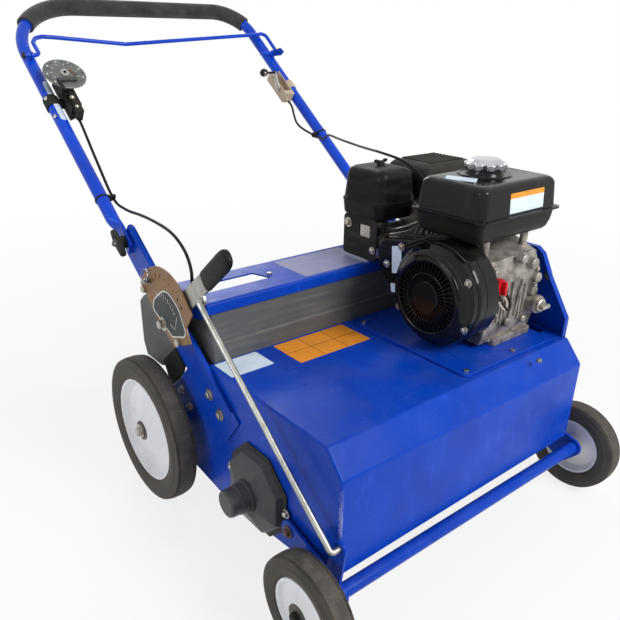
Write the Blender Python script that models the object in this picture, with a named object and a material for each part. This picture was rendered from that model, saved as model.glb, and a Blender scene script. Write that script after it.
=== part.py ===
"""Walk-behind slit seeder: deck, reel, depth linkage, hopper, engine and folding handle.

Units are metres. X runs across the machine, to the right of someone who faces its front wall,
Y runs from the front wall to the operator, and Z is up. Lengths are laid out
from the deck: x = 0 on its centre line, y = 0 on the outside of its front wall and z = 0 on
the ground. One root empty then moves the machine so that the origin lies below its middle.
"""

import math

import bmesh
import bpy
from mathutils import Matrix, Vector

# Clearances
GAP = 0.0003
RUNNING = 0.0004
LOOSE = 0.0012

# Deck: one folded sheet with two side plates
SHEET = 0.003
DECK_WIDTH = 0.642
FRONT_BOTTOM_Z = 0.123
FRONT_TOP_Z = 0.315
SLOPE_RUN = 0.038
DECK_TOP_Z = 0.359
SIDE_REAR_Y = 0.585
SIDE_REAR_TOP_Z = 0.200
SIDE_REAR_BOTTOM_Z = 0.115
SIDE_KNEE_DROP = 0.0425
SIDE_KNEE_RUN = 0.091
SIDE_BELLY_Z = 0.083
CROSS_BAR = 0.030
CROSS_BAR_Y = 0.475
CROSS_BAR_Z = 0.232
REEL_SHAFT_CLEARANCE = 0.009

# Blade reel
REEL_Y = 0.215
REEL_Z = 0.174
REEL_SHAFT_R = 0.0125
REEL_SHAFT_OUT_LEFT = 0.059
REEL_SHAFT_OUT_RIGHT = 0.022
BLADE_R = 0.143
BLADE_ROOT_R = 0.088
BLADE_HUB_R = 0.026
BLADE_THICKNESS = 0.003
BLADE_TEETH = 4
BLADE_COUNT = 13
BLADE_INSET = 0.045

# Belt drive on the right
BELT_INSET = 0.019
BELT_WIDTH = 0.0127
BELT_THICKNESS = 0.008
# the belt's flats clear a turning pulley's corners
BELT_SIDES = 24
PULLEY_WIDTH = 0.020
ENGINE_PULLEY_R = 0.040
REEL_PULLEY_R = 0.100
GROOVE_DEPTH = 0.006

# Bearing housings on the side plates
COVER_FLANGE_R = 0.090
COVER_FLANGE_T = 0.004
COVER_BASE_R = 0.081
COVER_TOP_R = 0.044
COVER_DEPTH = 0.030
COVER_NOSE_R = 0.026
COVER_NOSE_OUT = 0.072
BEARING_PLATE_R = 0.055

# Wheels
REAR_AXLE_Y = 0.5446
REAR_TYRE_R = 0.155
REAR_TYRE_WIDTH = 0.047
REAR_RIM_R = 0.115
REAR_WHEEL_OFFSET = 0.0479
FRONT_AXLE_Y = 0.006
FRONT_TYRE_R = 0.0964
FRONT_TYRE_WIDTH = 0.044
FRONT_RIM_R = 0.062
FRONT_WHEEL_OFFSET = 0.0555
AXLE_R = 0.0095
HUB_R = 0.021
CAP_NUT_R = 0.013
AXLE_END_OFFSET = 0.081

# Front carriage
CARRIAGE_PIVOT_Y = 0.115
CARRIAGE_PIVOT_Z = 0.153
CARRIAGE_TUBE_Y = -0.030
CARRIAGE_TUBE_Z = 0.145
CARRIAGE_TUBE_R = 0.0127
ARM_THICKNESS = 0.006
ARM_OFFSET = 0.0055
ARM_PIVOT_R = 0.020
ARM_TUBE_R = 0.021
ARM_AXLE_R = 0.019
LUG_R = 0.013
LUG_Y = -0.012
LUG_Z = 0.208
PIVOT_STUD_R = 0.0065
PIVOT_HEAD_T = 0.0035

# Depth lever, rod, quadrant and stop pin
LEVER_PIVOT_Y = 0.4895
LEVER_PIVOT_Z = 0.406
LEVER_ANGLE = math.radians(140.0)
LEVER_LENGTH = 0.290
LEVER_WIDTH = 0.030
LEVER_THICKNESS = 0.006
LEVER_OFFSET = 0.0155
LEVER_HUB_R = 0.021
LEVER_STUD_R = 0.007
LEVER_GRIP_START = 0.200
LEVER_GRIP_END = 0.302
LEVER_GRIP_WALL = 0.0035
ROD_JOINT_R = 0.168
ROD_JOINT_ANGLE = math.radians(147.1)
ROD_R = 0.005
QUADRANT_T = 0.003
QUADRANT_OFFSET = 0.024
QUADRANT_R = 0.1140
INDEX_HOLE_R = 0.0032
INDEX_RADIUS = 0.095
INDEX_FIRST = math.radians(80.0)
INDEX_STEP = math.radians(10.5)
INDEX_COUNT = 7
STOP_PIN_RADIUS = 0.0886
STOP_PIN_ANGLE = math.radians(58.0)
STOP_PIN_R = 0.004

# Handle frame: s runs up the handle from the fold bolt, p stands off it, forward and up
FOLD_Y = 0.6656
FOLD_Z = 0.5221
HANDLE_ANGLE = math.radians(36.9)
HANDLE_OFFSET = 0.014
HANDLE_TUBE_R = 0.014
HANDLE_TOP_S = 0.7305
HANDLE_BEND_R = 0.100
TONGUE_END_S = -0.0195
TONGUE_FLAT_S = 0.032
TONGUE_ROUND_S = 0.060
TONGUE_THICKNESS = 0.008
TONGUE_WIDTH = 0.034
GRIP_R = 0.020
TUBE_SIDES = 10
CLAMP_WALL = 0.0035
GRIP_TURN = math.radians(28.0)
FOLD_STUD_R = 0.005

# Handle brackets
BRACKET_T = 0.0035
BRACKET_P_LOW = -0.035
BRACKET_P_HIGH = 0.045
BRACKET_LOW_S = -0.4595
BRACKET_HIGH_S = 0.0205
FLANGE_TOP = 0.0095
FLANGE_LOW = 0.004
BRACKET_BOLT_S = (-0.372, -0.4165)

# Bail
BAIL_R = 0.005
BAIL_PIVOT_S = 0.5305
BAIL_PIVOT_P = 0.022
BAIL_BAR_S = 0.6075
BAIL_BAR_P = 0.010
BAIL_INSET = 0.009
BAIL_DIP = 0.010
# the cam plate stands off the leg, so it still clears it with the bail squeezed
CAM_REACH = 0.0306
CAM_RISE = math.radians(47.0)
CAM_R = 0.010

# Seed dial and throttle on the handle
DIAL_INSET = 0.022
DIAL_S = 0.4345
DIAL_P = 0.050
DIAL_R = 0.046
DIAL_T = 0.003
DIAL_HOUSING_WIDTH = 0.027
DIAL_HOUSING_S = (0.3495, 0.4625)
THROTTLE_WIDTH = 0.030
THROTTLE_S = (0.3735, 0.464)
THROTTLE_KNOB_S = 0.4435

# Hopper, gate and curtain
HOPPER_INSET = 0.011
HOPPER_WALL = 0.004
HOPPER_FRONT_Y = 0.372
HOPPER_FRONT_LOW_Z = 0.345
HOPPER_FLOOR_Z = 0.2615
HOPPER_FLOOR_FRONT_Y = 0.595
HOPPER_FLOOR_REAR_Y = 0.664
HOPPER_REAR_Y = 0.676
HOPPER_CHEEK_REAR_Z = 0.385
HOPPER_REAR_WALL_Z = 0.350
HOPPER_BAND_Z = 0.394
HOPPER_BAND_STEP = 0.003
SEED_HOLES = 12
SEED_HOLE_INSET = 0.057
SEED_HOLE_SIZE = 0.014
GATE_TRAVEL = 0.020
GATE_T = 0.003
CURTAIN_T = 0.004
CURTAIN_LOW_Z = 0.090
CURTAIN_INSET = 0.018

# Cross plate over the hopper
CROSS_PLATE_Z = 0.478
CROSS_PLATE_FRONT_Y = 0.368
CROSS_PLATE_REAR_Y = 0.500
CROSS_PLATE_LIP = 0.022
WINDOW_INSET = 0.027
WINDOW_WIDTH = 0.132
WINDOW_Y = (0.418, 0.461)
WINDOW_CHAMFER = 0.015

# Engine: what is named FROM_BELT is laid out across the machine from the belt's plane, leftward
PAD_T = 0.005
PAD_FROM_BELT = (0.289, 0.018)
PAD_Y = (0.050, 0.345)
CRANK_Y = 0.175
CRANK_HEIGHT = 0.106
CRANK_R = 0.0095
CRANK_END_INSET = 0.001
CASE_FROM_BELT = (0.184, 0.030)
CASE_Y = (0.100, 0.262)
CASE_TOP_H = 0.187
FOOT_FROM_BELT = (0.152, 0.032)
FOOT_Y = (0.096, 0.256)
FOOT_T = 0.014
CYLINDER_ANGLE = math.radians(25.0)
CYLINDER_FROM_BELT = 0.092
BARREL_R = 0.034
FIN_HALF = 0.042
FIN_COUNT = 6
FIN_PITCH = 0.012
FIN_T = 0.004
HEAD_HALF = 0.036
HEAD_LENGTH = 0.040
ROCKER_LENGTH = 0.034
OIL_FROM_BELT = 0.044
OIL_NECK = 0.022
CARB_FROM_BELT = 0.194
CARB_Y = 0.385
ROPE_ANGLE = math.radians(62.0)
ROPE_GRIP_HALF = 0.005
BLOWER_FROM_BELT = (0.242, 0.1845)
BLOWER_R = 0.100
BLOWER_LOW_H = 0.0075
DUCT_Y = 0.318
DUCT_TOP_H = 0.182
DUCT_LOW_H = 0.125
DUCT_CORNER = 0.016
RECOIL_FROM_BELT = 0.275
RECOIL_R = 0.097
RECOIL_FACE_R = 0.086
RECOIL_VENT_IN = 0.034
RECOIL_VENT_OUT = 0.066
RECOIL_VENTS = 20
TANK_FROM_BELT = (0.237, -0.008)
TANK_Y = (0.094, 0.270)
TANK_LOW_H = 0.2075
TANK_SEAM_H = 0.2535
TANK_TOP_H = 0.3125
TANK_CORNER = 0.030
FUEL_CAP_FROM_BELT = 0.112
FUEL_CAP_Y = 0.196
FUEL_CAP_R = 0.040
FUEL_CAP_H = 0.018
CLEANER_FROM_BELT = (0.234, 0.137)
CLEANER_Y = (0.335, 0.459)
CLEANER_LOW_H = 0.2045
CLEANER_SEAM_H = 0.2385
CLEANER_TOP_H = 0.3065
CLEANER_CORNER = 0.016
MUFFLER_FROM_BELT = (0.121, -0.043)
MUFFLER_Y = (0.325, 0.455)
MUFFLER_LOW_H = 0.2435
MUFFLER_TOP_H = 0.3095
GUARD_FRONT_Y = 0.046
GUARD_TOP_H = 0.169
GUARD_REAR_Y = 0.330
GUARD_LAP = 0.030
GUARD_RIM = 0.010

# Cables
SEED_CABLE_R = 0.003
THROTTLE_CABLE_R = 0.0028
CORD_STEP = 0.018
CABLE_STOP_Y = 0.438
CABLE_STOP_H = 0.012
CONTROL_FROM_BELT = 0.1295
CONTROL_Y = 0.303
CONTROL_H = 0.235

# Sizes worked out from the ones above
HALF = DECK_WIDTH / 2.0
INSIDE = HALF - SHEET
OUTSIDE = HALF + GAP
DECK_TOP_REAR_Y = HOPPER_FRONT_Y - HOPPER_BAND_STEP - GAP
ENGINE_Z = DECK_TOP_Z + PAD_T + 2.0 * GAP
CRANK_Z = ENGINE_Z + CRANK_HEIGHT
REAR_AXLE_Z = REAR_TYRE_R
FRONT_AXLE_Z = FRONT_TYRE_R
REAR_WHEEL_X = HALF + REAR_WHEEL_OFFSET
FRONT_WHEEL_X = HALF + FRONT_WHEEL_OFFSET
AXLE_END = HALF + AXLE_END_OFFSET
BELT_X = HALF - BELT_INSET
PAD_X = (BELT_X - PAD_FROM_BELT[0], BELT_X - PAD_FROM_BELT[1])
CASE_X = (BELT_X - CASE_FROM_BELT[0], BELT_X - CASE_FROM_BELT[1])
FOOT_X = (BELT_X - FOOT_FROM_BELT[0], BELT_X - FOOT_FROM_BELT[1])
BLOWER_X = (BELT_X - BLOWER_FROM_BELT[0], BELT_X - BLOWER_FROM_BELT[1])
TANK_X = (BELT_X - TANK_FROM_BELT[0], BELT_X - TANK_FROM_BELT[1])
CLEANER_X = (BELT_X - CLEANER_FROM_BELT[0], BELT_X - CLEANER_FROM_BELT[1])
MUFFLER_X = (BELT_X - MUFFLER_FROM_BELT[0], BELT_X - MUFFLER_FROM_BELT[1])
CRANK_END_X = HALF - CRANK_END_INSET
CYLINDER_X = BELT_X - CYLINDER_FROM_BELT
OIL_X = BELT_X - OIL_FROM_BELT
CARB_X = BELT_X - CARB_FROM_BELT
RECOIL_X = BELT_X - RECOIL_FROM_BELT
FUEL_CAP_X = BELT_X - FUEL_CAP_FROM_BELT
CONTROL_X = BELT_X - CONTROL_FROM_BELT
BLADE_PITCH = 2.0 * (HALF - BLADE_INSET) / (BLADE_COUNT - 1)
ARM_IN = HALF + ARM_OFFSET
ARM_OUT = ARM_IN + ARM_THICKNESS
BRACKET_OUT = OUTSIDE + BRACKET_T
LEVER_IN = HALF + LEVER_OFFSET
LEVER_OUT = LEVER_IN + LEVER_THICKNESS
QUADRANT_IN = HALF + QUADRANT_OFFSET
QUADRANT_OUT = QUADRANT_IN + QUADRANT_T
ROD_X = LEVER_OUT + ROD_R + 0.001
HANDLE_HALF = HALF + HANDLE_OFFSET
TONGUE_X = BRACKET_OUT + GAP + TONGUE_THICKNESS / 2.0
BAIL_HALF = HALF - BAIL_INSET
DIAL_X = DIAL_INSET - HALF
HOPPER_HALF = HALF - HOPPER_INSET
SEED_HOLE_PITCH = 2.0 * (HOPPER_HALF - SEED_HOLE_INSET) / (SEED_HOLES - 1)
WINDOW_X = (WINDOW_INSET - HALF, WINDOW_INSET + WINDOW_WIDTH - HALF)
CABLE_STOP = (-HOPPER_HALF, CABLE_STOP_Y)
HOPPER_TOP_Z = CROSS_PLATE_Z - SHEET - GAP
CURTAIN_HALF = HALF - CURTAIN_INSET
CURTAIN_Y = CROSS_BAR_Y + CROSS_BAR + GAP
HANDLE_FAR_Y = FOLD_Y + HANDLE_TOP_S * math.cos(HANDLE_ANGLE) + GRIP_R
MIDDLE_Y = (HANDLE_FAR_Y + FRONT_AXLE_Y - FRONT_TYRE_R) / 2.0

# Finishes: linear colour, roughness, metallic
BLUE_PAINT = ("blue_paint", (0.008, 0.060, 0.480), 0.32, 0.0)
BLUE_TUBE = ("blue_tube", (0.002, 0.048, 0.650), 0.28, 0.0)
ZINC = ("zinc", (0.62, 0.62, 0.60), 0.34, 1.0)
GOLD_ZINC = ("gold_zinc", (0.20, 0.13, 0.07), 0.45, 0.6)
STEEL = ("bare_steel", (0.35, 0.35, 0.36), 0.40, 1.0)
CAST = ("cast_aluminium", (0.45, 0.44, 0.42), 0.50, 1.0)
BLACK_GLOSS = ("black_gloss", (0.010, 0.010, 0.012), 0.18, 0.0)
BLACK_PLASTIC = ("black_plastic", (0.018, 0.018, 0.020), 0.45, 0.0)
GREY_PLASTIC = ("grey_plastic", (0.055, 0.060, 0.065), 0.60, 0.0)
RUBBER = ("tyre_rubber", (0.030, 0.028, 0.027), 0.85, 0.0)
WHITE_RIM = ("white_rim", (0.80, 0.80, 0.80), 0.35, 0.0)
FOAM = ("foam_grip", (0.022, 0.020, 0.020), 0.90, 0.0)
CHROME = ("chrome", (0.75, 0.75, 0.76), 0.12, 1.0)
RED_PLASTIC = ("red_plastic", (0.60, 0.010, 0.015), 0.40, 0.0)


def clear_scene():
    """Remove every object of the open scene."""
    for item in list(bpy.data.objects):
        bpy.data.objects.remove(item, do_unlink=True)


def finish_material(finish):
    """Return the material of a finish, made once."""
    name, colour, roughness, metallic = finish
    found = bpy.data.materials.get(name)
    if found:
        return found
    made = bpy.data.materials.new(name)
    made.use_nodes = True
    shader = made.node_tree.nodes["Principled BSDF"]
    shader.inputs["Base Color"].default_value = (*colour, 1.0)
    shader.inputs["Roughness"].default_value = roughness
    shader.inputs["Metallic"].default_value = metallic
    made.diffuse_color = (*colour, 1.0)
    return made


def empty(name, location, parent=None, turn=0.0):
    """Add a guide that pieces are parented to, turned about X."""
    guide = bpy.data.objects.new(name, None)
    guide.location = location
    guide.rotation_euler = (turn, 0.0, 0.0)
    guide.parent = parent
    bpy.context.scene.collection.objects.link(guide)
    return guide


def add_piece(name, shape, finish, parent, pivot=(0.0, 0.0, 0.0), sharp=35.0):
    """Turn a bmesh into a named object whose origin is its pivot."""
    bmesh.ops.remove_doubles(shape, verts=shape.verts, dist=1e-6)
    bmesh.ops.dissolve_degenerate(shape, dist=1e-6, edges=shape.edges)
    bmesh.ops.recalc_face_normals(shape, faces=shape.faces)
    bmesh.ops.translate(shape, verts=shape.verts, vec=-Vector(pivot))
    mesh = bpy.data.meshes.new(name)
    shape.to_mesh(mesh)
    shape.free()
    mesh.shade_smooth()
    mesh.set_sharp_from_angle(angle=math.radians(sharp))
    mesh.materials.append(finish_material(finish))
    piece = bpy.data.objects.new(name, mesh)
    piece.location = pivot
    piece.parent = parent
    bpy.context.scene.collection.objects.link(piece)
    return piece


def place(axis, along, first, second):
    """Return a point from its distance along an axis and its two other coordinates in X, Y, Z order."""
    if axis == "X":
        return Vector((along, first, second))
    if axis == "Y":
        return Vector((first, along, second))
    return Vector((first, second, along))


def prism(outline, low, high, axis="X"):
    """Extrude a closed outline along an axis."""
    shape = bmesh.new()
    corners = [shape.verts.new(place(axis, low, a, b)) for a, b in outline]
    base = shape.faces.new(corners)
    swept = bmesh.ops.extrude_face_region(shape, geom=[base], use_keep_orig=True)
    moved = [item for item in swept["geom"] if isinstance(item, bmesh.types.BMVert)]
    bmesh.ops.translate(shape, verts=moved, vec=place(axis, high - low, 0.0, 0.0))
    bmesh.ops.recalc_face_normals(shape, faces=shape.faces)
    return shape


def box(x_span, y_span, z_span):
    """Return a box between two planes on each axis."""
    outline = ((y_span[0], z_span[0]), (y_span[1], z_span[0]), (y_span[1], z_span[1]), (y_span[0], z_span[1]))
    return prism(outline, x_span[0], x_span[1])


def ring_points(first, second, radius, count, start=0.0):
    """Return the corners of a regular polygon."""
    step = math.tau / count
    return [
        (first + radius * math.cos(start + step * i), second + radius * math.sin(start + step * i))
        for i in range(count)
    ]


def cylinder(first, second, radius, low, high, axis="X", sides=10):
    """Return a round bar along an axis."""
    return prism(ring_points(first, second, radius, sides), low, high, axis)


def arc(first, second, radius, start, end, steps):
    """Return points along an arc."""
    return [
        (
            first + radius * math.cos(start + (end - start) * i / steps),
            second + radius * math.sin(start + (end - start) * i / steps),
        )
        for i in range(steps + 1)
    ]


def lathe(profile, axis, first, second, sides):
    """Spin a profile of (radius, distance along the axis) about an axis; a profile off the axis is a closed ring."""
    shape = bmesh.new()
    directions = {"X": Vector((1, 0, 0)), "Y": Vector((0, 1, 0)), "Z": Vector((0, 0, 1))}
    points = [shape.verts.new(place(axis, along, first + radius, second)) for radius, along in profile]
    edges = [shape.edges.new(pair) for pair in zip(points, points[1:])]
    if profile[0][0] > 0.0:
        edges.append(shape.edges.new((points[-1], points[0])))
    bmesh.ops.spin(
        shape,
        geom=points + edges,
        cent=place(axis, 0.0, first, second),
        axis=directions[axis],
        angle=math.tau,
        steps=sides,
        use_merge=True,
    )
    bmesh.ops.remove_doubles(shape, verts=shape.verts, dist=1e-6)
    bmesh.ops.recalc_face_normals(shape, faces=shape.faces)
    return shape


def loft(rings):
    """Join closed rings of as many points each into one solid with flat ends."""
    shape = bmesh.new()
    layers = [[shape.verts.new(point) for point in ring] for ring in rings]
    count = len(rings[0])
    for lower, upper in zip(layers, layers[1:]):
        for i in range(count):
            after = (i + 1) % count
            shape.faces.new((lower[i], lower[after], upper[after], upper[i]))
    shape.faces.new(layers[0])
    shape.faces.new(layers[-1])
    bmesh.ops.recalc_face_normals(shape, faces=shape.faces)
    return shape


def directions_along(points):
    """Return the unit direction of a path at each of its points."""
    found = []
    for i, point in enumerate(points):
        before = points[max(i - 1, 0)]
        after = points[min(i + 1, len(points) - 1)]
        found.append((after - before).normalized())
    return found


def path_rings(points, radii, sides, side_axis=Vector((1.0, 0.0, 0.0))):
    """Return one oval ring per path point; each radius is (across the side axis, along it)."""
    rings = []
    normal = None
    for point, direction, (wide, deep) in zip(points, directions_along(points), radii):
        if normal is None:
            normal = (side_axis - direction * side_axis.dot(direction)).normalized()
        else:
            normal = (normal - direction * normal.dot(direction)).normalized()
        other = direction.cross(normal)
        ring = []
        for i in range(sides):
            turn = math.tau * i / sides
            ring.append(point + normal * (deep * math.cos(turn)) + other * (wide * math.sin(turn)))
        rings.append(ring)
    return rings


def rod(points, radius, sides=10):
    """Return a round bar that follows a path."""
    path = [Vector(point) for point in points]
    side_axis = Vector((0.0, 0.0, 1.0)) if abs((path[1] - path[0]).normalized().x) > 0.9 else Vector((1.0, 0.0, 0.0))
    return loft(path_rings(path, [(radius, radius)] * len(path), sides, side_axis))


def temporary(shape):
    """Put a bmesh into the scene as a helper object and free it."""
    mesh = bpy.data.meshes.new("helper")
    shape.to_mesh(mesh)
    shape.free()
    helper = bpy.data.objects.new("helper", mesh)
    bpy.context.scene.collection.objects.link(helper)
    return helper


def boolean(base, tool, operation):
    """Return base with tool joined to it or cut from it."""
    target = temporary(base)
    other = temporary(tool)
    modifier = target.modifiers.new("boolean", "BOOLEAN")
    modifier.operation = operation
    modifier.solver = "EXACT"
    modifier.object = other
    graph = bpy.context.evaluated_depsgraph_get()
    worked = bpy.data.meshes.new_from_object(target.evaluated_get(graph))
    result = bmesh.new()
    result.from_mesh(worked)
    for helper in (target, other):
        mesh = helper.data
        bpy.data.objects.remove(helper, do_unlink=True)
        bpy.data.meshes.remove(mesh)
    bpy.data.meshes.remove(worked)
    bmesh.ops.remove_doubles(result, verts=result.verts, dist=1e-6)
    bmesh.ops.dissolve_degenerate(result, dist=1e-6, edges=result.edges)
    return result


def join(base, *others):
    """Weld solids onto the first one."""
    for other in others:
        base = boolean(base, other, "UNION")
    return base


def cut(base, *tools):
    """Cut solids out of the first one."""
    for tool in tools:
        base = boolean(base, tool, "DIFFERENCE")
    return base


def mirrored(shape):
    """Turn a solid into its mirror image across the centre plane."""
    bmesh.ops.scale(shape, verts=shape.verts, vec=Vector((-1.0, 1.0, 1.0)))
    bmesh.ops.reverse_faces(shape, faces=shape.faces)
    return shape


def hull_outline(circles, steps=12):
    """Return the outline of the belt drawn tightly round circles given as (first, second, radius)."""
    samples = []
    for first, second, radius in circles:
        samples.extend(ring_points(first, second, radius, steps))
    samples = sorted(set(samples))

    def half(points):
        """Return one side of the convex outline."""
        kept = []
        for point in points:
            while len(kept) > 1 and turn_of(kept[-2], kept[-1], point) <= 1e-12:
                kept.pop()
            kept.append(point)
        return kept[:-1]

    return half(samples) + half(samples[::-1])


def turn_of(start, middle, end):
    """Return twice the signed area of three points."""
    first = (middle[0] - start[0]) * (end[1] - start[1])
    second = (middle[1] - start[1]) * (end[0] - start[0])
    return first - second


def rounded_rectangle(x_span, y_span, corner, steps=3):
    """Return the outline of a rectangle with round corners."""
    left, right = x_span
    low, high = y_span
    points = []
    centres = (
        (right - corner, high - corner, 0.0),
        (left + corner, high - corner, math.pi / 2),
        (left + corner, low + corner, math.pi),
        (right - corner, low + corner, 3 * math.pi / 2),
    )
    for first, second, start in centres:
        points.extend(arc(first, second, corner, start, start + math.pi / 2, steps))
    return points


def inset_span(span, amount):
    """Return a span drawn in at both ends."""
    return (span[0] + amount, span[1] - amount)


def box_loft(x_span, y_span, corner, layers):
    """Loft a round-cornered box through (height, inset) layers."""
    rings = []
    for height, inset in layers:
        radius = max(corner - inset, 0.004)
        outline = rounded_rectangle(inset_span(x_span, inset), inset_span(y_span, inset), radius)
        rings.append([Vector((x, y, height)) for x, y in outline])
    return loft(rings)


def turned(points, angle, first=0.0, second=0.0):
    """Turn flat points about the zero point and move them."""
    c, s = math.cos(angle), math.sin(angle)
    return [(first + a * c - b * s, second + a * s + b * c) for a, b in points]


def fillet(points, radius, steps=3):
    """Round the inner corners of a path with short arcs."""
    path = [Vector(point) for point in points]
    smooth = [path[0]]
    for before, corner, after in zip(path, path[1:], path[2:]):
        inward = (before - corner).normalized()
        outward = (after - corner).normalized()
        half_angle = inward.angle(outward) / 2.0
        reach = radius / math.tan(half_angle)
        centre = corner + (inward + outward).normalized() * (radius / math.sin(half_angle))
        start = corner + inward * reach - centre
        end = corner + outward * reach - centre
        for i in range(steps + 1):
            smooth.append(centre + start.lerp(end, i / steps).normalized() * radius)
    smooth.append(path[-1])
    return smooth


def handle_point(x, s, p):
    """Return the place of a point given in the handle frame."""
    c, n = math.cos(HANDLE_ANGLE), math.sin(HANDLE_ANGLE)
    return Vector((x, FOLD_Y + s * c - p * n, FOLD_Z + s * n + p * c))


def side_outline():
    """Return the outline of the deck's side plates as (y, z)."""
    return [
        (0.0, FRONT_BOTTOM_Z),
        (0.0, FRONT_TOP_Z),
        (SLOPE_RUN, DECK_TOP_Z),
        (DECK_TOP_REAR_Y, DECK_TOP_Z),
        (DECK_TOP_REAR_Y + SIDE_KNEE_RUN, DECK_TOP_Z - SIDE_KNEE_DROP),
        (SIDE_REAR_Y - 0.085, SIDE_REAR_TOP_Z + 0.072),
        (SIDE_REAR_Y, SIDE_REAR_TOP_Z),
        (SIDE_REAR_Y, SIDE_REAR_BOTTOM_Z),
        (SIDE_REAR_Y - 0.144, SIDE_BELLY_Z + 0.009),
        (SIDE_REAR_Y - 0.228, SIDE_BELLY_Z),
        (CARRIAGE_PIVOT_Y + 0.057, SIDE_BELLY_Z + 0.013),
        (CARRIAGE_PIVOT_Y - 0.015, SIDE_BELLY_Z + 0.022),
    ]


def belt_slot():
    """Return the cutter for the belt's slot in the deck top."""
    reach = max(ENGINE_PULLEY_R, REEL_PULLEY_R) + BELT_THICKNESS
    rear = max(CRANK_Y, REEL_Y) + reach
    front = min(CRANK_Y, REEL_Y) - ENGINE_PULLEY_R - 6.0 * BELT_THICKNESS
    width = PULLEY_WIDTH / 2.0 + SHEET
    return box((BELT_X - width, BELT_X + width), (front, rear), (DECK_TOP_Z - 0.02, DECK_TOP_Z + 0.02))


def make_deck_shell(root):
    """Folded deck sheet, side plates, rear cross bar and the studs that the carriage turns on."""
    inner = [
        (SHEET, -0.1),
        (SHEET, FRONT_TOP_Z - SHEET / 3.0),
        (SLOPE_RUN + SHEET / 3.0, DECK_TOP_Z - SHEET),
        (DECK_TOP_REAR_Y, DECK_TOP_Z - SHEET),
        (DECK_TOP_REAR_Y, 1.0),
        (1.0, 1.0),
        (1.0, -0.1),
    ]
    shape = cut(prism(side_outline(), -HALF, HALF), prism(inner, -INSIDE, INSIDE))
    bar_y = (CROSS_BAR_Y, CROSS_BAR_Y + CROSS_BAR)
    bar_z = (CROSS_BAR_Z, CROSS_BAR_Z + CROSS_BAR)
    bar = box((-INSIDE - SHEET / 2.0, INSIDE + SHEET / 2.0), bar_y, bar_z)
    shape = join(shape, bar)
    shape = cut(shape, cylinder(REEL_Y, REEL_Z, REEL_SHAFT_R + REEL_SHAFT_CLEARANCE, -1.0, 1.0, sides=12))
    shape = cut(shape, cylinder(REAR_AXLE_Y, REAR_AXLE_Z, AXLE_R + GAP, -1.0, 1.0))
    shape = cut(shape, belt_slot())
    for side in (-1.0, 1.0):
        for radius, start, end, sides in (
            (ARM_PIVOT_R * 0.6, HALF - SHEET / 2.0, ARM_IN - GAP, 12),
            (PIVOT_STUD_R, HALF, ARM_OUT + GAP + PIVOT_HEAD_T + SHEET / 6.0, 12),
            (PIVOT_STUD_R * 1.7, ARM_OUT + GAP, ARM_OUT + GAP + PIVOT_HEAD_T, 6),
        ):
            low, high = sorted((side * start, side * end))
            shape = join(shape, cylinder(CARRIAGE_PIVOT_Y, CARRIAGE_PIVOT_Z, radius, low, high, sides=sides))
    return add_piece("deck_shell", shape, BLUE_PAINT, root)


def make_engine_pad(root):
    """Raised plate under the engine."""
    outline = rounded_rectangle(PAD_X, PAD_Y, 0.008)
    shape = prism(outline, DECK_TOP_Z + GAP, DECK_TOP_Z + GAP + PAD_T, "Z")
    return add_piece("engine_pad", shape, BLUE_PAINT, root)


def guard_outline(low_z):
    """Return the belt guard's outline as (y, z) down to a height."""
    top = DECK_TOP_Z + GUARD_TOP_H
    return [
        (GUARD_FRONT_Y, low_z),
        (GUARD_FRONT_Y, DECK_TOP_Z + 0.040),
        (GUARD_FRONT_Y + 0.047, top - 0.060),
        (GUARD_FRONT_Y + 0.074, top - 0.011),
        (GUARD_FRONT_Y + 0.090, top),
        (GUARD_REAR_Y - 0.090, top),
        (GUARD_REAR_Y - 0.030, top - 0.058),
        (GUARD_REAR_Y, DECK_TOP_Z + 0.045),
        (GUARD_REAR_Y, low_z),
    ]


def inset_outline(points, amount):
    """Move each edge of a convex outline inward."""
    area = sum(turn_of((0.0, 0.0), a, b) for a, b in zip(points, points[1:] + points[:1]))
    sign = 1.0 if area > 0.0 else -1.0
    moved = []
    for before, here, after in zip(points[-1:] + points[:-1], points, points[1:] + points[:1]):
        first = Vector((here[0] - before[0], here[1] - before[1])).normalized()
        second = Vector((after[0] - here[0], after[1] - here[1])).normalized()
        normal = (Vector((-first.y, first.x)) + Vector((-second.y, second.x))).normalized()
        share = max(normal.dot(Vector((-first.y, first.x))), 0.3)
        step = normal * (sign * amount / share)
        moved.append((here[0] + step.x, here[1] + step.y))
    return moved


def make_belt_guard(root):
    """Flanged plate that covers the belt above the deck and laps over the side plate."""
    seat = DECK_TOP_Z + GAP
    plate = prism(guard_outline(DECK_TOP_Z - GUARD_LAP), OUTSIDE, OUTSIDE + SHEET)
    rim = prism(guard_outline(seat), HALF - GUARD_RIM, OUTSIDE + SHEET / 2.0)
    hollow = prism(inset_outline(guard_outline(seat), SHEET), HALF - 2.0 * GUARD_RIM, OUTSIDE)
    return add_piece("belt_guard", join(plate, cut(rim, hollow)), BLUE_PAINT, root)


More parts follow.
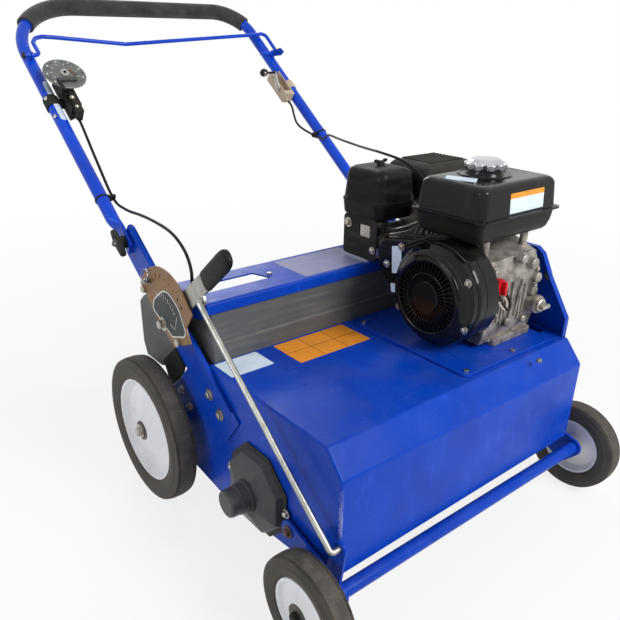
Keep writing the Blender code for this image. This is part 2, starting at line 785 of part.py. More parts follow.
def bracket_shape():
    """Return the right handle bracket in the handle frame."""
    s_span = (BRACKET_LOW_S, BRACKET_HIGH_S)
    p_span = (BRACKET_P_LOW, BRACKET_P_HIGH)
    web = prism(rounded_rectangle(s_span, p_span, 0.026, 4), OUTSIDE, BRACKET_OUT)
    flange = [
        (OUTSIDE, BRACKET_LOW_S + 0.026),
        (BRACKET_OUT + FLANGE_LOW, BRACKET_LOW_S + 0.026),
        (BRACKET_OUT + FLANGE_TOP, BRACKET_HIGH_S - 0.030),
        (BRACKET_OUT + FLANGE_TOP * 0.6, BRACKET_HIGH_S - 0.026),
        (OUTSIDE, BRACKET_HIGH_S - 0.026),
    ]
    shape = join(web, prism(flange, BRACKET_P_HIGH - BRACKET_T, BRACKET_P_HIGH, "Z"))
    shape = cut(shape, cylinder(-0.0295, 0.024, 0.004, 0.0, 1.0, sides=10))
    stud_end = TONGUE_X + TONGUE_THICKNESS / 2.0 + 0.012
    shape = join(shape, cylinder(0.0, 0.0, FOLD_STUD_R, OUTSIDE + BRACKET_T / 2.0, stud_end))
    for s in BRACKET_BOLT_S:
        shape = join(shape, cylinder(s, 0.0, 0.0065, OUTSIDE + BRACKET_T / 2.0, BRACKET_OUT + 0.005, sides=6))
    return shape


def make_handle_brackets(frame):
    """The two long brackets bolted to the side plates."""
    add_piece("handle_bracket_right", bracket_shape(), BLUE_PAINT, frame)
    add_piece("handle_bracket_left", mirrored(bracket_shape()), BLUE_PAINT, frame)


def quadrant_outline():
    """Return the depth quadrant's outline about the lever pivot as (y, z)."""
    head = arc(-0.010, 0.0, QUADRANT_R, math.radians(30.0), math.radians(146.0), 9)
    foot = [(-0.1133, 0.0543), (-0.0890, 0.0220), (-0.1028, -0.0042), (-0.0344, -0.0365), (0.0205, 0.0001)]
    return head + foot


def make_quadrant(root):
    """Quadrant plate with its index holes, the lever's stud and two stand-offs to the bracket."""
    outline = turned(quadrant_outline(), 0.0, LEVER_PIVOT_Y, LEVER_PIVOT_Z)
    shape = prism(outline, -QUADRANT_OUT, -QUADRANT_IN)
    for i in range(INDEX_COUNT):
        angle = INDEX_FIRST + INDEX_STEP * i
        spot = turned([(INDEX_RADIUS, 0.0)], angle, LEVER_PIVOT_Y, LEVER_PIVOT_Z)[0]
        shape = cut(shape, cylinder(*spot, INDEX_HOLE_R, -1.0, 1.0, sides=6))
    spot = turned([(STOP_PIN_RADIUS, 0.0)], STOP_PIN_ANGLE, LEVER_PIVOT_Y, LEVER_PIVOT_Z)[0]
    shape = cut(shape, cylinder(*spot, STOP_PIN_R + RUNNING, -1.0, 1.0, sides=12))
    seat = -(BRACKET_OUT + GAP)
    pivot = (LEVER_PIVOT_Y, LEVER_PIVOT_Z)
    shape = join(shape, cylinder(*pivot, LEVER_STUD_R, -(QUADRANT_OUT + 0.012), seat))
    shape = join(shape, cylinder(*pivot, LEVER_STUD_R * 1.7, -(LEVER_IN - GAP), seat))
    shape = join(shape, cylinder(*pivot, LEVER_STUD_R * 1.7, -(QUADRANT_IN + QUADRANT_T / 2.0), -(LEVER_OUT + GAP)))
    for dy, dz in ((0.070, 0.050), (-0.058, -0.018)):
        post = cylinder(LEVER_PIVOT_Y + dy, LEVER_PIVOT_Z + dz, 0.006, -(QUADRANT_IN + QUADRANT_T / 2.0), seat, sides=10)
        shape = join(shape, post)
    return add_piece("depth_quadrant", shape, GOLD_ZINC, root)


def lever_spot(radius, angle):
    """Return a place on the lever as (y, z)."""
    return turned([(radius, 0.0)], angle, LEVER_PIVOT_Y, LEVER_PIVOT_Z)[0]


def lever_bar(width, start, end):
    """Return the outline of a round-ended bar along the lever."""
    spots = [lever_spot(start, LEVER_ANGLE), lever_spot(end - width / 2.0, LEVER_ANGLE)]
    return hull_outline([(*spot, width / 2.0) for spot in spots], 16)


def make_depth_lever(root):
    """Flat lever with its hub and the ear that the rod hooks into."""
    pivot = (0.0, LEVER_PIVOT_Y, LEVER_PIVOT_Z)
    shape = prism(lever_bar(LEVER_WIDTH, 0.0, LEVER_LENGTH), -LEVER_OUT, -LEVER_IN)
    shape = join(shape, cylinder(LEVER_PIVOT_Y, LEVER_PIVOT_Z, LEVER_HUB_R, -LEVER_OUT, -LEVER_IN, sides=20))
    ear_root = lever_spot(ROD_JOINT_R, LEVER_ANGLE)
    ear_tip = lever_spot(ROD_JOINT_R, ROD_JOINT_ANGLE)
    ear = hull_outline([(*ear_root, LEVER_WIDTH / 2.2), (*ear_tip, 2.0 * ROD_R)], 16)
    shape = join(shape, prism(ear, -LEVER_OUT, -LEVER_IN))
    shape = cut(shape, cylinder(*ear_tip, ROD_R + RUNNING, -1.0, 1.0, sides=12))
    shape = cut(shape, cylinder(LEVER_PIVOT_Y, LEVER_PIVOT_Z, LEVER_STUD_R + RUNNING, -1.0, 1.0))
    return add_piece("depth_lever", shape, ZINC, root, pivot)


def make_lever_grip(root):
    """Vinyl grip pushed over the lever's end."""
    pivot = (0.0, LEVER_PIVOT_Y, LEVER_PIVOT_Z)
    middle = -(LEVER_IN + LEVER_OUT) / 2.0
    thick = LEVER_THICKNESS / 2.0 + LEVER_GRIP_WALL
    wide = LEVER_WIDTH / 2.0 + LEVER_GRIP_WALL
    end = LEVER_GRIP_END
    layers = (
        (LEVER_GRIP_START, 0.92),
        (LEVER_GRIP_START + 0.006, 1.0),
        (end - 0.022, 1.0),
        (end - 0.010, 0.90),
        (end - 0.003, 0.66),
        (end, 0.36),
    )
    points = [Vector((middle, *lever_spot(along, LEVER_ANGLE))) for along, _ in layers]
    rings = path_rings(points, [(wide * size, thick * size ** 0.5) for _, size in layers], 14)
    shape = loft(rings)
    slot_outline = lever_bar(LEVER_WIDTH + 2.0 * GAP, LEVER_GRIP_START - 0.05, LEVER_LENGTH + GAP)
    shape = cut(shape, prism(slot_outline, -(LEVER_OUT + GAP), -(LEVER_IN - GAP)))
    return add_piece("depth_lever_grip", shape, BLACK_PLASTIC, root, pivot)


def make_depth_rod(root):
    """Long rod with both ends bent inward, from the lever's ear to the carriage lug."""
    top = lever_spot(ROD_JOINT_R, ROD_JOINT_ANGLE)
    path = [
        (-(LEVER_IN + GAP), *top),
        (-ROD_X, *top),
        (-ROD_X, LUG_Y, LUG_Z),
        (-(ARM_IN + GAP), LUG_Y, LUG_Z),
    ]
    shape = rod(fillet(path, ROD_R * 1.2), ROD_R, 10)
    return add_piece("depth_rod", shape, ZINC, root, (0.0, *top))


def make_stop_pin(root):
    """Stop pin with its pull ring, parked in the quadrant."""
    spot = lever_spot(STOP_PIN_RADIUS, STOP_PIN_ANGLE)
    outer = -(QUADRANT_OUT + 0.016)
    shape = cylinder(*spot, STOP_PIN_R, outer, -(LEVER_OUT + GAP), sides=12)
    shape = join(shape, cylinder(*spot, STOP_PIN_R * 1.8, -(QUADRANT_OUT + 0.005), -(QUADRANT_OUT + GAP), sides=12))
    ring = lathe([(0.0095 + r, outer + 0.004 + h) for r, h in ring_points(0.0, 0.0, 0.0014, 6)][::-1], "X", *spot, 14)
    bmesh.ops.translate(ring, verts=ring.verts, vec=Vector((0.0, 0.0095, 0.0)))
    shape = join(shape, ring)
    return add_piece("stop_pin", shape, ZINC, root, (-QUADRANT_OUT, *spot))


def arm_shape(side, with_lug):
    """Return one carriage arm, with the lug for the depth rod on the left."""
    low, high = sorted((side * ARM_IN, side * ARM_OUT))
    outline = hull_outline(
        [
            (CARRIAGE_PIVOT_Y, CARRIAGE_PIVOT_Z, ARM_PIVOT_R),
            (CARRIAGE_TUBE_Y, CARRIAGE_TUBE_Z, ARM_TUBE_R),
            (FRONT_AXLE_Y, FRONT_AXLE_Z, ARM_AXLE_R),
        ]
    )
    shape = prism(outline, low, high)
    if with_lug:
        ear = hull_outline([(CARRIAGE_TUBE_Y + 0.008, CARRIAGE_TUBE_Z, ARM_TUBE_R), (LUG_Y, LUG_Z, LUG_R)])
        shape = join(shape, prism(ear, low, high))
        shape = cut(shape, cylinder(LUG_Y, LUG_Z, ROD_R + LOOSE, -1.0, 1.0, sides=14))
    return cut(shape, cylinder(CARRIAGE_PIVOT_Y, CARRIAGE_PIVOT_Z, PIVOT_STUD_R + RUNNING, -1.0, 1.0))


def wheel_stub(side, inner, wheel_x, y, z):
    """Return a stub axle with its collar and end nut."""
    hub_in = wheel_x - FRONT_TYRE_WIDTH / 2.0 - GAP
    hub_out = wheel_x + FRONT_TYRE_WIDTH / 2.0 + GAP
    pieces = []
    for radius, start, end in ((AXLE_R, inner, AXLE_END), (AXLE_R * 1.5, inner, hub_in), (CAP_NUT_R, hub_out, AXLE_END)):
        low, high = sorted((side * start, side * end))
        pieces.append(cylinder(y, z, radius, low, high))
    return join(*pieces)


def make_front_carriage(root):
    """Cross tube with two arms and the front wheels' stubs, hinged behind the front wall."""
    shape = cylinder(CARRIAGE_TUBE_Y, CARRIAGE_TUBE_Z, CARRIAGE_TUBE_R, -ARM_IN - ARM_THICKNESS / 2.0, ARM_IN + ARM_THICKNESS / 2.0)
    for side in (-1.0, 1.0):
        shape = join(shape, arm_shape(side, side < 0.0))
        shape = join(shape, wheel_stub(side, ARM_OUT - ARM_THICKNESS / 2.0, FRONT_WHEEL_X, FRONT_AXLE_Y, FRONT_AXLE_Z))
    return add_piece("front_carriage", shape, BLUE_PAINT, root, (0.0, CARRIAGE_PIVOT_Y, CARRIAGE_PIVOT_Z))


def make_rear_axle(root):
    """Through axle of the rear wheels with spacers and end nuts."""
    hub_in = REAR_WHEEL_X - REAR_TYRE_WIDTH / 2.0 - GAP
    hub_out = REAR_WHEEL_X + REAR_TYRE_WIDTH / 2.0 + GAP
    shape = cylinder(REAR_AXLE_Y, REAR_AXLE_Z, AXLE_R, -AXLE_END, AXLE_END)
    for side in (-1.0, 1.0):
        for start, end, radius in ((OUTSIDE, hub_in, AXLE_R * 1.5), (hub_out, AXLE_END, CAP_NUT_R)):
            low, high = sorted((side * start, side * end))
            shape = join(shape, cylinder(REAR_AXLE_Y, REAR_AXLE_Z, radius, low, high))
    return add_piece("rear_axle", shape, ZINC, root)


def tyre_profile(radius, rim, width):
    """Return a solid tyre's section as (radius, distance across)."""
    half = width / 2.0
    wall = radius - rim
    right = [
        (rim, half * 0.80),
        (rim + wall * 0.60, half),
        (radius - wall * 0.07, half * 0.80),
        (radius, half * 0.34),
    ]
    return [(r, -h) for r, h in right] + right[::-1]


def rim_profile(rim, width):
    """Return a dished rim's section, with its hub and bore."""
    half = width / 2.0
    bore = AXLE_R + RUNNING
    seat = rim - GAP
    return [
        (bore, -half),
        (HUB_R, -half),
        (HUB_R, -half * 0.20),
        (seat * 0.86, -half * 0.10),
        (seat, -half * 0.76),
        (seat, half * 0.76),
        (seat * 0.92, half * 0.76),
        (seat * 0.84, half * 0.24),
        (HUB_R, half * 0.20),
        (HUB_R, half),
        (bore, half),
    ]


def set_facet_down(shape, sides):
    """Turn a wheel about X until a facet lies level, and size it so that its facets touch its circle."""
    step = math.pi / sides
    grown = 1.0 / math.cos(step)
    bmesh.ops.rotate(shape, verts=shape.verts, cent=(0.0, 0.0, 0.0), matrix=Matrix.Rotation(step, 3, "X"))
    bmesh.ops.scale(shape, verts=shape.verts, vec=Vector((1.0, grown, grown)))


def make_wheels(root):
    """Four wheels, each a tyre on a rim, which stand on a facet of the tread."""
    kinds = (
        ("rear", REAR_WHEEL_X, REAR_AXLE_Y, REAR_AXLE_Z, REAR_TYRE_R, REAR_RIM_R, REAR_TYRE_WIDTH, 20),
        ("front", FRONT_WHEEL_X, FRONT_AXLE_Y, FRONT_AXLE_Z, FRONT_TYRE_R, FRONT_RIM_R, FRONT_TYRE_WIDTH, 16),
    )
    for end, x, y, z, radius, rim, width, sides in kinds:
        for side, name in ((-1.0, "left"), (1.0, "right")):
            tyre = lathe(tyre_profile(radius, rim, width), "X", 0.0, 0.0, sides)
            wheel = lathe(rim_profile(rim, width), "X", 0.0, 0.0, sides)
            if side < 0.0:
                mirrored(wheel)
            for label, shape, finish in (("tyre", tyre, RUBBER), ("rim", wheel, WHITE_RIM)):
                set_facet_down(shape, sides)
                bmesh.ops.translate(shape, verts=shape.verts, vec=Vector((side * x, y, z)))
                add_piece(f"{end}_{name}_{label}", shape, finish, root, (side * x, y, z))


def reel_ring(x, radius):
    """Return a round ring of the reel with a point for each corner of a blade."""
    return [Vector((x, REEL_Y + radius * math.cos(a), REEL_Z + radius * math.sin(a))) for a, _ in blade_corners()]


def blade_corners():
    """Return a slitting blade's corners as (angle, radius): a root and a swept tip for each tooth."""
    corners = []
    pitch = math.tau / BLADE_TEETH
    for i in range(BLADE_TEETH):
        start = pitch * i
        corners.append((start, BLADE_ROOT_R))
        corners.append((start + pitch * 0.55, BLADE_R))
        corners.append((start + pitch * 0.80, BLADE_R - 0.004))
    return corners


def blade_ring(x):
    """Return a blade's outline at one of its faces."""
    return [Vector((x, REEL_Y + r * math.cos(a), REEL_Z + r * math.sin(a))) for a, r in blade_corners()]


def make_blade_reel(root):
    """Reel shaft with its spacer tube and slitting blades, lofted as one solid."""
    left = -(HALF + REEL_SHAFT_OUT_LEFT)
    right = HALF + REEL_SHAFT_OUT_RIGHT
    hub_half = BLADE_PITCH * (BLADE_COUNT - 1) / 2.0 + BLADE_THICKNESS
    rings = [reel_ring(left, REEL_SHAFT_R), reel_ring(-hub_half, REEL_SHAFT_R), reel_ring(-hub_half, BLADE_HUB_R)]
    for i in range(BLADE_COUNT):
        x = BLADE_PITCH * (i - (BLADE_COUNT - 1) / 2.0)
        near = x - BLADE_THICKNESS / 2.0
        far = x + BLADE_THICKNESS / 2.0
        rings += [reel_ring(near, BLADE_HUB_R), blade_ring(near), blade_ring(far), reel_ring(far, BLADE_HUB_R)]
    rings += [reel_ring(hub_half, BLADE_HUB_R), reel_ring(hub_half, REEL_SHAFT_R), reel_ring(right, REEL_SHAFT_R)]
    return add_piece("blade_reel", loft(rings), STEEL, root, (0.0, REEL_Y, REEL_Z))


def pulley_profile(radius, bore):
    """Return a grooved pulley's section as (radius, distance along)."""
    half = PULLEY_WIDTH / 2.0
    lip = BELT_WIDTH / 2.0 + GAP
    floor = radius - GROOVE_DEPTH
    return [
        (bore, -half),
        (radius, -half),
        (radius, -lip - 0.001),
        (floor, -lip),
        (floor, lip),
        (radius, lip + 0.001),
        (radius, half),
        (bore, half),
    ]


def make_pulley(name, root, y, z, radius, bore, sides):
    """A grooved pulley in the belt's plane."""
    shape = lathe([(r, BELT_X + h) for r, h in pulley_profile(radius, bore)], "X", y, z, sides)
    return add_piece(name, shape, STEEL, root, (BELT_X, y, z))


def make_drive_belt(root):
    """Endless belt drawn round both pulleys' grooves."""
    flat = math.cos(math.pi / BELT_SIDES)
    engine_r = (ENGINE_PULLEY_R - GROOVE_DEPTH + GAP) / flat
    reel_r = (REEL_PULLEY_R - GROOVE_DEPTH + GAP) / flat
    inner = hull_outline([(CRANK_Y, CRANK_Z, engine_r), (REEL_Y, REEL_Z, reel_r)], BELT_SIDES)
    t = BELT_THICKNESS
    outer = hull_outline([(CRANK_Y, CRANK_Z, engine_r + t), (REEL_Y, REEL_Z, reel_r + t)], BELT_SIDES)
    half = BELT_WIDTH / 2.0
    shape = cut(prism(outer, BELT_X - half, BELT_X + half), prism(inner, 0.0, 1.0))
    return add_piece("drive_belt", shape, RUBBER, root)


def make_bearing_cover(root):
    """Eight-sided bearing housing with its nose, on the left side plate."""
    half_step = math.pi / 8.0
    levels = (
        (0.0, COVER_FLANGE_R),
        (COVER_FLANGE_T, COVER_FLANGE_R),
        (COVER_FLANGE_T, COVER_BASE_R),
        (COVER_FLANGE_T + 0.008, COVER_BASE_R * 0.94),
        (COVER_DEPTH - 0.004, COVER_TOP_R),
        (COVER_DEPTH, COVER_TOP_R - 0.004),
    )
    rings = []
    for depth, radius in levels:
        rings.append([Vector((-(OUTSIDE + depth), y, z)) for y, z in ring_points(REEL_Y, REEL_Z, radius, 8, half_step)])
    shape = loft(rings)
    nose_end = -(HALF + COVER_NOSE_OUT)
    nose = lathe(
        [(0.0, nose_end), (COVER_NOSE_R - 0.002, nose_end), (COVER_NOSE_R, nose_end + 0.003),
         (COVER_NOSE_R, -(OUTSIDE + COVER_DEPTH / 2.0)), (0.0, -(OUTSIDE + COVER_DEPTH / 2.0))],
        "X", REEL_Y, REEL_Z, 24,
    )
    shape = join(shape, nose)
    bore_end = -(HALF + REEL_SHAFT_OUT_LEFT + LOOSE)
    shape = cut(shape, cylinder(REEL_Y, REEL_Z, REEL_SHAFT_R + RUNNING, bore_end, 0.0, sides=18))
    return add_piece("bearing_cover_left", shape, GREY_PLASTIC, root, sharp=25.0)


def make_bearing_plate(root):
    """Flanged bearing housing on the right side plate."""
    shape = prism(ring_points(REEL_Y, REEL_Z, BEARING_PLATE_R, 8, math.pi / 8.0), OUTSIDE, OUTSIDE + 0.005)
    shape = join(shape, cylinder(REEL_Y, REEL_Z, BEARING_PLATE_R * 0.6, OUTSIDE + 0.002, OUTSIDE + 0.016, sides=24))
    shape = cut(shape, cylinder(REEL_Y, REEL_Z, REEL_SHAFT_R + RUNNING, 0.0, 1.0, sides=18))
    return add_piece("bearing_plate_right", shape, STEEL, root)


def hopper_outline():
    """Return the outside of the hopper's section as (y, z), without its top."""
    return [
        (HOPPER_FRONT_Y, HOPPER_FRONT_LOW_Z),
        (HOPPER_FLOOR_FRONT_Y, HOPPER_FLOOR_Z),
        (HOPPER_FLOOR_REAR_Y, HOPPER_FLOOR_Z),
        (HOPPER_REAR_Y, HOPPER_FLOOR_Z + 0.030),
        (HOPPER_REAR_Y, HOPPER_CHEEK_REAR_Z),
        (HOPPER_REAR_Y - 0.020, HOPPER_CHEEK_REAR_Z + 0.018),
        (CROSS_PLATE_REAR_Y + 0.030, HOPPER_TOP_Z),
        (HOPPER_FRONT_Y, HOPPER_TOP_Z),
    ]


def make_seed_hopper(root):
    """Moulded hopper: a front wall with a raised band, a sloping floor with outlets and two cheeks."""
    outer = prism(hopper_outline(), -HOPPER_HALF, HOPPER_HALF)
    hollow = inset_outline(hopper_outline(), HOPPER_WALL)
    inner_half = HOPPER_HALF - HOPPER_WALL
    shape = cut(outer, prism(hollow, -inner_half, inner_half))
    rear = HOPPER_REAR_Y - HOPPER_WALL * 1.5
    roof = [
        (HOPPER_FRONT_Y + HOPPER_WALL, HOPPER_TOP_Z - 0.05),
        (HOPPER_FRONT_Y + HOPPER_WALL, HOPPER_TOP_Z + 0.1),
        (rear + 0.1, HOPPER_TOP_Z + 0.1),
        (rear + 0.1, HOPPER_REAR_WALL_Z),
        (rear - 0.02, HOPPER_REAR_WALL_Z),
    ]
    shape = cut(shape, prism(roof, -inner_half, inner_half))
    band_y = (HOPPER_FRONT_Y - HOPPER_BAND_STEP, HOPPER_FRONT_Y + HOPPER_WALL / 2.0)
    shape = join(shape, box((-HOPPER_HALF, HOPPER_HALF), band_y, (HOPPER_FRONT_LOW_Z, HOPPER_BAND_Z)))
    for side in (-1.0, 1.0):
        for s in (-0.150, -0.225):
            spot = handle_point(0.0, s, 0.0)
            low, high = sorted((side * (HOPPER_HALF - HOPPER_WALL / 2.0), side * HALF))
            shape = join(shape, cylinder(spot.y, spot.z, 0.011, low, high, sides=12))
    return add_piece("seed_hopper", cut(shape, *seed_holes(0.0, HOPPER_FLOOR_Z, 0.03)), GREY_PLASTIC, root)


def seed_holes(shift, z, depth):
    """Return the cutters of a row of seed outlets as one comb of boxes."""
    y = (HOPPER_FLOOR_FRONT_Y + HOPPER_FLOOR_REAR_Y) / 2.0
    size = SEED_HOLE_SIZE / 2.0
    cutters = []
    for i in range(SEED_HOLES):
        x = shift + SEED_HOLE_PITCH * (i - (SEED_HOLES - 1) / 2.0)
        cutters.append(box((x - size, x + size), (y - size, y + size), (z - depth, z + depth)))
    return cutters


def make_seed_gate(root):
    """Slotted plate that slides under the hopper floor."""
    top = HOPPER_FLOOR_Z - GAP
    y = (HOPPER_FLOOR_FRONT_Y + 0.004, HOPPER_FLOOR_REAR_Y - 0.004)
    shape = box((-HOPPER_HALF + GATE_TRAVEL, HOPPER_HALF - GATE_TRAVEL), y, (top - GATE_T, top))
    shape = cut(shape, *seed_holes(-GATE_TRAVEL, top, GATE_T * 2.0))
    return add_piece("seed_gate", shape, ZINC, root, (0.0, y[0], top))


def make_seed_curtain(root):
    """Rubber curtain hung on the rear cross bar."""
    top = CROSS_BAR_Z + CROSS_BAR
    shape = box((-CURTAIN_HALF, CURTAIN_HALF), (CURTAIN_Y, CURTAIN_Y + CURTAIN_T), (CURTAIN_LOW_Z, top))
    return add_piece("rear_curtain", shape, RUBBER, root)


def make_cross_plate(root):
    """Folded plate over the hopper, with a window, a front lip, end flanges and the cable stop."""
    top = (CROSS_PLATE_Z - SHEET, CROSS_PLATE_Z)
    shape = box((-HALF, HALF), (CROSS_PLATE_FRONT_Y, CROSS_PLATE_REAR_Y), top)
    lip_y = (CROSS_PLATE_FRONT_Y, CROSS_PLATE_FRONT_Y + SHEET)
    shape = join(shape, box((-HALF, HALF), lip_y, (CROSS_PLATE_Z - CROSS_PLATE_LIP, CROSS_PLATE_Z - SHEET / 2.0)))
    flange = [
        (CROSS_PLATE_FRONT_Y + SHEET * 2.0, CROSS_PLATE_Z),
        (CROSS_PLATE_REAR_Y + 0.045, CROSS_PLATE_Z),
        (CROSS_PLATE_REAR_Y + 0.030, CROSS_PLATE_Z - 0.045),
        (CROSS_PLATE_REAR_Y - 0.030, CROSS_PLATE_Z - 0.060),
        (CROSS_PLATE_FRONT_Y + SHEET * 2.0, CROSS_PLATE_Z - 0.030),
    ]
    for side in (-1.0, 1.0):
        low, high = sorted((side * INSIDE, side * HALF))
        shape = join(shape, prism(flange, low, high))
    left, right = WINDOW_X
    front, rear = WINDOW_Y
    window = [(left, front), (right + WINDOW_CHAMFER, front), (right, rear), (left, rear)]
    shape = cut(shape, prism(window, 0.0, 1.0, "Z"))
    stop = cylinder(*CABLE_STOP, SEED_CABLE_R * 1.6, CROSS_PLATE_Z - SHEET / 2.0, CROSS_PLATE_Z + CABLE_STOP_H, "Z", 10)
    return add_piece("cross_plate", join(shape, stop), BLUE_PAINT, root)


def handle_path():
    """Return the handle tube's centre line in the handle frame, as one run from left to right."""
    bend = HANDLE_TOP_S - HANDLE_BEND_R
    corner = HANDLE_HALF - HANDLE_BEND_R
    turn = math.pi / 2.0
    steps = (0.0, GRIP_TURN, 0.65, 0.88, 1.10, 1.33, turn)
    half = [(-corner - HANDLE_BEND_R * math.cos(a), bend + HANDLE_BEND_R * math.sin(a)) for a in steps]
    legs = [(-TONGUE_X, TONGUE_END_S), (-TONGUE_X, TONGUE_FLAT_S), (-HANDLE_HALF, TONGUE_ROUND_S)]
    left = legs + half
    return left + [(-x, s) for x, s in left[::-1]]


def tube_radii(count):
    """Return the (across, through) radii of the handle tube at each point of its path."""
    flat = (TONGUE_WIDTH / 2.0, TONGUE_THICKNESS / 2.0)
    round_one = (HANDLE_TUBE_R, HANDLE_TUBE_R)
    return [flat, flat] + [round_one] * (count - 4) + [flat, flat]


def flattened(rings, points, count):
    """Square off the flat ends of the handle tube so that they lie face to face on the brackets."""
    limit = TONGUE_THICKNESS / 2.0
    for i in (0, 1, count - 2, count - 1):
        centre = points[i].x
        for j, corner in enumerate(rings[i]):
            across = corner.x - centre
            if abs(across) > limit * 0.3:
                rings[i][j] = Vector((centre + math.copysign(limit, across), corner.y, corner.z))
    return rings


def make_handle_tube(frame):
    """Bent handle tube with flattened ends, bored for the fold studs, and the bail's two lugs."""
    points = [Vector((x, s, 0.0)) for x, s in handle_path()]
    rings = path_rings(points, tube_radii(len(points)), TUBE_SIDES)
    shape = loft(flattened(rings, points, len(points)))
    shape = cut(shape, cylinder(0.0, 0.0, FOLD_STUD_R + RUNNING, -1.0, 1.0))
    for side in (-1.0, 1.0):
        low, high = sorted((side * (HANDLE_HALF - 0.002), side * (HANDLE_HALF + 0.002)))
        lug = hull_outline([(BAIL_PIVOT_S, BAIL_PIVOT_P, 0.009), (BAIL_PIVOT_S, HANDLE_TUBE_R * 0.6, 0.012)])
        shape = join(shape, prism(lug, low, high))
    shape = cut(shape, cylinder(BAIL_PIVOT_S, BAIL_PIVOT_P, BAIL_R + RUNNING, -1.0, 1.0, sides=14))
    return add_piece("handle_tube", shape, BLUE_TUBE, frame)


def make_handle_grip(frame):
    """Foam sleeve round the top bar and both bends."""
    inside = HANDLE_HALF - HANDLE_BEND_R * (1.0 - math.cos(GRIP_TURN)) + 1e-4
    points = [Vector((x, s, 0.0)) for x, s in handle_path()]
    held = [i for i, point in enumerate(points) if abs(point.x) <= inside and point.y > TONGUE_ROUND_S]
    skins = []
    for radius in (GRIP_R, HANDLE_TUBE_R + GAP):
        rings = path_rings(points, [(radius, radius)] * len(points), TUBE_SIDES)
        skins.append([rings[i] for i in held])
    outer, inner = skins
    shape = bmesh.new()
    layers = [[shape.verts.new(point) for point in ring] for ring in outer + inner[::-1]]
    for lower, upper in zip(layers, layers[1:] + layers[:1]):
        for i in range(TUBE_SIDES):
            after = (i + 1) % TUBE_SIDES
            shape.faces.new((lower[i], lower[after], upper[after], upper[i]))
    return add_piece("handle_grip", shape, FOAM, frame)


def knob_shape():
    """Return the right fold knob: a hub with two wings and a blind bore."""
    inner = TONGUE_X + TONGUE_THICKNESS / 2.0 + GAP
    shape = cylinder(0.0, 0.0, 0.0125, inner, inner + 0.016, sides=20)
    wing = hull_outline([(-0.026, -0.004, 0.0065), (0.026, 0.004, 0.0065), (0.0, 0.0, 0.0095)], 14)
    shape = join(shape, prism(wing, inner + 0.010, inner + 0.021))
    return cut(shape, cylinder(0.0, 0.0, FOLD_STUD_R + RUNNING, inner - 0.01, inner + 0.0135, sides=16))


def make_fold_knobs(frame):
    """Winged knobs that clamp the handle to the brackets."""
    add_piece("fold_knob_right", knob_shape(), BLACK_PLASTIC, frame)
    add_piece("fold_knob_left", mirrored(knob_shape()), BLACK_PLASTIC, frame)


def make_bail(frame):
    """Bail rod: two arms on the handle's lugs and a bar with a shallow dip."""
    end = HANDLE_HALF + 0.014
    half = BAIL_HALF
    path = [
        (-end + 0.006, BAIL_PIVOT_S, BAIL_PIVOT_P),
        (-half, BAIL_PIVOT_S, BAIL_PIVOT_P),
        (-half, BAIL_BAR_S, BAIL_BAR_P),
        (-half * 0.26, BAIL_BAR_S - BAIL_DIP, BAIL_BAR_P),
        (half, BAIL_BAR_S, BAIL_BAR_P),
        (half, BAIL_PIVOT_S, BAIL_PIVOT_P),
        (end, BAIL_PIVOT_S, BAIL_PIVOT_P),
    ]
    shape = rod(fillet(path, 0.009), BAIL_R, 10)
    return add_piece("bail_rod", shape, BLUE_TUBE, frame, (0.0, BAIL_PIVOT_S, BAIL_PIVOT_P))


def make_bail_bracket(frame):
    """Cam plate keyed to the bail's right end, outside the lug."""
    inner = HANDLE_HALF + 0.002 + GAP
    pivot = (BAIL_PIVOT_S, BAIL_PIVOT_P)
    rim = BAIL_PIVOT_P - HANDLE_TUBE_R - 2.0 * GAP
    ear = (BAIL_PIVOT_S - CAM_REACH * math.cos(CAM_RISE), BAIL_PIVOT_P + CAM_REACH * math.sin(CAM_RISE))
    outline = hull_outline([(*pivot, rim), (*ear, CAM_R)])
    shape = prism(outline, inner, inner + 0.004)
    shape = join(shape, cylinder(*ear, 0.005, inner + 0.002, inner + 0.012, sides=6))
    shape = cut(shape, cylinder(*pivot, BAIL_R + GAP, 0.0, 1.0, sides=14))
    return add_piece("bail_bracket", shape, BLUE_PAINT, frame, (0.0, *pivot))


def clamp_band(side, start, end):
    """Return a band that clips round a handle leg."""
    x = side * HANDLE_HALF
    return cylinder(x, 0.0, HANDLE_TUBE_R + CLAMP_WALL, start, end, "Y", TUBE_SIDES)


def make_dial_bracket(frame):
    """Moulded dial housing clipped to the left leg, with the dial's post and the cable's ferrule."""
    right = DIAL_X + DIAL_HOUSING_WIDTH / 2.0
    left = DIAL_X - DIAL_HOUSING_WIDTH / 2.0
    low, high = DIAL_HOUSING_S
    body = [(left, low), (right, low + 0.012), (right, high - 0.010), (right - 0.010, high), (left, high)]
    shape = prism(body, -0.006, 0.030, "Z")
    shape = join(shape, box((-HANDLE_HALF, left + 0.002), (low + 0.036, low + 0.060), (-0.004, 0.004)))
    shape = join(shape, clamp_band(-1.0, low + 0.034, low + 0.062))
    shape = cut(shape, leg_clearance(-1.0))
    shape = join(shape, cylinder(DIAL_X, DIAL_S, 0.009, 0.028, DIAL_P - DIAL_T / 2.0 - GAP, "Z", 16))
    shape = join(shape, cylinder(DIAL_X, DIAL_S, 0.003, 0.028, DIAL_P + 0.008, "Z", 10))
    ferrule = (left + 0.012, 0.010)
    shape = join(shape, cylinder(*ferrule, SEED_CABLE_R * 1.5, low - 0.012, low + 0.004, "Y", 10))
    return add_piece("dial_bracket", shape, BLACK_PLASTIC, frame)


def leg_clearance(side):
    """Return the cutter that keeps a clip clear of its handle leg."""
    return cylinder(side * HANDLE_HALF, 0.0, HANDLE_TUBE_R + GAP, 0.1, HANDLE_TOP_S - HANDLE_BEND_R, "Y", TUBE_SIDES)


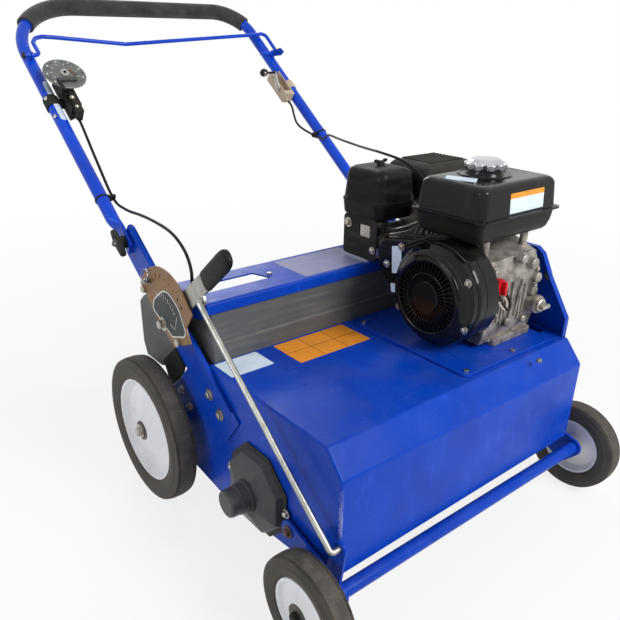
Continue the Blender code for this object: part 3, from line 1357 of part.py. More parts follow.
def make_seed_dial(frame):
    """Round seed-rate dial with a raised hub and a notched edge."""
    bottom = DIAL_P - DIAL_T / 2.0
    shape = cylinder(DIAL_X, DIAL_S, DIAL_R, bottom, bottom + DIAL_T, "Z", 28)
    shape = join(shape, cylinder(DIAL_X, DIAL_S, DIAL_R * 0.22, bottom + DIAL_T / 2.0, bottom + DIAL_T + 0.004, "Z", 16))
    for i in range(8):
        spot = turned([(DIAL_R, 0.0)], math.tau * (i + 0.5) / 8.0, DIAL_X, DIAL_S)[0]
        shape = cut(shape, cylinder(*spot, 0.004, bottom - 0.01, bottom + 0.01, "Z", 8))
    shape = cut(shape, cylinder(DIAL_X, DIAL_S, 0.003 + RUNNING, 0.0, 1.0, "Z", 10))
    return add_piece("seed_dial", shape, ZINC, frame, (DIAL_X, DIAL_S, DIAL_P))


def make_throttle_bracket(frame):
    """Folded throttle bracket clipped to the right leg, with the lever's stud and the cable's ferrule."""
    outer = HANDLE_HALF - HANDLE_TUBE_R - GAP
    inner = outer - THROTTLE_WIDTH
    low, high = THROTTLE_S
    shape = box((inner, outer), (low, high), (-0.012, 0.018))
    shape = cut(shape, box((inner + 0.003, outer - 0.003), (low + 0.014, high + 0.01), (-0.009, 0.03)))
    shape = join(shape, clamp_band(1.0, low + 0.030, low + 0.056))
    shape = join(shape, box((outer - 0.002, HANDLE_HALF), (low + 0.032, low + 0.054), (-0.004, 0.004)))
    shape = cut(shape, leg_clearance(1.0))
    pivot = (low + 0.036, 0.006)
    shape = join(shape, cylinder(*pivot, 0.004, inner - 0.008, inner + 0.002, sides=10))
    shape = join(shape, cylinder(inner + 0.010, 0.0, THROTTLE_CABLE_R * 1.5, low - 0.010, low + 0.003, "Y", 10))
    return add_piece("throttle_bracket", shape, ZINC, frame)


def make_throttle_lever(frame):
    """Throttle lever: a flat arm on the bracket's stud and a round knob."""
    inner = HANDLE_HALF - HANDLE_TUBE_R - GAP - THROTTLE_WIDTH
    pivot = (THROTTLE_S[0] + 0.036, 0.006)
    tip = (THROTTLE_KNOB_S, 0.030)
    plate_low = inner - GAP - 0.003
    shape = prism(hull_outline([(*pivot, 0.010), (*tip, 0.005)], 16), plate_low, plate_low + 0.003)
    shape = join(shape, cylinder(*tip, 0.003, inner - 0.036, plate_low + 0.001, sides=8))
    knob = inner - 0.038
    profile = [(0.0, knob - 0.011), (0.006, knob - 0.010), (0.010, knob - 0.005), (0.011, knob), (0.009, knob + 0.007),
               (0.005, knob + 0.011), (0.0, knob + 0.011)]
    shape = join(shape, lathe(profile, "X", *tip, 14))
    shape = cut(shape, cylinder(*pivot, 0.004 + RUNNING, 0.0, 1.0, sides=12))
    return add_piece("throttle_lever", shape, BLACK_PLASTIC, frame, (inner, *pivot))


def smooth_route(points, step):
    """Return points at even steps along a smooth curve through hand-chosen ones."""
    nodes = [Vector(point) for point in points]
    nodes = [nodes[0] * 2.0 - nodes[1]] + nodes + [nodes[-1] * 2.0 - nodes[-2]]
    fine = []
    for a, b, c, d in zip(nodes, nodes[1:], nodes[2:], nodes[3:]):
        for i in range(24):
            t = i / 24.0
            fine.append(
                0.5 * ((2.0 * b) + (c - a) * t + (2.0 * a - 5.0 * b + 4.0 * c - d) * t * t
                       + (3.0 * b - a - 3.0 * c + d) * t * t * t)
            )
    fine.append(nodes[-2])
    length = sum((q - p).length for p, q in zip(fine, fine[1:]))
    count = max(int(round(length / step)), 2)
    kept = [fine[0]]
    walked = 0.0
    for p, q in zip(fine, fine[1:]):
        piece = (q - p).length
        while len(kept) < count and walked + piece >= length * len(kept) / count:
            share = (length * len(kept) / count - walked) / piece
            kept.append(p.lerp(q, share))
        walked += piece
    kept.append(fine[-1])
    return kept


def add_cord(name, points, radius, root):
    """Add a cable as a bevelled curve through its route."""
    data = bpy.data.curves.new(name, "CURVE")
    data.dimensions = "3D"
    data.bevel_depth = radius
    data.bevel_resolution = 2
    data.use_fill_caps = True
    spline = data.splines.new("POLY")
    spline.points.add(len(points) - 1)
    for target, point in zip(spline.points, points):
        target.co = (*point, 1.0)
    data.materials.append(finish_material(BLACK_PLASTIC))
    cord = bpy.data.objects.new(name, data)
    cord.parent = root
    bpy.context.scene.collection.objects.link(cord)
    return cord


def make_cables(root):
    """Seed cable down the left leg and throttle cable from the right leg to the engine."""
    ferrule_x = DIAL_X - DIAL_HOUSING_WIDTH / 2.0 + 0.012
    start_s = DIAL_HOUSING_S[0] - 0.012 - GAP
    stop_top = CROSS_PLATE_Z + CABLE_STOP_H + GAP
    stop_x, stop_y = CABLE_STOP
    seed = [
        handle_point(ferrule_x, start_s, 0.010),
        handle_point(ferrule_x, start_s - 0.020, 0.010),
        handle_point(stop_x + 0.002, 0.214, 0.007),
        handle_point(stop_x - 0.001, 0.115, 0.000),
        (stop_x - 0.001, 0.699, 0.579),
        (stop_x, 0.630, 0.581),
        (stop_x, 0.576, 0.581),
        (stop_x, 0.521, 0.577),
        (stop_x, 0.484, 0.567),
        (stop_x, 0.453, 0.547),
        (stop_x, stop_y, 0.520),
        (stop_x, stop_y, stop_top),
    ]
    add_cord("seed_cable", smooth_route(seed, CORD_STEP), SEED_CABLE_R, root)
    lever_x = HANDLE_HALF - HANDLE_TUBE_R - GAP - THROTTLE_WIDTH + 0.010
    throttle_s = THROTTLE_S[0] - 0.010 - GAP
    throttle = [
        handle_point(lever_x, throttle_s, 0.0),
        handle_point(lever_x, throttle_s - 0.020, 0.0),
        handle_point(HANDLE_HALF - 0.033, 0.300, -0.020),
        handle_point(HANDLE_HALF - 0.026, 0.250, -0.008),
        handle_point(HANDLE_HALF - 0.026, 0.200, 0.020),
        (CONTROL_X + 0.1235, 0.775, 0.672),
        (CONTROL_X + 0.0895, 0.690, 0.674),
        (CONTROL_X + 0.0495, 0.580, 0.676),
        (CONTROL_X + 0.0135, 0.500, 0.681),
        (CONTROL_X, 0.455, 0.682),
        (CONTROL_X, 0.390, 0.674),
        (CONTROL_X, 0.335, 0.652),
        (CONTROL_X, CONTROL_Y, ENGINE_Z + CONTROL_H + 0.020),
        (CONTROL_X, CONTROL_Y, ENGINE_Z + CONTROL_H + GAP),
    ]
    add_cord("throttle_cable", smooth_route(throttle, CORD_STEP), THROTTLE_CABLE_R, root)


def engine_point(along, across):
    """Return a place given along and across the sloping cylinder axis, as (y, z)."""
    return turned([(along, across)], CYLINDER_ANGLE, CRANK_Y, CRANK_Z)[0]


def deck_face():
    """Return the distance from the crank to the crankcase's sloping cylinder face."""
    return CASE_Y[1] - CRANK_Y + 0.018


def make_crankcase(root):
    """Cast crankcase with its foot, front ribs, cylinder face, output flange, oil neck and tank posts."""
    low_z = ENGINE_Z + FOOT_T
    top = ENGINE_Z + CASE_TOP_H
    front, rear = CASE_Y
    face = deck_face()
    outline = [
        (front + 0.008, low_z - FOOT_T / 2.0),
        (front, low_z + 0.022),
        (front, CRANK_Z + 0.030),
        (front + 0.012, top - 0.017),
        (front + 0.060, top),
        engine_point(face, 0.040),
        engine_point(face, -0.042),
        (rear, CRANK_Z - 0.020),
        (rear, low_z - FOOT_T / 2.0),
    ]
    shape = prism(outline, *CASE_X)
    foot = prism(rounded_rectangle(FOOT_X, (FOOT_Y[0], rear + 0.004), 0.006, 2), ENGINE_Z, low_z, "Z")
    shape = join(shape, foot)
    for x in (CASE_X[0] + 0.040, CASE_X[0] + 0.068, CASE_X[0] + 0.096):
        shape = join(shape, box((x, x + 0.005), (front - 0.006, front + 0.01), (low_z + 0.030, CRANK_Z + 0.020)))
    shape = join(shape, cylinder(CRANK_Y, CRANK_Z, 0.058, CASE_X[1] - 0.002, CASE_X[1] + 0.008, sides=28))
    shape = join(shape, cylinder(OIL_X, CRANK_Z - 0.038, 0.015, front - OIL_NECK, front + 0.005, "Y", 16))
    tank_seat = ENGINE_Z + TANK_LOW_H - GAP
    for x, y in ((CASE_X[0] + 0.020, 0.135), (CASE_X[1] - 0.015, 0.135), (CASE_X[1] - 0.015, 0.215)):
        shape = join(shape, cylinder(x, y, 0.008, top - 0.030, tank_seat, "Z", 10))
    bore = cylinder(CRANK_Y, CRANK_Z, CRANK_R + RUNNING, CASE_X[1] - 0.020, 1.0, sides=18)
    return add_piece("crankcase", cut(shape, bore), CAST, root)


def make_oil_cap(root):
    """Oil filler cap with its grip bar."""
    front = CASE_Y[0] - OIL_NECK - GAP
    z = CRANK_Z - 0.038
    shape = cylinder(OIL_X, z, 0.014, front - 0.007, front, "Y", 16)
    shape = join(shape, box((OIL_X - 0.013, OIL_X + 0.013), (front - 0.018, front - 0.004), (z - 0.004, z + 0.004)))
    return add_piece("oil_cap", shape, ZINC, root, (OIL_X, front, z))


def make_crankshaft(root):
    """Output end of the crankshaft."""
    shape = cylinder(CRANK_Y, CRANK_Z, CRANK_R, CASE_X[1] - 0.018, CRANK_END_X, sides=18)
    return add_piece("crankshaft", shape, STEEL, root, (CRANK_END_X, CRANK_Y, CRANK_Z))


def cylinder_layers():
    """Return the cylinder's sections as (distance along, half width, half height)."""
    start = deck_face() + GAP
    layers = [(start, BARREL_R, BARREL_R)]
    for i in range(FIN_COUNT):
        near = start + 0.006 + FIN_PITCH * i
        far = near + FIN_T
        layers += [(near, BARREL_R, BARREL_R), (near, FIN_HALF, FIN_HALF), (far, FIN_HALF, FIN_HALF), (far, BARREL_R, BARREL_R)]
    head = start + 0.006 + FIN_PITCH * FIN_COUNT
    head_end = head + HEAD_LENGTH
    cover = HEAD_HALF * 0.84
    layers += [(head, BARREL_R, BARREL_R), (head, FIN_HALF * 0.94, HEAD_HALF), (head_end, FIN_HALF * 0.94, HEAD_HALF)]
    layers += [(head_end, cover, cover), (head_end + ROCKER_LENGTH * 0.8, cover, cover)]
    layers += [(head_end + ROCKER_LENGTH, cover * 0.85, cover * 0.85)]
    return layers


def make_cylinder(root):
    """Finned cylinder, head and rocker cover on the sloping axis, with the throttle control's bracket."""
    rings = []
    for along, wide, high in cylinder_layers():
        outline = rounded_rectangle((CYLINDER_X - wide, CYLINDER_X + wide), (-high, high), 0.010, 1)
        ring = []
        for x, across in outline:
            y, z = engine_point(along, across)
            ring.append(Vector((x, y, z)))
        rings.append(ring)
    shape = loft(rings)
    control_low = engine_point(deck_face() + 0.025, 0.0)[1]
    control = box((CONTROL_X - 0.006, CONTROL_X + 0.006), (CONTROL_Y - 0.003, CONTROL_Y + 0.003),
                  (control_low, ENGINE_Z + CONTROL_H))
    return add_piece("cylinder_head", join(shape, control), CAST, root)


def make_plug_cap(root):
    """Spark plug cap on the head's right side."""
    layers = cylinder_layers()
    along = layers[-5][0] + HEAD_LENGTH / 2.0
    y, z = engine_point(along, -0.010)
    inner = CYLINDER_X + FIN_HALF * 0.94 + GAP
    shape = lathe([(0.0, inner), (0.010, inner), (0.010, inner + 0.022), (0.007, inner + 0.028), (0.0, inner + 0.028)][::-1],
                  "X", y, z, 14)
    return add_piece("spark_plug_cap", shape, BLACK_PLASTIC, root)


def make_blower_housing(root):
    """Blower housing: a scroll round the flywheel with a duct to the cylinder, flat under the tank and at the foot."""
    corners = [
        (CRANK_Y, CRANK_Z, BLOWER_R),
        (DUCT_Y, ENGINE_Z + DUCT_TOP_H - DUCT_CORNER, DUCT_CORNER),
        (DUCT_Y, ENGINE_Z + DUCT_LOW_H, DUCT_CORNER),
    ]
    outline = hull_outline(corners, 28)
    shape = prism(outline, BLOWER_X[0] + 0.006, BLOWER_X[1])
    front = prism(inset_outline(outline, 0.005), BLOWER_X[0], BLOWER_X[0] + 0.010)
    shape = join(shape, front)
    below = box((-0.1, 1.0), (-0.2, 1.0), (0.0, ENGINE_Z + BLOWER_LOW_H))
    above = box((-0.1, 1.0), (-0.2, 1.0), (ENGINE_Z + TANK_LOW_H - 0.002, 1.0))
    return add_piece("blower_housing", cut(shape, below, above), BLACK_GLOSS, root)


def make_recoil_cover(root):
    """Domed starter cover with a ring of radial vents, three bolts and the rope outlet."""
    back = BLOWER_X[0] - GAP
    face = RECOIL_X + 0.004
    profile = [
        (0.0, back),
        (RECOIL_R, back),
        (RECOIL_R, back - 0.006),
        (RECOIL_R - 0.006, back - 0.014),
        (RECOIL_FACE_R - 0.012, face + 0.002),
        (RECOIL_VENT_OUT + 0.004, face - 0.001),
        (RECOIL_VENT_IN - 0.003, face - 0.001),
        (RECOIL_VENT_IN - 0.006, RECOIL_X),
        (0.0, RECOIL_X),
    ]
    shape = lathe(profile[::-1], "X", CRANK_Y, CRANK_Z, 30)
    for i in range(RECOIL_VENTS):
        angle = math.tau * (i + 0.3) / RECOIL_VENTS
        vent = [(RECOIL_VENT_IN, -0.0011), (RECOIL_VENT_OUT, -0.0024), (RECOIL_VENT_OUT, 0.0024), (RECOIL_VENT_IN, 0.0011)]
        shape = cut(shape, prism(turned(vent, angle, CRANK_Y, CRANK_Z), RECOIL_X - SHEET, face + 0.008))
    shape = cut(shape, box((-0.1, 1.0), (-0.2, 1.0), (0.0, ENGINE_Z + BLOWER_LOW_H)))
    outlet = turned([(RECOIL_R - 0.012, 0.0)], ROPE_ANGLE, CRANK_Y, CRANK_Z)[0]
    shape = join(shape, cylinder(*outlet, 0.012, back - 0.020, back - 0.002, sides=12))
    return add_piece("recoil_cover", shape, BLACK_GLOSS, root)


def make_starter_grip(root):
    """Starter rope grip resting on the rope outlet."""
    out = ROPE_ANGLE
    y, z = turned([(RECOIL_R + ROPE_GRIP_HALF + GAP, 0.0)], out, CRANK_Y, CRANK_Z)[0]
    x = BLOWER_X[0] - 0.011
    bar = rounded_rectangle((-ROPE_GRIP_HALF, ROPE_GRIP_HALF), (-0.024, 0.024), 0.004, 2)
    shape = prism(turned(bar, out, y, z), x - 0.008, x + 0.006)
    return add_piece("starter_grip", shape, BLACK_PLASTIC, root, (x, y, z))


def make_fuel_tank(root):
    """Pressed fuel tank with its seam flange, domed top and filler neck."""
    low = ENGINE_Z + TANK_LOW_H
    seam = ENGINE_Z + TANK_SEAM_H
    top = ENGINE_Z + TANK_TOP_H
    layers = (
        (low, 0.026),
        (low + 0.006, 0.016),
        (seam - 0.004, 0.008),
        (seam - 0.002, 0.0),
        (seam + 0.002, 0.0),
        (seam + 0.004, 0.008),
        (top - 0.022, 0.014),
        (top - 0.008, 0.022),
        (top, 0.044),
    )
    shape = box_loft(TANK_X, TANK_Y, TANK_CORNER, layers)
    neck = cylinder(FUEL_CAP_X, FUEL_CAP_Y, FUEL_CAP_R - 0.006, top - 0.008, top + 0.005, "Z", 24)
    return add_piece("fuel_tank", join(shape, neck), BLACK_GLOSS, root)


def lobed_outline(first, second, radius, lobes, depth):
    """Return a round outline with finger lobes."""
    points = []
    for i in range(lobes * 4):
        angle = math.tau * i / (lobes * 4)
        size = radius - depth * (0.0, 0.25, 1.0, 0.25)[i % 4]
        points.append((first + size * math.cos(angle), second + size * math.sin(angle)))
    return points


def make_fuel_cap(root):
    """Chromed fuel cap with finger lobes and a stepped top."""
    low = ENGINE_Z + TANK_TOP_H + 0.005 + GAP
    lobes = prism(lobed_outline(FUEL_CAP_X, FUEL_CAP_Y, FUEL_CAP_R, 12, 0.004), low, low + FUEL_CAP_H * 0.62, "Z")
    crown = lathe(
        [(0.0, low + FUEL_CAP_H), (FUEL_CAP_R * 0.62, low + FUEL_CAP_H), (FUEL_CAP_R * 0.86, low + FUEL_CAP_H * 0.6),
         (FUEL_CAP_R * 0.86, low + 0.002), (0.0, low + 0.002)],
        "Z", FUEL_CAP_X, FUEL_CAP_Y, 24,
    )
    return add_piece("fuel_cap", join(lobes, crown), CHROME, root, (FUEL_CAP_X, FUEL_CAP_Y, low))


def make_air_cleaner(root):
    """Air cleaner base, its deep cover and the wing nut on top."""
    low = ENGINE_Z + CLEANER_LOW_H
    seam = ENGINE_Z + CLEANER_SEAM_H
    top = ENGINE_Z + CLEANER_TOP_H
    base = box_loft(CLEANER_X, CLEANER_Y, CLEANER_CORNER, ((low, 0.004), (seam - 0.004, 0.001), (seam - 0.004, 0.0), (seam, 0.0)))
    boss = cylinder(CARB_X, CARB_Y, 0.017, low - 0.010, low + 0.002, "Z", 14)
    add_piece("air_cleaner_base", join(base, boss), BLACK_PLASTIC, root)
    layers = ((seam + GAP, 0.0015), (top - 0.016, 0.006), (top - 0.004, 0.012), (top, 0.024))
    add_piece("air_cleaner_cover", box_loft(CLEANER_X, CLEANER_Y, CLEANER_CORNER, layers), BLACK_PLASTIC, root)
    x = sum(CLEANER_X) / 2.0
    y = sum(CLEANER_Y) / 2.0
    nut = cylinder(x, y, 0.008, top + GAP, top + 0.008, "Z", 12)
    wings = prism(hull_outline([(x - 0.016, y, 0.0035), (x + 0.016, y, 0.0035)], 10), top + 0.004, top + 0.012, "Z")
    add_piece("air_cleaner_nut", join(nut, wings), BLACK_PLASTIC, root, (x, y, top))


def make_carburettor(root):
    """Carburettor with its bowl, intake riser, mounting flange and lever studs."""
    top = ENGINE_Z + CLEANER_LOW_H - 0.010 - GAP
    body_x = (CARB_X - 0.022, CARB_X + 0.026)
    shape = box(body_x, (CARB_Y - 0.026, CARB_Y + 0.026), (top - 0.052, top - 0.012))
    shape = join(shape, cylinder(CARB_X, CARB_Y, 0.019, top - 0.020, top, "Z", 14))
    shape = join(shape, cylinder(CARB_X, CARB_Y, 0.020, top - 0.076, top - 0.046, "Z", 16))
    seat = CYLINDER_X - FIN_HALF * 0.94 - GAP
    shape = join(shape, cylinder(CARB_Y - 0.008, top - 0.022, 0.016, body_x[1] - 0.002, seat, sides=14))
    for y, z in carburettor_studs():
        shape = join(shape, cylinder(y, z, 0.003, body_x[0] - 0.006, body_x[0] + 0.002, sides=10))
    return add_piece("carburettor", shape, CAST, root)


def carburettor_studs():
    """Return where the choke and fuel levers turn, as (y, z)."""
    top = ENGINE_Z + CLEANER_LOW_H - 0.010 - GAP
    return ((CARB_Y - 0.014, top - 0.022), (CARB_Y + 0.014, top - 0.042))


def make_carburettor_levers(root):
    """Choke lever and fuel lever on the carburettor's open side."""
    face = CARB_X - 0.022 - GAP
    names = ("choke_lever", "fuel_lever")
    reaches = ((-0.022, 0.012), (-0.024, -0.006))
    for name, (y, z), (dy, dz) in zip(names, carburettor_studs(), reaches):
        outline = hull_outline([(y, z, 0.007), (y + dy, z + dz, 0.005)], 14)
        shape = cut(prism(outline, face - 0.003, face), cylinder(y, z, 0.003 + RUNNING, -1.0, 1.0, sides=10))
        add_piece(name, shape, BLACK_PLASTIC if name == "choke_lever" else ZINC, root, (face, y, z))


def make_muffler(root):
    """Muffler guard with louvre ribs on top and the exhaust elbow to the head."""
    low = ENGINE_Z + MUFFLER_LOW_H
    top = ENGINE_Z + MUFFLER_TOP_H
    shape = box_loft(MUFFLER_X, MUFFLER_Y, 0.014, ((low, 0.006), (low + 0.008, 0.0), (top - 0.014, 0.0), (top - 0.004, 0.008), (top, 0.014)))
    count = 7
    pitch = (MUFFLER_Y[1] - MUFFLER_Y[0] - 0.044) / (count - 1)
    for i in range(count):
        y = MUFFLER_Y[0] + 0.022 + pitch * i
        slot = box((MUFFLER_X[0] + 0.024, MUFFLER_X[1] - 0.024), (y - 0.003, y + 0.003), (top - 0.005, top + 0.01))
        shape = cut(shape, slot)
    head_y, head_z = engine_point(cylinder_layers()[-5][0] + HEAD_LENGTH / 2.0, 0.014)
    seat = CYLINDER_X + FIN_HALF * 0.94 + GAP
    shape = join(shape, cylinder(seat + 0.014, head_y, 0.011, head_z - 0.008, low + 0.004, "Z", 14))
    shape = join(shape, cylinder(head_y, head_z, 0.010, seat, seat + 0.016, sides=14))
    return add_piece("muffler", shape, BLACK_PLASTIC, root)


def make_ignition_knob(root):
    """Red engine switch knob on the crankcase front."""
    back = CASE_Y[0] - GAP
    z = CRANK_Z + 0.024
    x = CASE_X[0] + 0.014
    shape = prism(lobed_outline(x, z, 0.0145, 5, 0.003), back - 0.010, back, "Y")
    shape = join(shape, box((x - 0.004, x + 0.004), (back - 0.020, back - 0.006), (z - 0.012, z + 0.012)))
    return add_piece("ignition_knob", shape, RED_PLASTIC, root, (x, back, z))


def main():
    """Build the whole machine under one root empty."""
    clear_scene()
    root = empty("machine", (0.0, -MIDDLE_Y, 0.0))
    fixed = empty("bracket_frame", (0.0, FOLD_Y, FOLD_Z), root, HANDLE_ANGLE)
    handle = empty("handle_frame", (0.0, FOLD_Y, FOLD_Z), root, HANDLE_ANGLE)
    for make in (
        make_deck_shell, make_engine_pad, make_belt_guard, make_quadrant, make_depth_lever, make_lever_grip,
        make_depth_rod, make_stop_pin, make_front_carriage, make_rear_axle, make_wheels, make_blade_reel,
        make_drive_belt, make_bearing_cover, make_bearing_plate, make_seed_hopper, make_seed_gate,
        make_seed_curtain, make_cross_plate, make_cables, make_crankcase, make_oil_cap, make_crankshaft,
        make_cylinder, make_plug_cap, make_blower_housing, make_recoil_cover, make_starter_grip, make_fuel_tank,
        make_fuel_cap, make_air_cleaner, make_carburettor, make_carburettor_levers, make_muffler,
        make_ignition_knob,
    ):
        make(root)
    make_pulley("reel_pulley", root, REEL_Y, REEL_Z, REEL_PULLEY_R, REEL_SHAFT_R + GAP, 24)
    make_pulley("engine_pulley", root, CRANK_Y, CRANK_Z, ENGINE_PULLEY_R, CRANK_R + GAP, 18)
    make_handle_brackets(fixed)
    for make in (
        make_handle_tube, make_handle_grip, make_fold_knobs, make_bail, make_bail_bracket, make_dial_bracket,
        make_seed_dial, make_throttle_bracket, make_throttle_lever,
    ):
        make(handle)


main()
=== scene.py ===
"""Looks of the walk-behind slit seeder: sheet metal, castings, wheels, controls, cables and studio.

Lengths are metres. Machine places are (x, y, z) with y = 0 on the front wall and z = 0 on the ground;
handle places are (x, s, p) with s up the handle from its fold bolt and p standing off it.
"""

from __future__ import annotations

import logging
from dataclasses import dataclass, field
from enum import Enum
from math import copysign, cos, pi, radians, sin, sqrt, tan, tau
from typing import Iterable, Sequence

import bmesh
import bpy
from mathutils import Matrix, Vector
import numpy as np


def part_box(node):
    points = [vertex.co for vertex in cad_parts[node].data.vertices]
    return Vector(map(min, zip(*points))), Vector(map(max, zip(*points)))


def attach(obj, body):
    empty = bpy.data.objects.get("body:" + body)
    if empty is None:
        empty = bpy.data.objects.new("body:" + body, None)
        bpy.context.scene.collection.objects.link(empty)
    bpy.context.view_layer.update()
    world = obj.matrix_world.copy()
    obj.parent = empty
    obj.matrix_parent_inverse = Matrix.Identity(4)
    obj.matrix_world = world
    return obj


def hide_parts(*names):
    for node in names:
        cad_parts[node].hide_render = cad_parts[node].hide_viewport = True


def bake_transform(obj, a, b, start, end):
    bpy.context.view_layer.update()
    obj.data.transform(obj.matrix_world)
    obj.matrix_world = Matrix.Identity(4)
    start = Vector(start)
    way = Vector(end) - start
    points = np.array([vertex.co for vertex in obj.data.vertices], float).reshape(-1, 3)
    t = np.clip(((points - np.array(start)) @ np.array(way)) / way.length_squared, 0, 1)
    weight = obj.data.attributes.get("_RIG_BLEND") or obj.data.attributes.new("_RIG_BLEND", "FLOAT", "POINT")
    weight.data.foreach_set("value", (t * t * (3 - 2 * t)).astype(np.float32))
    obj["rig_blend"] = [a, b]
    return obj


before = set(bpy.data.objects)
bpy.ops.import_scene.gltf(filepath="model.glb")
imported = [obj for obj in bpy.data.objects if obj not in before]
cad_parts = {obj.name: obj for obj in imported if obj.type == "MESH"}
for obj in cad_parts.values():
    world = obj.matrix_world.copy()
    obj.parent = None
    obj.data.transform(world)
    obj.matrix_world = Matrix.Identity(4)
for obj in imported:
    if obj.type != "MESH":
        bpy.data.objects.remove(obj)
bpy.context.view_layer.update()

LOG = logging.getLogger("slit_seeder")

Pair = tuple[float, float]
Outline = list[Pair]
Colour = tuple[float, float, float]
Spot = Sequence[float]
Path = Sequence[Spot]
Solid = bmesh.types.BMesh
Socket = bpy.types.NodeSocket

REEL = (0.215, 0.174)
REAR_AXLE = (0.5446, 0.155)
FRONT_AXLE = (0.006, 0.0964)
CARRIAGE_PIVOT = (0.115, 0.153)
ROD_LUG = (-0.012, 0.208)
BAIL_PIVOT = (0.5305, 0.022)
TANK = (0.19, 0.196)
CLEANER = (0.108, 0.385)

UP = (0.0, 0.0, 1.0)
RIGHT = (1.0, 0.0, 0.0)
LEFT = (-1.0, 0.0, 0.0)
AHEAD = (0.0, -1.0, 0.0)
PLAIN = (1.0, 1.0, 1.0)

FRONT_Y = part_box("deck_shell")[0].y
FOLD_Y = 0.6656
FOLD_Z = 0.5221
HANDLE_TILT = radians(36.9)
MACHINE = Matrix.Translation((0.0, FRONT_Y, 0.0))
HANDLE = MACHINE @ Matrix.Translation((0.0, FOLD_Y, FOLD_Z)) @ Matrix.Rotation(HANDLE_TILT, 4, "X")

GAP = 0.0003
SHEET = 0.003
HALF = 0.321
OUTSIDE = HALF + GAP
ENGINE_Z = 0.3646
EASED_MARK = 0.4


# Finishes


class Tree:
    """A node tree in the making."""

    def __init__(self, tree: bpy.types.NodeTree) -> None:
        """Work on a tree.

        Args:
            tree: A material's, a world's or a group's tree.
        """
        self.tree = tree

    def node(self, kind: str, inputs: dict | None = None, **settings: object) -> bpy.types.Node:
        """Add a node.

        Args:
            kind: Blender's name of the node type.
            inputs: Values or sockets for its inputs, by name or number.
            **settings: Properties of the node.

        Returns:
            The new node.
        """
        made = self.tree.nodes.new(kind)
        for name, value in settings.items():
            setattr(made, name, value)
        for key, value in (inputs or {}).items():
            if isinstance(value, Socket):
                self.tree.links.new(value, made.inputs[key])
            else:
                made.inputs[key].default_value = value
        return made

    def out(self, kind: str, inputs: dict | None = None, **settings: object) -> Socket:
        """Return the first output of a new node."""
        return self.node(kind, inputs, **settings).outputs[0]

    def math(self, operation: str, first: object, second: object) -> Socket:
        """Return two values joined by a math operation."""
        return self.out("ShaderNodeMath", {0: first, 1: second}, operation=operation)

    def times(self, first: object, second: object) -> Socket:
        """Return the product of two values."""
        return self.math("MULTIPLY", first, second)

    def seen(self) -> Socket:
        """Return 1 for rays that the camera, gloss or glass sees, and 0 for the rest."""
        rays = self.node("ShaderNodeLightPath").outputs
        return self.math("MAXIMUM", self.math("MAXIMUM", rays["Is Camera Ray"], rays["Is Glossy Ray"]),
                         rays["Is Transmission Ray"])


class Recipe(Tree):
    """A node material in the making, laid out on object coordinates."""

    def __init__(self, name: str) -> None:
        """Start a material.

        Args:
            name: The material's name.
        """
        self.material = bpy.data.materials.new(name)
        self.material.use_nodes = True
        super().__init__(self.material.node_tree)
        self.shader = self.tree.nodes["Principled BSDF"]
        place = self.node("ShaderNodeTexCoord")
        self.place = place.outputs["Object"]
        self.facing = place.outputs["Normal"]

    def stretched(self, scale: Spot, centre: Spot = (0.0, 0.0, 0.0)) -> Socket:
        """Return object coordinates about a centre, scaled along each axis."""
        shift = tuple(-c * s for c, s in zip(centre, scale))
        return self.out("ShaderNodeMapping", {"Vector": self.place, "Location": shift, "Scale": tuple(scale)})

    def noise(self, scale: float, detail: float = 3.0, stretch: Spot | None = None) -> Socket:
        """Return a noise value.

        Args:
            scale: Features per metre.
            detail: Number of finer layers.
            stretch: Scale along each axis, for streaks.

        Returns:
            The noise socket, around 0.5.
        """
        vector = self.stretched(stretch) if stretch else self.place
        return self.out("ShaderNodeTexNoise", {"Vector": vector, "Scale": scale, "Detail": detail})

    def span(self, value: Socket, low: float, high: float, start: float = 0.0, end: float = 1.0) -> Socket:
        """Return a value mapped from one span onto another and held inside it."""
        return self.out("ShaderNodeMapRange", {"Value": value, 1: low, 2: high, 3: start, 4: end})

    def blotch(self, scale: float, detail: float, low: float, high: float, start: float = 0.0,
               end: float = 1.0, stretch: Spot | None = None) -> Socket:
        """Return noise mapped from a span onto another."""
        return self.span(self.noise(scale, detail, stretch), low, high, start, end)

    def mix(self, share: object, first: object, second: object) -> Socket:
        """Return a colour between two colours."""
        first = (*first, 1.0) if isinstance(first, tuple) else first
        second = (*second, 1.0) if isinstance(second, tuple) else second
        return self.node("ShaderNodeMix", {0: share, 6: first, 7: second}, data_type="RGBA").outputs[2]

    def attribute(self, name: str) -> Socket:
        """Return a number kept on the mesh."""
        return self.node("ShaderNodeAttribute", attribute_name=name).outputs["Fac"]

    def upward(self) -> Socket:
        """Return how far the surface faces up, from 0 to 1."""
        return self.span(self.node("ShaderNodeSeparateXYZ", {0: self.facing}).outputs[2], 0.1, 0.9)

    def length(self, value: Socket) -> Socket:
        """Return a vector's length."""
        return self.node("ShaderNodeVectorMath", {0: value}, operation="LENGTH").outputs["Value"]

    def bump(self, height: Socket, strength: float, distance: float, normal: object = None) -> Socket:
        """Return a normal bent by a height."""
        keys = {"Height": height, "Strength": strength, "Distance": distance}
        return self.out("ShaderNodeBump", keys if normal is None else {**keys, "Normal": normal})

    def dress(self, colour: object, roughness: object, normal: object = None, **constants: float) -> None:
        """Join the last sockets to the shader.

        Args:
            colour: Base colour socket.
            roughness: Roughness socket.
            normal: Bump socket, or None.
            **constants: Plain numbers for the shader, with _ for spaces.
        """
        self.tree.links.new(colour, self.shader.inputs["Base Color"])
        self.tree.links.new(roughness, self.shader.inputs["Roughness"])
        if normal is not None:
            self.tree.links.new(normal, self.shader.inputs["Normal"])
        for key, value in constants.items():
            self.shader.inputs[key.replace("_", " ")].default_value = value


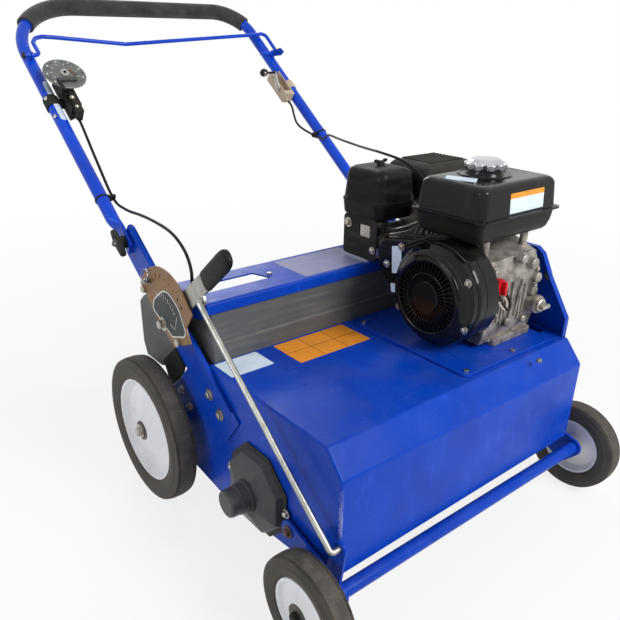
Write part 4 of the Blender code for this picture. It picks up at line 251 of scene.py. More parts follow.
class Finish:
    """A surface finish that makes its material once."""

    name: str

    def cook(self, recipe: Recipe) -> None:
        """Lay out the finish's nodes."""
        raise NotImplementedError

    def material(self) -> bpy.types.Material:
        """Return the finish's material."""
        found = bpy.data.materials.get(self.name)
        if found is None:
            recipe = Recipe(self.name)
            self.cook(recipe)
            found = recipe.material
        return found


@dataclass(frozen=True)
class Paint(Finish):
    """Powder coat or enamel on metal, chipped along its edges and dusty on top."""

    name: str
    colour: Colour
    shade: Colour
    roughness: float = 0.3
    specular: float = 0.25
    chips: float = 0.3
    dust: float = 0.25
    chip: Colour = (0.6, 0.62, 0.66)
    grime: Colour = (0.22, 0.19, 0.15)

    def cook(self, recipe: Recipe) -> None:
        """Lay out the paint's nodes."""
        patch = recipe.blotch(7.0, 3.0, 0.36, 0.64)
        base = recipe.mix(patch, self.colour, self.shade)
        scuff = recipe.blotch(55.0, 6.0, 0.6, 0.72, 0.0, 0.22, (1.0, 1.0, 0.35))
        base = recipe.mix(scuff, base, tuple(min(1.0, c * 1.5 + 0.03) for c in self.colour))
        powder = recipe.times(recipe.blotch(16.0, 5.0, 0.42, 0.78), recipe.upward())
        powder = recipe.times(powder, self.dust)
        base = recipe.mix(powder, base, self.grime)
        fine = recipe.blotch(900.0, 3.0, 0.5, 0.58, 0.0, 0.75)
        ragged = recipe.times(fine, recipe.blotch(26.0, 6.0, 0.44, 0.56))
        worn = recipe.times(recipe.span(recipe.attribute("edge"), 0.5, 0.9), ragged)
        specks = recipe.blotch(230.0, 2.0, 0.745, 0.757)
        region = recipe.blotch(11.0, 2.0, 0.56, 0.64, 0.0, self.chips)
        specks = recipe.times(specks, region)
        base = recipe.mix(recipe.math("MAXIMUM", worn, specks), base, self.chip)
        rough = recipe.blotch(24.0, 4.0, 0.3, 0.7, self.roughness - 0.05, self.roughness + 0.1)
        rough = recipe.math("ADD", rough, recipe.times(powder, 0.8))
        peel = recipe.bump(recipe.noise(520.0, 2.0), 0.012, 0.0004)
        dents = recipe.bump(recipe.noise(9.0, 1.0), 0.1, 0.004, peel)
        recipe.dress(base, rough, dents, Specular_IOR_Level=self.specular)


@dataclass(frozen=True)
class Moulding(Finish):
    """Moulded plastic or rubber with a fine grain, dust and streaks."""

    name: str
    colour: Colour
    shade: Colour
    roughness: float = 0.5
    grain: float = 900.0
    depth: float = 0.12
    dust: float = 0.3
    streak: Sequence[float] = (1.0, 1.0, 5.0)
    grime: Colour = (0.13, 0.115, 0.095)
    specular: float = 0.2

    def cook(self, recipe: Recipe) -> None:
        """Lay out the moulding's nodes."""
        base = recipe.mix(recipe.blotch(12.0, 4.0, 0.35, 0.65), self.colour, self.shade)
        film = recipe.blotch(18.0, 6.0, 0.48, 0.74, 0.0, self.dust, self.streak)
        top = recipe.times(recipe.upward(), self.dust * 0.5)
        film = recipe.math("ADD", film, top)
        base = recipe.mix(film, base, self.grime)
        edge = recipe.times(recipe.attribute("edge"), recipe.blotch(60.0, 3.0, 0.4, 0.6, 0.05, 0.3))
        base = recipe.mix(edge, base, tuple(min(1.0, c * 2.0 + 0.04) for c in self.colour))
        rough = recipe.blotch(30.0, 4.0, 0.3, 0.7, self.roughness - 0.06, self.roughness + 0.08)
        rough = recipe.math("ADD", rough, recipe.times(film, 0.3))
        skin = recipe.bump(recipe.noise(self.grain, 2.0), self.depth, 0.0004)
        recipe.dress(base, rough, skin, Specular_IOR_Level=self.specular)


@dataclass(frozen=True)
class Metal(Finish):
    """Bare, plated or cast metal with stains, and with painted shade on the faces that don't face up."""

    name: str
    colour: Colour
    stain: Colour
    roughness: float = 0.35
    stained: float = 0.5
    grain: float = 700.0
    depth: float = 0.1
    brushed: Sequence[float] = (1.0, 1.0, 1.0)
    metallic: float = 1.0
    # sides is the share of painted shade that darkens faces turned sideways or down.
    sides: float = 0.0

    def cook(self, recipe: Recipe) -> None:
        """Lay out the metal's nodes."""
        cloud = recipe.blotch(38.0, 6.0, 0.42, 0.7, 0.0, self.stained)
        base = recipe.mix(cloud, self.colour, self.stain)
        specks = recipe.blotch(240.0, 3.0, 0.6, 0.7, 0.0, self.stained * 0.7)
        base = recipe.mix(specks, base, tuple(c * 0.5 for c in self.stain))
        # Painted shade: faces turned sideways or down are darkened towards a third of the colour.
        if self.sides > 0.0:
            low = recipe.span(recipe.upward(), 0.0, 0.8, self.sides, 0.0)
            base = recipe.mix(low, base, tuple(c * 0.3 for c in self.colour))
        rough = recipe.blotch(60.0, 5.0, 0.3, 0.7, self.roughness - 0.07, self.roughness + 0.12, self.brushed)
        skin = recipe.bump(recipe.noise(self.grain, 3.0, self.brushed), self.depth, 0.0005)
        recipe.dress(base, rough, skin, Metallic=self.metallic)


@dataclass(frozen=True)
class TyreRubber(Finish):
    """Tyre rubber, dusty and pitted where it rolls and cleaner on its walls."""

    name: str
    axle: Sequence[float]
    wall_r: float
    tread_r: float
    colour: Colour = (0.04, 0.037, 0.034)
    soil: Colour = (0.12, 0.104, 0.088)

    def cook(self, recipe: Recipe) -> None:
        """Lay out the rubber's nodes round the wheel's axle."""
        about = recipe.stretched((0.0, 1.0, 1.0), self.axle)
        reach = recipe.length(about)
        rolling = recipe.span(reach, self.wall_r, self.tread_r)
        patch = recipe.blotch(46.0, 7.0, 0.34, 0.66)
        soiled = recipe.times(rolling, patch)
        wall = recipe.blotch(22.0, 4.0, 0.3, 0.75, 0.15, 0.6)
        film = recipe.math("MAXIMUM", recipe.times(soiled, 0.85), wall)
        base = recipe.mix(film, self.colour, self.soil)
        grit = recipe.blotch(330.0, 2.0, 0.7, 0.73)
        grit = recipe.times(grit, rolling)
        base = recipe.mix(recipe.times(grit, 0.7), base, (0.4, 0.37, 0.32))
        rough = recipe.span(film, 0.0, 1.0, 0.52, 0.92)
        fine = recipe.bump(recipe.noise(620.0, 3.0), 0.22, 0.0006)
        worn = recipe.bump(recipe.noise(120.0, 5.0), 0.25, 0.001, fine)
        recipe.dress(base, rough, worn, Specular_IOR_Level=0.2)


@dataclass(frozen=True)
class Sponge(Finish):
    """Closed foam of the handle grip, with fine pores darkened by painted shade."""

    name: str
    colour: Colour = (0.018, 0.018, 0.018)
    worn: Colour = (0.06, 0.058, 0.054)

    def cook(self, recipe: Recipe) -> None:
        """Lay out the foam's nodes."""
        pores = recipe.node("ShaderNodeTexVoronoi",
                            {"Vector": recipe.place, "Scale": 900.0}).outputs["Distance"]
        base = recipe.mix(recipe.blotch(30.0, 5.0, 0.4, 0.7, 0.0, 0.8), self.colour, self.worn)
        # Painted shade: the middle of each pore is darkened towards near black.
        base = recipe.mix(recipe.span(pores, 0.0, 0.35, 0.5, 0.0), base, (0.006, 0.006, 0.006))
        rough = recipe.blotch(80.0, 3.0, 0.3, 0.7, 0.82, 0.95)
        recipe.dress(base, rough, recipe.bump(pores, 0.5, 0.0008), Sheen_Weight=0.2)


@dataclass(frozen=True)
class Sticker(Finish):
    """A printed film, bare of words and signs, faded in patches and scratched."""

    name: str
    colour: Colour
    roughness: float = 0.38

    def cook(self, recipe: Recipe) -> None:
        """Lay out the film's nodes."""
        fade = tuple(c * 0.86 for c in self.colour)
        base = recipe.mix(recipe.blotch(26.0, 4.0, 0.35, 0.65), self.colour, fade)
        scratch = recipe.blotch(260.0, 4.0, 0.62, 0.7, 0.0, 0.35, (0.25, 1.0, 1.0))
        base = recipe.mix(scratch, base, (0.35, 0.33, 0.3))
        rough = recipe.blotch(50.0, 3.0, 0.3, 0.7, self.roughness - 0.05, self.roughness + 0.12)
        recipe.dress(base, rough, recipe.bump(recipe.noise(400.0, 2.0), 0.04, 0.0003),
                     Specular_IOR_Level=0.25)


BLUE = Paint("blue powder coat", (0.003, 0.054, 0.46), (0.0022, 0.043, 0.385), 0.26, 0.12, 0.35, 0.08)
TUBE_BLUE = Paint("bright blue tube coat", (0.002, 0.066, 0.64), (0.0015, 0.048, 0.52), 0.18, 0.22, 0.05,
                  0.02)
GLOSS_BLACK = Paint("gloss black enamel", (0.005, 0.005, 0.0052), (0.008, 0.0078, 0.0074), 0.13, 0.2, 0.0,
                    0.3, (0.3, 0.3, 0.3), (0.05, 0.04, 0.03))
DUSTY_BLACK = Paint("dusty black enamel", (0.0065, 0.006, 0.0055), (0.02, 0.016, 0.012), 0.34, 0.12, 0.0, 0.5,
                    (0.3, 0.3, 0.3), (0.05, 0.04, 0.03))
RIM_WHITE = Paint("white wheel enamel", (0.86, 0.86, 0.87), (0.78, 0.79, 0.81), 0.3, 0.25, 0.12, 0.35,
                  (0.3, 0.26, 0.22), (0.42, 0.36, 0.28))
SATIN_BLACK = Moulding("satin black moulding", (0.005, 0.005, 0.005), (0.009, 0.0086, 0.0082), 0.34, 700.0,
                       0.08, 0.1, specular=0.11)
MATT_BLACK = Moulding("matt black moulding", (0.009, 0.0088, 0.0085), (0.018, 0.017, 0.0155), 0.58, 500.0,
                      0.2, 0.2, specular=0.14)
HOPPER_GREY = Moulding("hopper grey moulding", (0.088, 0.094, 0.096), (0.112, 0.116, 0.116), 0.52, 600.0, 0.1,
                       0.42, (0.35, 1.0, 6.0), (0.2, 0.19, 0.17))
COVER_GREY = Moulding("dark grey moulding", (0.036, 0.04, 0.046), (0.046, 0.05, 0.056), 0.44, 650.0, 0.12,
                      0.2, PLAIN, (0.12, 0.115, 0.105), 0.3)
COVER_BLACK = Moulding("dusty black flange", (0.012, 0.012, 0.0125), (0.03, 0.029, 0.027), 0.55, 650.0, 0.16,
                       0.4, PLAIN, (0.12, 0.11, 0.095))
CURTAIN_BLACK = Moulding("black rubber sheet", (0.012, 0.012, 0.012), (0.022, 0.021, 0.019), 0.7, 300.0, 0.2,
                         0.5)
RED = Moulding("red moulding", (0.62, 0.01, 0.02), (0.48, 0.008, 0.014), 0.34, 500.0, 0.06, 0.05)
CREAM_WIRE = Moulding("cream wire", (0.62, 0.58, 0.5), (0.5, 0.46, 0.38), 0.5, 500.0, 0.05, 0.2)
ZINC = Metal("zinc plate", (0.4, 0.41, 0.38), (0.2, 0.19, 0.16), 0.34, 0.55, 500.0, 0.06)
BOLT = Metal("bolt zinc", (0.46, 0.44, 0.4), (0.22, 0.18, 0.13), 0.32, 0.65, 800.0, 0.12)
RUSTY = Metal("rusted bolt", (0.13, 0.08, 0.055), (0.07, 0.04, 0.028), 0.62, 0.9, 600.0, 0.4, PLAIN, 0.35)
GOLD_ZINC = Metal("brown zinc plate", (0.235, 0.125, 0.045), (0.15, 0.08, 0.032), 0.46, 0.8, 500.0, 0.1,
                  PLAIN, 0.12)
CAST = Metal("cast aluminium", (0.36, 0.33, 0.3), (0.06, 0.05, 0.04), 0.5, 0.85, 420.0, 0.55, PLAIN, 0.55)
STEEL = Metal("bare steel", (0.22, 0.21, 0.2), (0.1, 0.075, 0.055), 0.42, 0.8, 500.0, 0.15)
# Painted reflection: the chrome's darker colour and dark patches stand for dark reflections as well as real
# stains, and sides=0.92 darkens its sides and underside as painted shade.
CHROME = Metal("chrome plate", (0.56, 0.57, 0.6), (0.16, 0.16, 0.17), 0.1, 0.45, 500.0, 0.02, sides=0.92)
HUB_GREY = Metal("hub washer", (0.115, 0.105, 0.095), (0.06, 0.05, 0.04), 0.5, 0.8, 500.0, 0.2, PLAIN, 0.6)
FOAM = Sponge("foam sleeve")
ORANGE_FILM = Sticker("orange film", (0.9, 0.33, 0.03))
WHITE_FILM = Sticker("white film", (0.72, 0.84, 0.97))
PALE_FILM = Sticker("pale film", (0.25, 0.26, 0.44))
DARK_FILM = Sticker("dark film", (0.04, 0.048, 0.05), 0.5)
LINE_DARK = Sticker("dark print", (0.1, 0.055, 0.015))
LINE_WHITE = Sticker("white print", (0.8, 0.8, 0.8))
DIAL_GREY = Metal("dial plate", (0.165, 0.18, 0.172), (0.09, 0.095, 0.088), 0.42, 0.7, 500.0, 0.08, PLAIN,
                  0.5)
BEIGE = Moulding("beige coated plate", (0.62, 0.5, 0.38), (0.52, 0.41, 0.3), 0.45, 500.0, 0.02, 0.1)
# Painted shade: a near-black sheet put behind openings where only shade falls.
SHADOW = Moulding("painted shade inside", (0.003, 0.003, 0.003), (0.005, 0.005, 0.005), 0.8, 300.0, 0.1, 0.05)


# Shapes


def place(axis: str, along: float, first: float, second: float) -> Vector:
    """Return a point from its distance along an axis and its two other coordinates in X, Y, Z order."""
    if axis == "X":
        return Vector((along, first, second))
    if axis == "Y":
        return Vector((first, along, second))
    return Vector((first, second, along))


def loft(rings: Sequence[Sequence[Vector]], worn: Iterable[int] = (), closed: bool = False) -> Solid:
    """Join rings of as many points each into one closed skin.

    Args:
        rings: The rings in order.
        worn: Numbers of the rows of faces that are edges, where paint wears.
        closed: Whether the last ring joins the first, instead of both ends being capped.

    Returns:
        The new mesh, with its edge rows marked.
    """
    shape = bmesh.new()
    edge = shape.faces.layers.float.new("edge")
    layers = [[shape.verts.new(point) for point in ring] for ring in rings]
    marked = set(worn)
    pairs = list(zip(layers, layers[1:] + layers[:1])) if closed else list(zip(layers, layers[1:]))
    count = len(rings[0])
    for row, (lower, upper) in enumerate(pairs):
        for i in range(count):
            after = (i + 1) % count
            face = shape.faces.new((lower[i], lower[after], upper[after], upper[i]))
            face[edge] = EASED_MARK if row in marked else 0.0
    if not closed:
        shape.faces.new(layers[0])
        shape.faces.new(layers[-1])
    bmesh.ops.remove_doubles(shape, verts=shape.verts, dist=1e-7)
    bmesh.ops.recalc_face_normals(shape, faces=shape.faces)
    return shape


def around(spot: Pair, radius: float, angle: float) -> Pair:
    """Return a place at a radius and an angle round a spot."""
    return (spot[0] + radius * cos(angle), spot[1] + radius * sin(angle))


def spaced(base: float, steps: Sequence[Pair]) -> list[Pair]:
    """Return pairs with their second number counted from a base."""
    return [(other, base + step) for other, step in steps]


def arc(first: float, second: float, radius: float, start: float, end: float, steps: int) -> Outline:
    """Return points along an arc."""
    turns = [start + (end - start) * i / steps for i in range(steps + 1)]
    return [around((first, second), radius, a) for a in turns]


def circle(first: float, second: float, radius: float, count: int = 32, start: float = 0.0) -> Outline:
    """Return the corners of a regular polygon."""
    return arc(first, second, radius, start, start + tau, count)[:-1]


def drawn_in(outline: Outline, amount: float) -> Outline:
    """Return a closed outline with each edge moved inward."""
    area = sum(a[0] * b[1] - b[0] * a[1] for a, b in zip(outline, outline[1:] + outline[:1]))
    sign = 1.0 if area > 0.0 else -1.0
    moved = []
    for before, here, after in zip(outline[-1:] + outline[:-1], outline, outline[1:] + outline[:1]):
        first = Vector((here[0] - before[0], here[1] - before[1])).normalized()
        second = Vector((after[0] - here[0], after[1] - here[1])).normalized()
        normal = Vector((-first.y - second.y, first.x + second.x))
        if normal.length < 1e-9:
            moved.append(here)
            continue
        normal.normalize()
        share = max(normal.dot(Vector((-first.y, first.x))), 0.35)
        moved.append((here[0] + normal.x * sign * amount / share, here[1] + normal.y * sign * amount / share))
    return moved


def eased(outline: Outline, radius: float | Sequence[float], steps: int = 4) -> Outline:
    """Return a closed outline with its corners rounded.

    Args:
        outline: The corners in order.
        radius: One radius, or one for each corner.
        steps: Segments in each round.

    Returns:
        The rounded outline.
    """
    radii = [radius] * len(outline) if isinstance(radius, float) else list(radius)
    made: Outline = []
    corners = zip(outline[-1:] + outline[:-1], outline, outline[1:] + outline[:1], radii)
    for before, here, after, size in corners:
        corner = Vector(here)
        back = Vector(before) - corner
        ahead = Vector(after) - corner
        half = back.angle(ahead) / 2.0
        if size <= 0.0 or half > radians(88.0):
            made.append(here)
            continue
        reach = min(size / tan(half), back.length * 0.48, ahead.length * 0.48)
        size = reach * tan(half)
        middle = corner + (back.normalized() + ahead.normalized()).normalized() * (size / sin(half))
        start = corner + back.normalized() * reach - middle
        end = corner + ahead.normalized() * reach - middle
        for i in range(steps + 1):
            point = middle + start.lerp(end, i / steps).normalized() * size
            made.append((point.x, point.y))
    return made


def slab(outline: Outline, low: float, high: float, axis: str = "X", soft: float = 0.0,
         steps: int = 2) -> Solid:
    """Extrude an outline along an axis, with its rims eased.

    Args:
        outline: The closed outline in the two other axes.
        low: Where it starts along the axis.
        high: Where it ends.
        axis: X, Y or Z.
        soft: Radius of the rims.
        steps: Segments in each rim.

    Returns:
        The solid, with its rims marked as edges.
    """
    if soft <= 0.0:
        levels = [(low, 0.0), (high, 0.0)]
        worn: list[int] = []
    else:
        curve = [pi / 2.0 * i / steps for i in range(steps + 1)]
        start = [(low + soft * (1.0 - cos(a)), soft * (1.0 - sin(a))) for a in curve]
        end = [(low + high - along, inset) for along, inset in start[::-1]]
        levels = start + end
        worn = list(range(steps)) + list(range(steps + 1, 2 * steps + 1))
    rings = [[place(axis, along, a, b) for a, b in (drawn_in(outline, inset) if inset else outline)]
             for along, inset in levels]
    return loft(rings, worn)


def ring_wall(outline: Outline, inside: Outline, low: float, high: float, axis: str = "X") -> Solid:
    """Return a closed wall between two outlines of as many points."""
    rings = [
        [place(axis, low, a, b) for a, b in outline],
        [place(axis, high, a, b) for a, b in outline],
        [place(axis, high, a, b) for a, b in inside],
        [place(axis, low, a, b) for a, b in inside],
    ]
    return loft(rings, (1, 3), closed=True)


def box(x: Pair, y: Pair, z: Pair, soft: float = 0.0) -> Solid:
    """Return a box between two planes on each axis, with soft edges."""
    outline = [(y[0], z[0]), (y[1], z[0]), (y[1], z[1]), (y[0], z[1])]
    if soft > 0.0:
        outline = eased(outline, soft, 2)
    return slab(outline, x[0], x[1], "X", soft)


def lathe(profile: Sequence[Pair], axis: str, first: float, second: float, sides: int = 64,
          ring: bool = False, worn: Iterable[int] = ()) -> Solid:
    """Spin a profile about an axis.

    Args:
        profile: Points as (radius, distance along the axis).
        axis: X, Y or Z.
        first: First coordinate of the axis.
        second: Second coordinate of the axis.
        sides: Number of steps round.
        ring: Whether the profile closes on itself.
        worn: Rows of the profile that are worn edges.

    Returns:
        The solid.
    """
    marked = set(worn)
    shape = bmesh.new()
    edge = shape.faces.layers.float.new("edge")
    columns = []
    for i in range(sides):
        c, s = cos(tau * i / sides), sin(tau * i / sides)
        columns.append([shape.verts.new(place(axis, along, first + r * c, second + r * s))
                        for r, along in profile])
    rows = len(profile) if ring else len(profile) - 1
    for i in range(sides):
        here, after = columns[i], columns[(i + 1) % sides]
        for row in range(rows):
            nearby = (row + 1) % len(profile)
            face = shape.faces.new((here[row], after[row], after[nearby], here[nearby]))
            face[edge] = EASED_MARK if row in marked else 0.0
    bmesh.ops.remove_doubles(shape, verts=shape.verts, dist=1e-7)
    bmesh.ops.recalc_face_normals(shape, faces=shape.faces)
    return shape


def lobed(spot: Pair, size: float, depth: float, lobes: int, count: int) -> Outline:
    """Return a round outline with hollows between its lobes."""
    turns = [tau * i / count for i in range(count)]
    return [around(spot, size - depth * max(0.0, cos(a * lobes)) ** 2, a) for a in turns]


def belt_outline(circles: Sequence[tuple[float, float, float]], steps: int = 36) -> Outline:
    """Return the convex outline drawn tightly round circles given as (first, second, radius)."""
    points = sorted({p for first, second, radius in circles for p in circle(first, second, radius, steps)})

    def side(run: Sequence[Pair]) -> Outline:
        """Return one side of the outline."""
        kept: Outline = []
        for point in run:
            while len(kept) > 1:
                (ax, ay), (bx, by) = kept[-2], kept[-1]
                if (bx - ax) * (point[1] - ay) - (by - ay) * (point[0] - ax) > 1e-12:
                    break
                kept.pop()
            kept.append(point)
        return kept[:-1]

    return side(points) + side(points[::-1])


def rounded_rectangle(x: Pair, y: Pair, corner: float, steps: int = 6) -> Outline:
    """Return a rectangle with round corners."""
    return eased([(x[1], y[1]), (x[0], y[1]), (x[0], y[0]), (x[1], y[0])], corner, steps)


def stack(x: Pair, y: Pair, corner: float, layers: Sequence[Pair], steps: int = 8, least: float = 0.006,
          worn: Iterable[int] = ()) -> Solid:
    """Loft a round-cornered box through (height, inset) layers."""
    rings = []
    for height, inset in layers:
        across, along = (x[0] + inset, x[1] - inset), (y[0] + inset, y[1] - inset)
        outline = rounded_rectangle(across, along, max(corner - inset, least), steps)
        rings.append([Vector((a, b, height)) for a, b in outline])
    return loft(rings, worn)


def mirrored(shape: Solid) -> Solid:
    """Return a solid turned into its mirror image across the centre plane."""
    bmesh.ops.scale(shape, verts=shape.verts, vec=Vector((-1.0, 1.0, 1.0)))
    bmesh.ops.reverse_faces(shape, faces=shape.faces)
    return shape


def linked(name: str, data: bpy.types.ID) -> bpy.types.Object:
    """Return a new object in the scene."""
    made = bpy.data.objects.new(name, data)
    bpy.context.scene.collection.objects.link(made)
    return made


def loose_object(shape: Solid) -> bpy.types.Object:
    """Put a mesh into the scene and free it."""
    mesh = bpy.data.meshes.new("helper")
    shape.to_mesh(mesh)
    shape.free()
    return linked("helper", mesh)


def baked(item: bpy.types.Object) -> bpy.types.Mesh:
    """Return an object's mesh with its modifiers worked in, and remove the object."""
    graph = bpy.context.evaluated_depsgraph_get()
    mesh = bpy.data.meshes.new_from_object(item.evaluated_get(graph))
    old = item.data
    bpy.data.objects.remove(item, do_unlink=True)
    bpy.data.meshes.remove(old)
    return mesh


def cut(base: Solid, *tools: Solid) -> Solid:
    """Cut solids out of the first one."""
    for tool in tools:
        target, other = loose_object(base), loose_object(tool)
        modifier = target.modifiers.new("cut", "BOOLEAN")
        modifier.operation = "DIFFERENCE"
        modifier.solver = "EXACT"
        modifier.object = other
        base = from_mesh(baked(target))
        spare = other.data
        bpy.data.objects.remove(other, do_unlink=True)
        bpy.data.meshes.remove(spare)
    return base


def from_mesh(mesh: bpy.types.Mesh) -> Solid:
    """Return a mesh datablock as a bmesh and remove it."""
    shape = bmesh.new()
    shape.from_mesh(mesh)
    bpy.data.meshes.remove(mesh)
    return shape


def refined(node: str, width: float = 0.0008, angle: float = 32.0) -> Solid:
    """Return a merged copy of a CAD node with its sharp edges eased.

    Args:
        node: The CAD node's name.
        width: Width of the eased edges.
        angle: Edges that turn more than this many degrees are eased.

    Returns:
        The copy, in the frame's coordinates.
    """
    shape = bmesh.new()
    shape.from_mesh(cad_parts[node].data)
    shape.faces.layers.float.new("edge")
    bmesh.ops.remove_doubles(shape, verts=shape.verts, dist=2e-5)
    bmesh.ops.dissolve_limit(shape, angle_limit=radians(1.0), verts=shape.verts, edges=shape.edges)
    sharp = [e for e in shape.edges if e.is_manifold and e.calc_face_angle(0.0) > radians(angle)]
    sharp = [e for e in sharp if e.calc_length() > width * 1.5]
    made = bmesh.ops.bevel(shape, geom=sharp, offset=width, offset_type="OFFSET", segments=2, profile=0.6,
                           affect="EDGES", clamp_overlap=False)
    edge = shape.faces.layers.float["edge"]
    for face in made["faces"]:
        face[edge] = EASED_MARK
    for face in shape.faces:
        face.material_index = 0
    return shape


# Growths: what repeats or follows a path


class Growth(Tree):
    """A Geometry Nodes tree in the making, with named inputs and one realized mesh out."""

    def __init__(self, name: str) -> None:
        """Start a tree.

        Args:
            name: The tree's name.
        """
        super().__init__(bpy.data.node_groups.new(name, "GeometryNodeTree"))
        for way in ("INPUT", "OUTPUT"):
            self.tree.interface.new_socket("Geometry", in_out=way, socket_type="NodeSocketGeometry")
        self.inlet = self.node("NodeGroupInput")
        self.outlet = self.node("NodeGroupOutput")
        self.keys: dict[str, str] = {}
        self.take("Material", "Material")

    def take(self, label: str, kind: str = "Float") -> Socket:
        """Add a named input and return its socket inside the tree."""
        made = self.tree.interface.new_socket(label, in_out="INPUT", socket_type=f"NodeSocket{kind}")
        self.keys[label] = made.identifier
        return self.inlet.outputs[label]

    def named(self, name: str, kind: str = "FLOAT") -> Socket:
        """Return an attribute of the points."""
        return self.out("GeometryNodeInputNamedAttribute", {"Name": name}, data_type=kind)

    def turn(self, axis: object, angle: Socket) -> Socket:
        """Return a turn about an axis."""
        return self.out("FunctionNodeAxisAngleToRotation", {"Axis": axis, "Angle": angle})

    def shaped(self, geometry: Socket, **change: object) -> Socket:
        """Return geometry with a Translation or Rotation."""
        return self.out("GeometryNodeTransform", {"Geometry": geometry, **change})

    def moved(self, geometry: Socket, **offset: Socket) -> Socket:
        """Return geometry shifted along the named axes."""
        return self.shaped(geometry, Translation=self.out("ShaderNodeCombineXYZ", offset))

    def copies(self, points: Socket, instance: Socket, **more: Socket) -> Growth:
        """End the tree with a copy of the instance on each point."""
        return self.close(self.out("GeometryNodeInstanceOnPoints",
                                   {"Points": points, "Instance": instance, **more}))

    def close(self, geometry: Socket) -> Growth:
        """End the tree: realize its copies and give them their material."""
        real = self.out("GeometryNodeRealizeInstances", {"Geometry": geometry})
        keys = {"Geometry": real, "Material": self.inlet.outputs["Material"]}
        self.tree.links.new(self.out("GeometryNodeSetMaterial", keys), self.outlet.inputs[0])
        return self

    def grow(self, host: bpy.types.Mesh, finish: Finish, **sizes: object) -> Solid:
        """Run the tree on a mesh.

        Args:
            host: The points or path that the tree works on.
            finish: The finish of what it makes.
            **sizes: Values of the named inputs, with _ for spaces.

        Returns:
            The plain mesh that it makes.
        """
        item = linked("host", host)
        modifier = item.modifiers.new("growth", "NODES")
        modifier.node_group = self.tree
        modifier[self.keys["Material"]] = finish.material()
        for label, value in sizes.items():
            modifier[self.keys[label.replace("_", " ")]] = value
        return from_mesh(baked(item))


def tube_tree() -> Growth:
    """Return the tree that sweeps a round bar along a path with a girth at each point."""
    tree = Growth("bar along a path")
    sides = tree.take("Sides", "Int")
    curve = tree.out("GeometryNodeMeshToCurve", {"Mesh": tree.inlet.outputs["Geometry"]})
    profile = tree.out("GeometryNodeCurvePrimitiveCircle", {"Resolution": sides, "Radius": 1.0},
                       mode="RADIUS")
    keys = {"Curve": curve, "Profile Curve": profile, "Scale": tree.named("girth"), "Fill Caps": True}
    return tree.close(tree.out("GeometryNodeCurveToMesh", keys))


def bolt_tree() -> Growth:
    """Return the tree that sets a bolt head with its washer on each point, along the point's aim."""
    tree = Growth("bolt heads")
    sides = tree.take("Head Sides", "Int")
    height, washer, thick = (tree.take(label) for label in ("Head Height", "Washer Radius", "Washer Height"))
    disc = tree.out("GeometryNodeMeshCylinder", {"Vertices": 20, "Radius": washer, "Depth": thick})
    keys = {"Vertices": sides, "Radius Bottom": 1.0}
    trunk = tree.out("GeometryNodeMeshCone", {**keys, "Radius Top": 1.0, "Depth": height})
    crown = tree.out("GeometryNodeMeshCone", {**keys, "Radius Top": 0.72, "Depth": 0.16})
    whole = tree.node("GeometryNodeJoinGeometry")
    for part, rise in ((disc, tree.times(thick, 0.5)), (trunk, thick),
                       (crown, tree.math("ADD", thick, height))):
        tree.tree.links.new(tree.moved(part, Z=rise), whole.inputs[0])
    turn = tree.out("FunctionNodeAlignRotationToVector", {"Vector": tree.named("aim", "FLOAT_VECTOR")},
                    axis="Z")
    return tree.copies(tree.inlet.outputs["Geometry"], whole.outputs[0], Rotation=turn,
                       Scale=tree.named("girth"))


def spoke_tree() -> Growth:
    """Return the tree that sets bars round an axis, between two radii, along X."""
    tree = Growth("bars round an axis")
    count = tree.take("Count", "Int")
    centre = tree.take("Centre", "Vector")
    inner = tree.take("Inner Radius")
    size = tree.take("Bar Size", "Vector")
    length = tree.node("ShaderNodeSeparateXYZ", {0: size}).outputs[1]
    spoke = tree.moved(tree.out("GeometryNodeMeshCube", {"Size": size}),
                       Y=tree.math("ADD", tree.times(length, 0.5), inner))
    points = tree.out("GeometryNodeMeshLine", {"Count": count, "Offset": (0.0, 0.0, 0.0)})
    share = tree.math("DIVIDE", tree.out("GeometryNodeInputIndex"), count)
    keys = {"Points": points, "Instance": spoke, "Rotation": tree.turn(RIGHT, tree.times(share, tau))}
    return tree.close(tree.shaped(tree.out("GeometryNodeInstanceOnPoints", keys), Translation=centre))


def row_tree() -> Growth:
    """Return the tree that sets blocks in a straight row."""
    tree = Growth("blocks in a row")
    count = tree.take("Count", "Int")
    labels = ("Start", "Step", "Block Size", "Turn Axis")
    start, step, size, axis = (tree.take(label, "Vector") for label in labels)
    angle = tree.take("Turn")
    points = tree.out("GeometryNodeMeshLine", {"Count": count, "Start Location": start, "Offset": step})
    return tree.copies(points, tree.out("GeometryNodeMeshCube", {"Size": size}),
                       Rotation=tree.turn(axis, angle))


TUBE = tube_tree()
BOLTS = bolt_tree()
SPOKES = spoke_tree()
ROW = row_tree()


def path_mesh(points: Sequence[Vector], girths: Sequence[float]) -> bpy.types.Mesh:
    """Return a path as a mesh of edges, with the girth at each point."""
    mesh = bpy.data.meshes.new("path")
    mesh.from_pydata([tuple(p) for p in points], [(i, i + 1) for i in range(len(points) - 1)], [])
    mesh.attributes.new("girth", "FLOAT", "POINT").data.foreach_set("value", list(girths))
    return mesh


def one_point() -> bpy.types.Mesh:
    """Return a mesh of one point, for trees that make their own points."""
    mesh = bpy.data.meshes.new("seed")
    mesh.from_pydata([(0.0, 0.0, 0.0)], [], [])
    return mesh


def bar(points: Path, radius: float | Sequence[float], finish: Finish, sides: int = 16) -> Solid:
    """Return a round bar along a path."""
    path = [Vector(p) for p in points]
    girths = [radius] * len(path) if isinstance(radius, float) else list(radius)
    return TUBE.grow(path_mesh(path, girths), finish, Sides=sides)


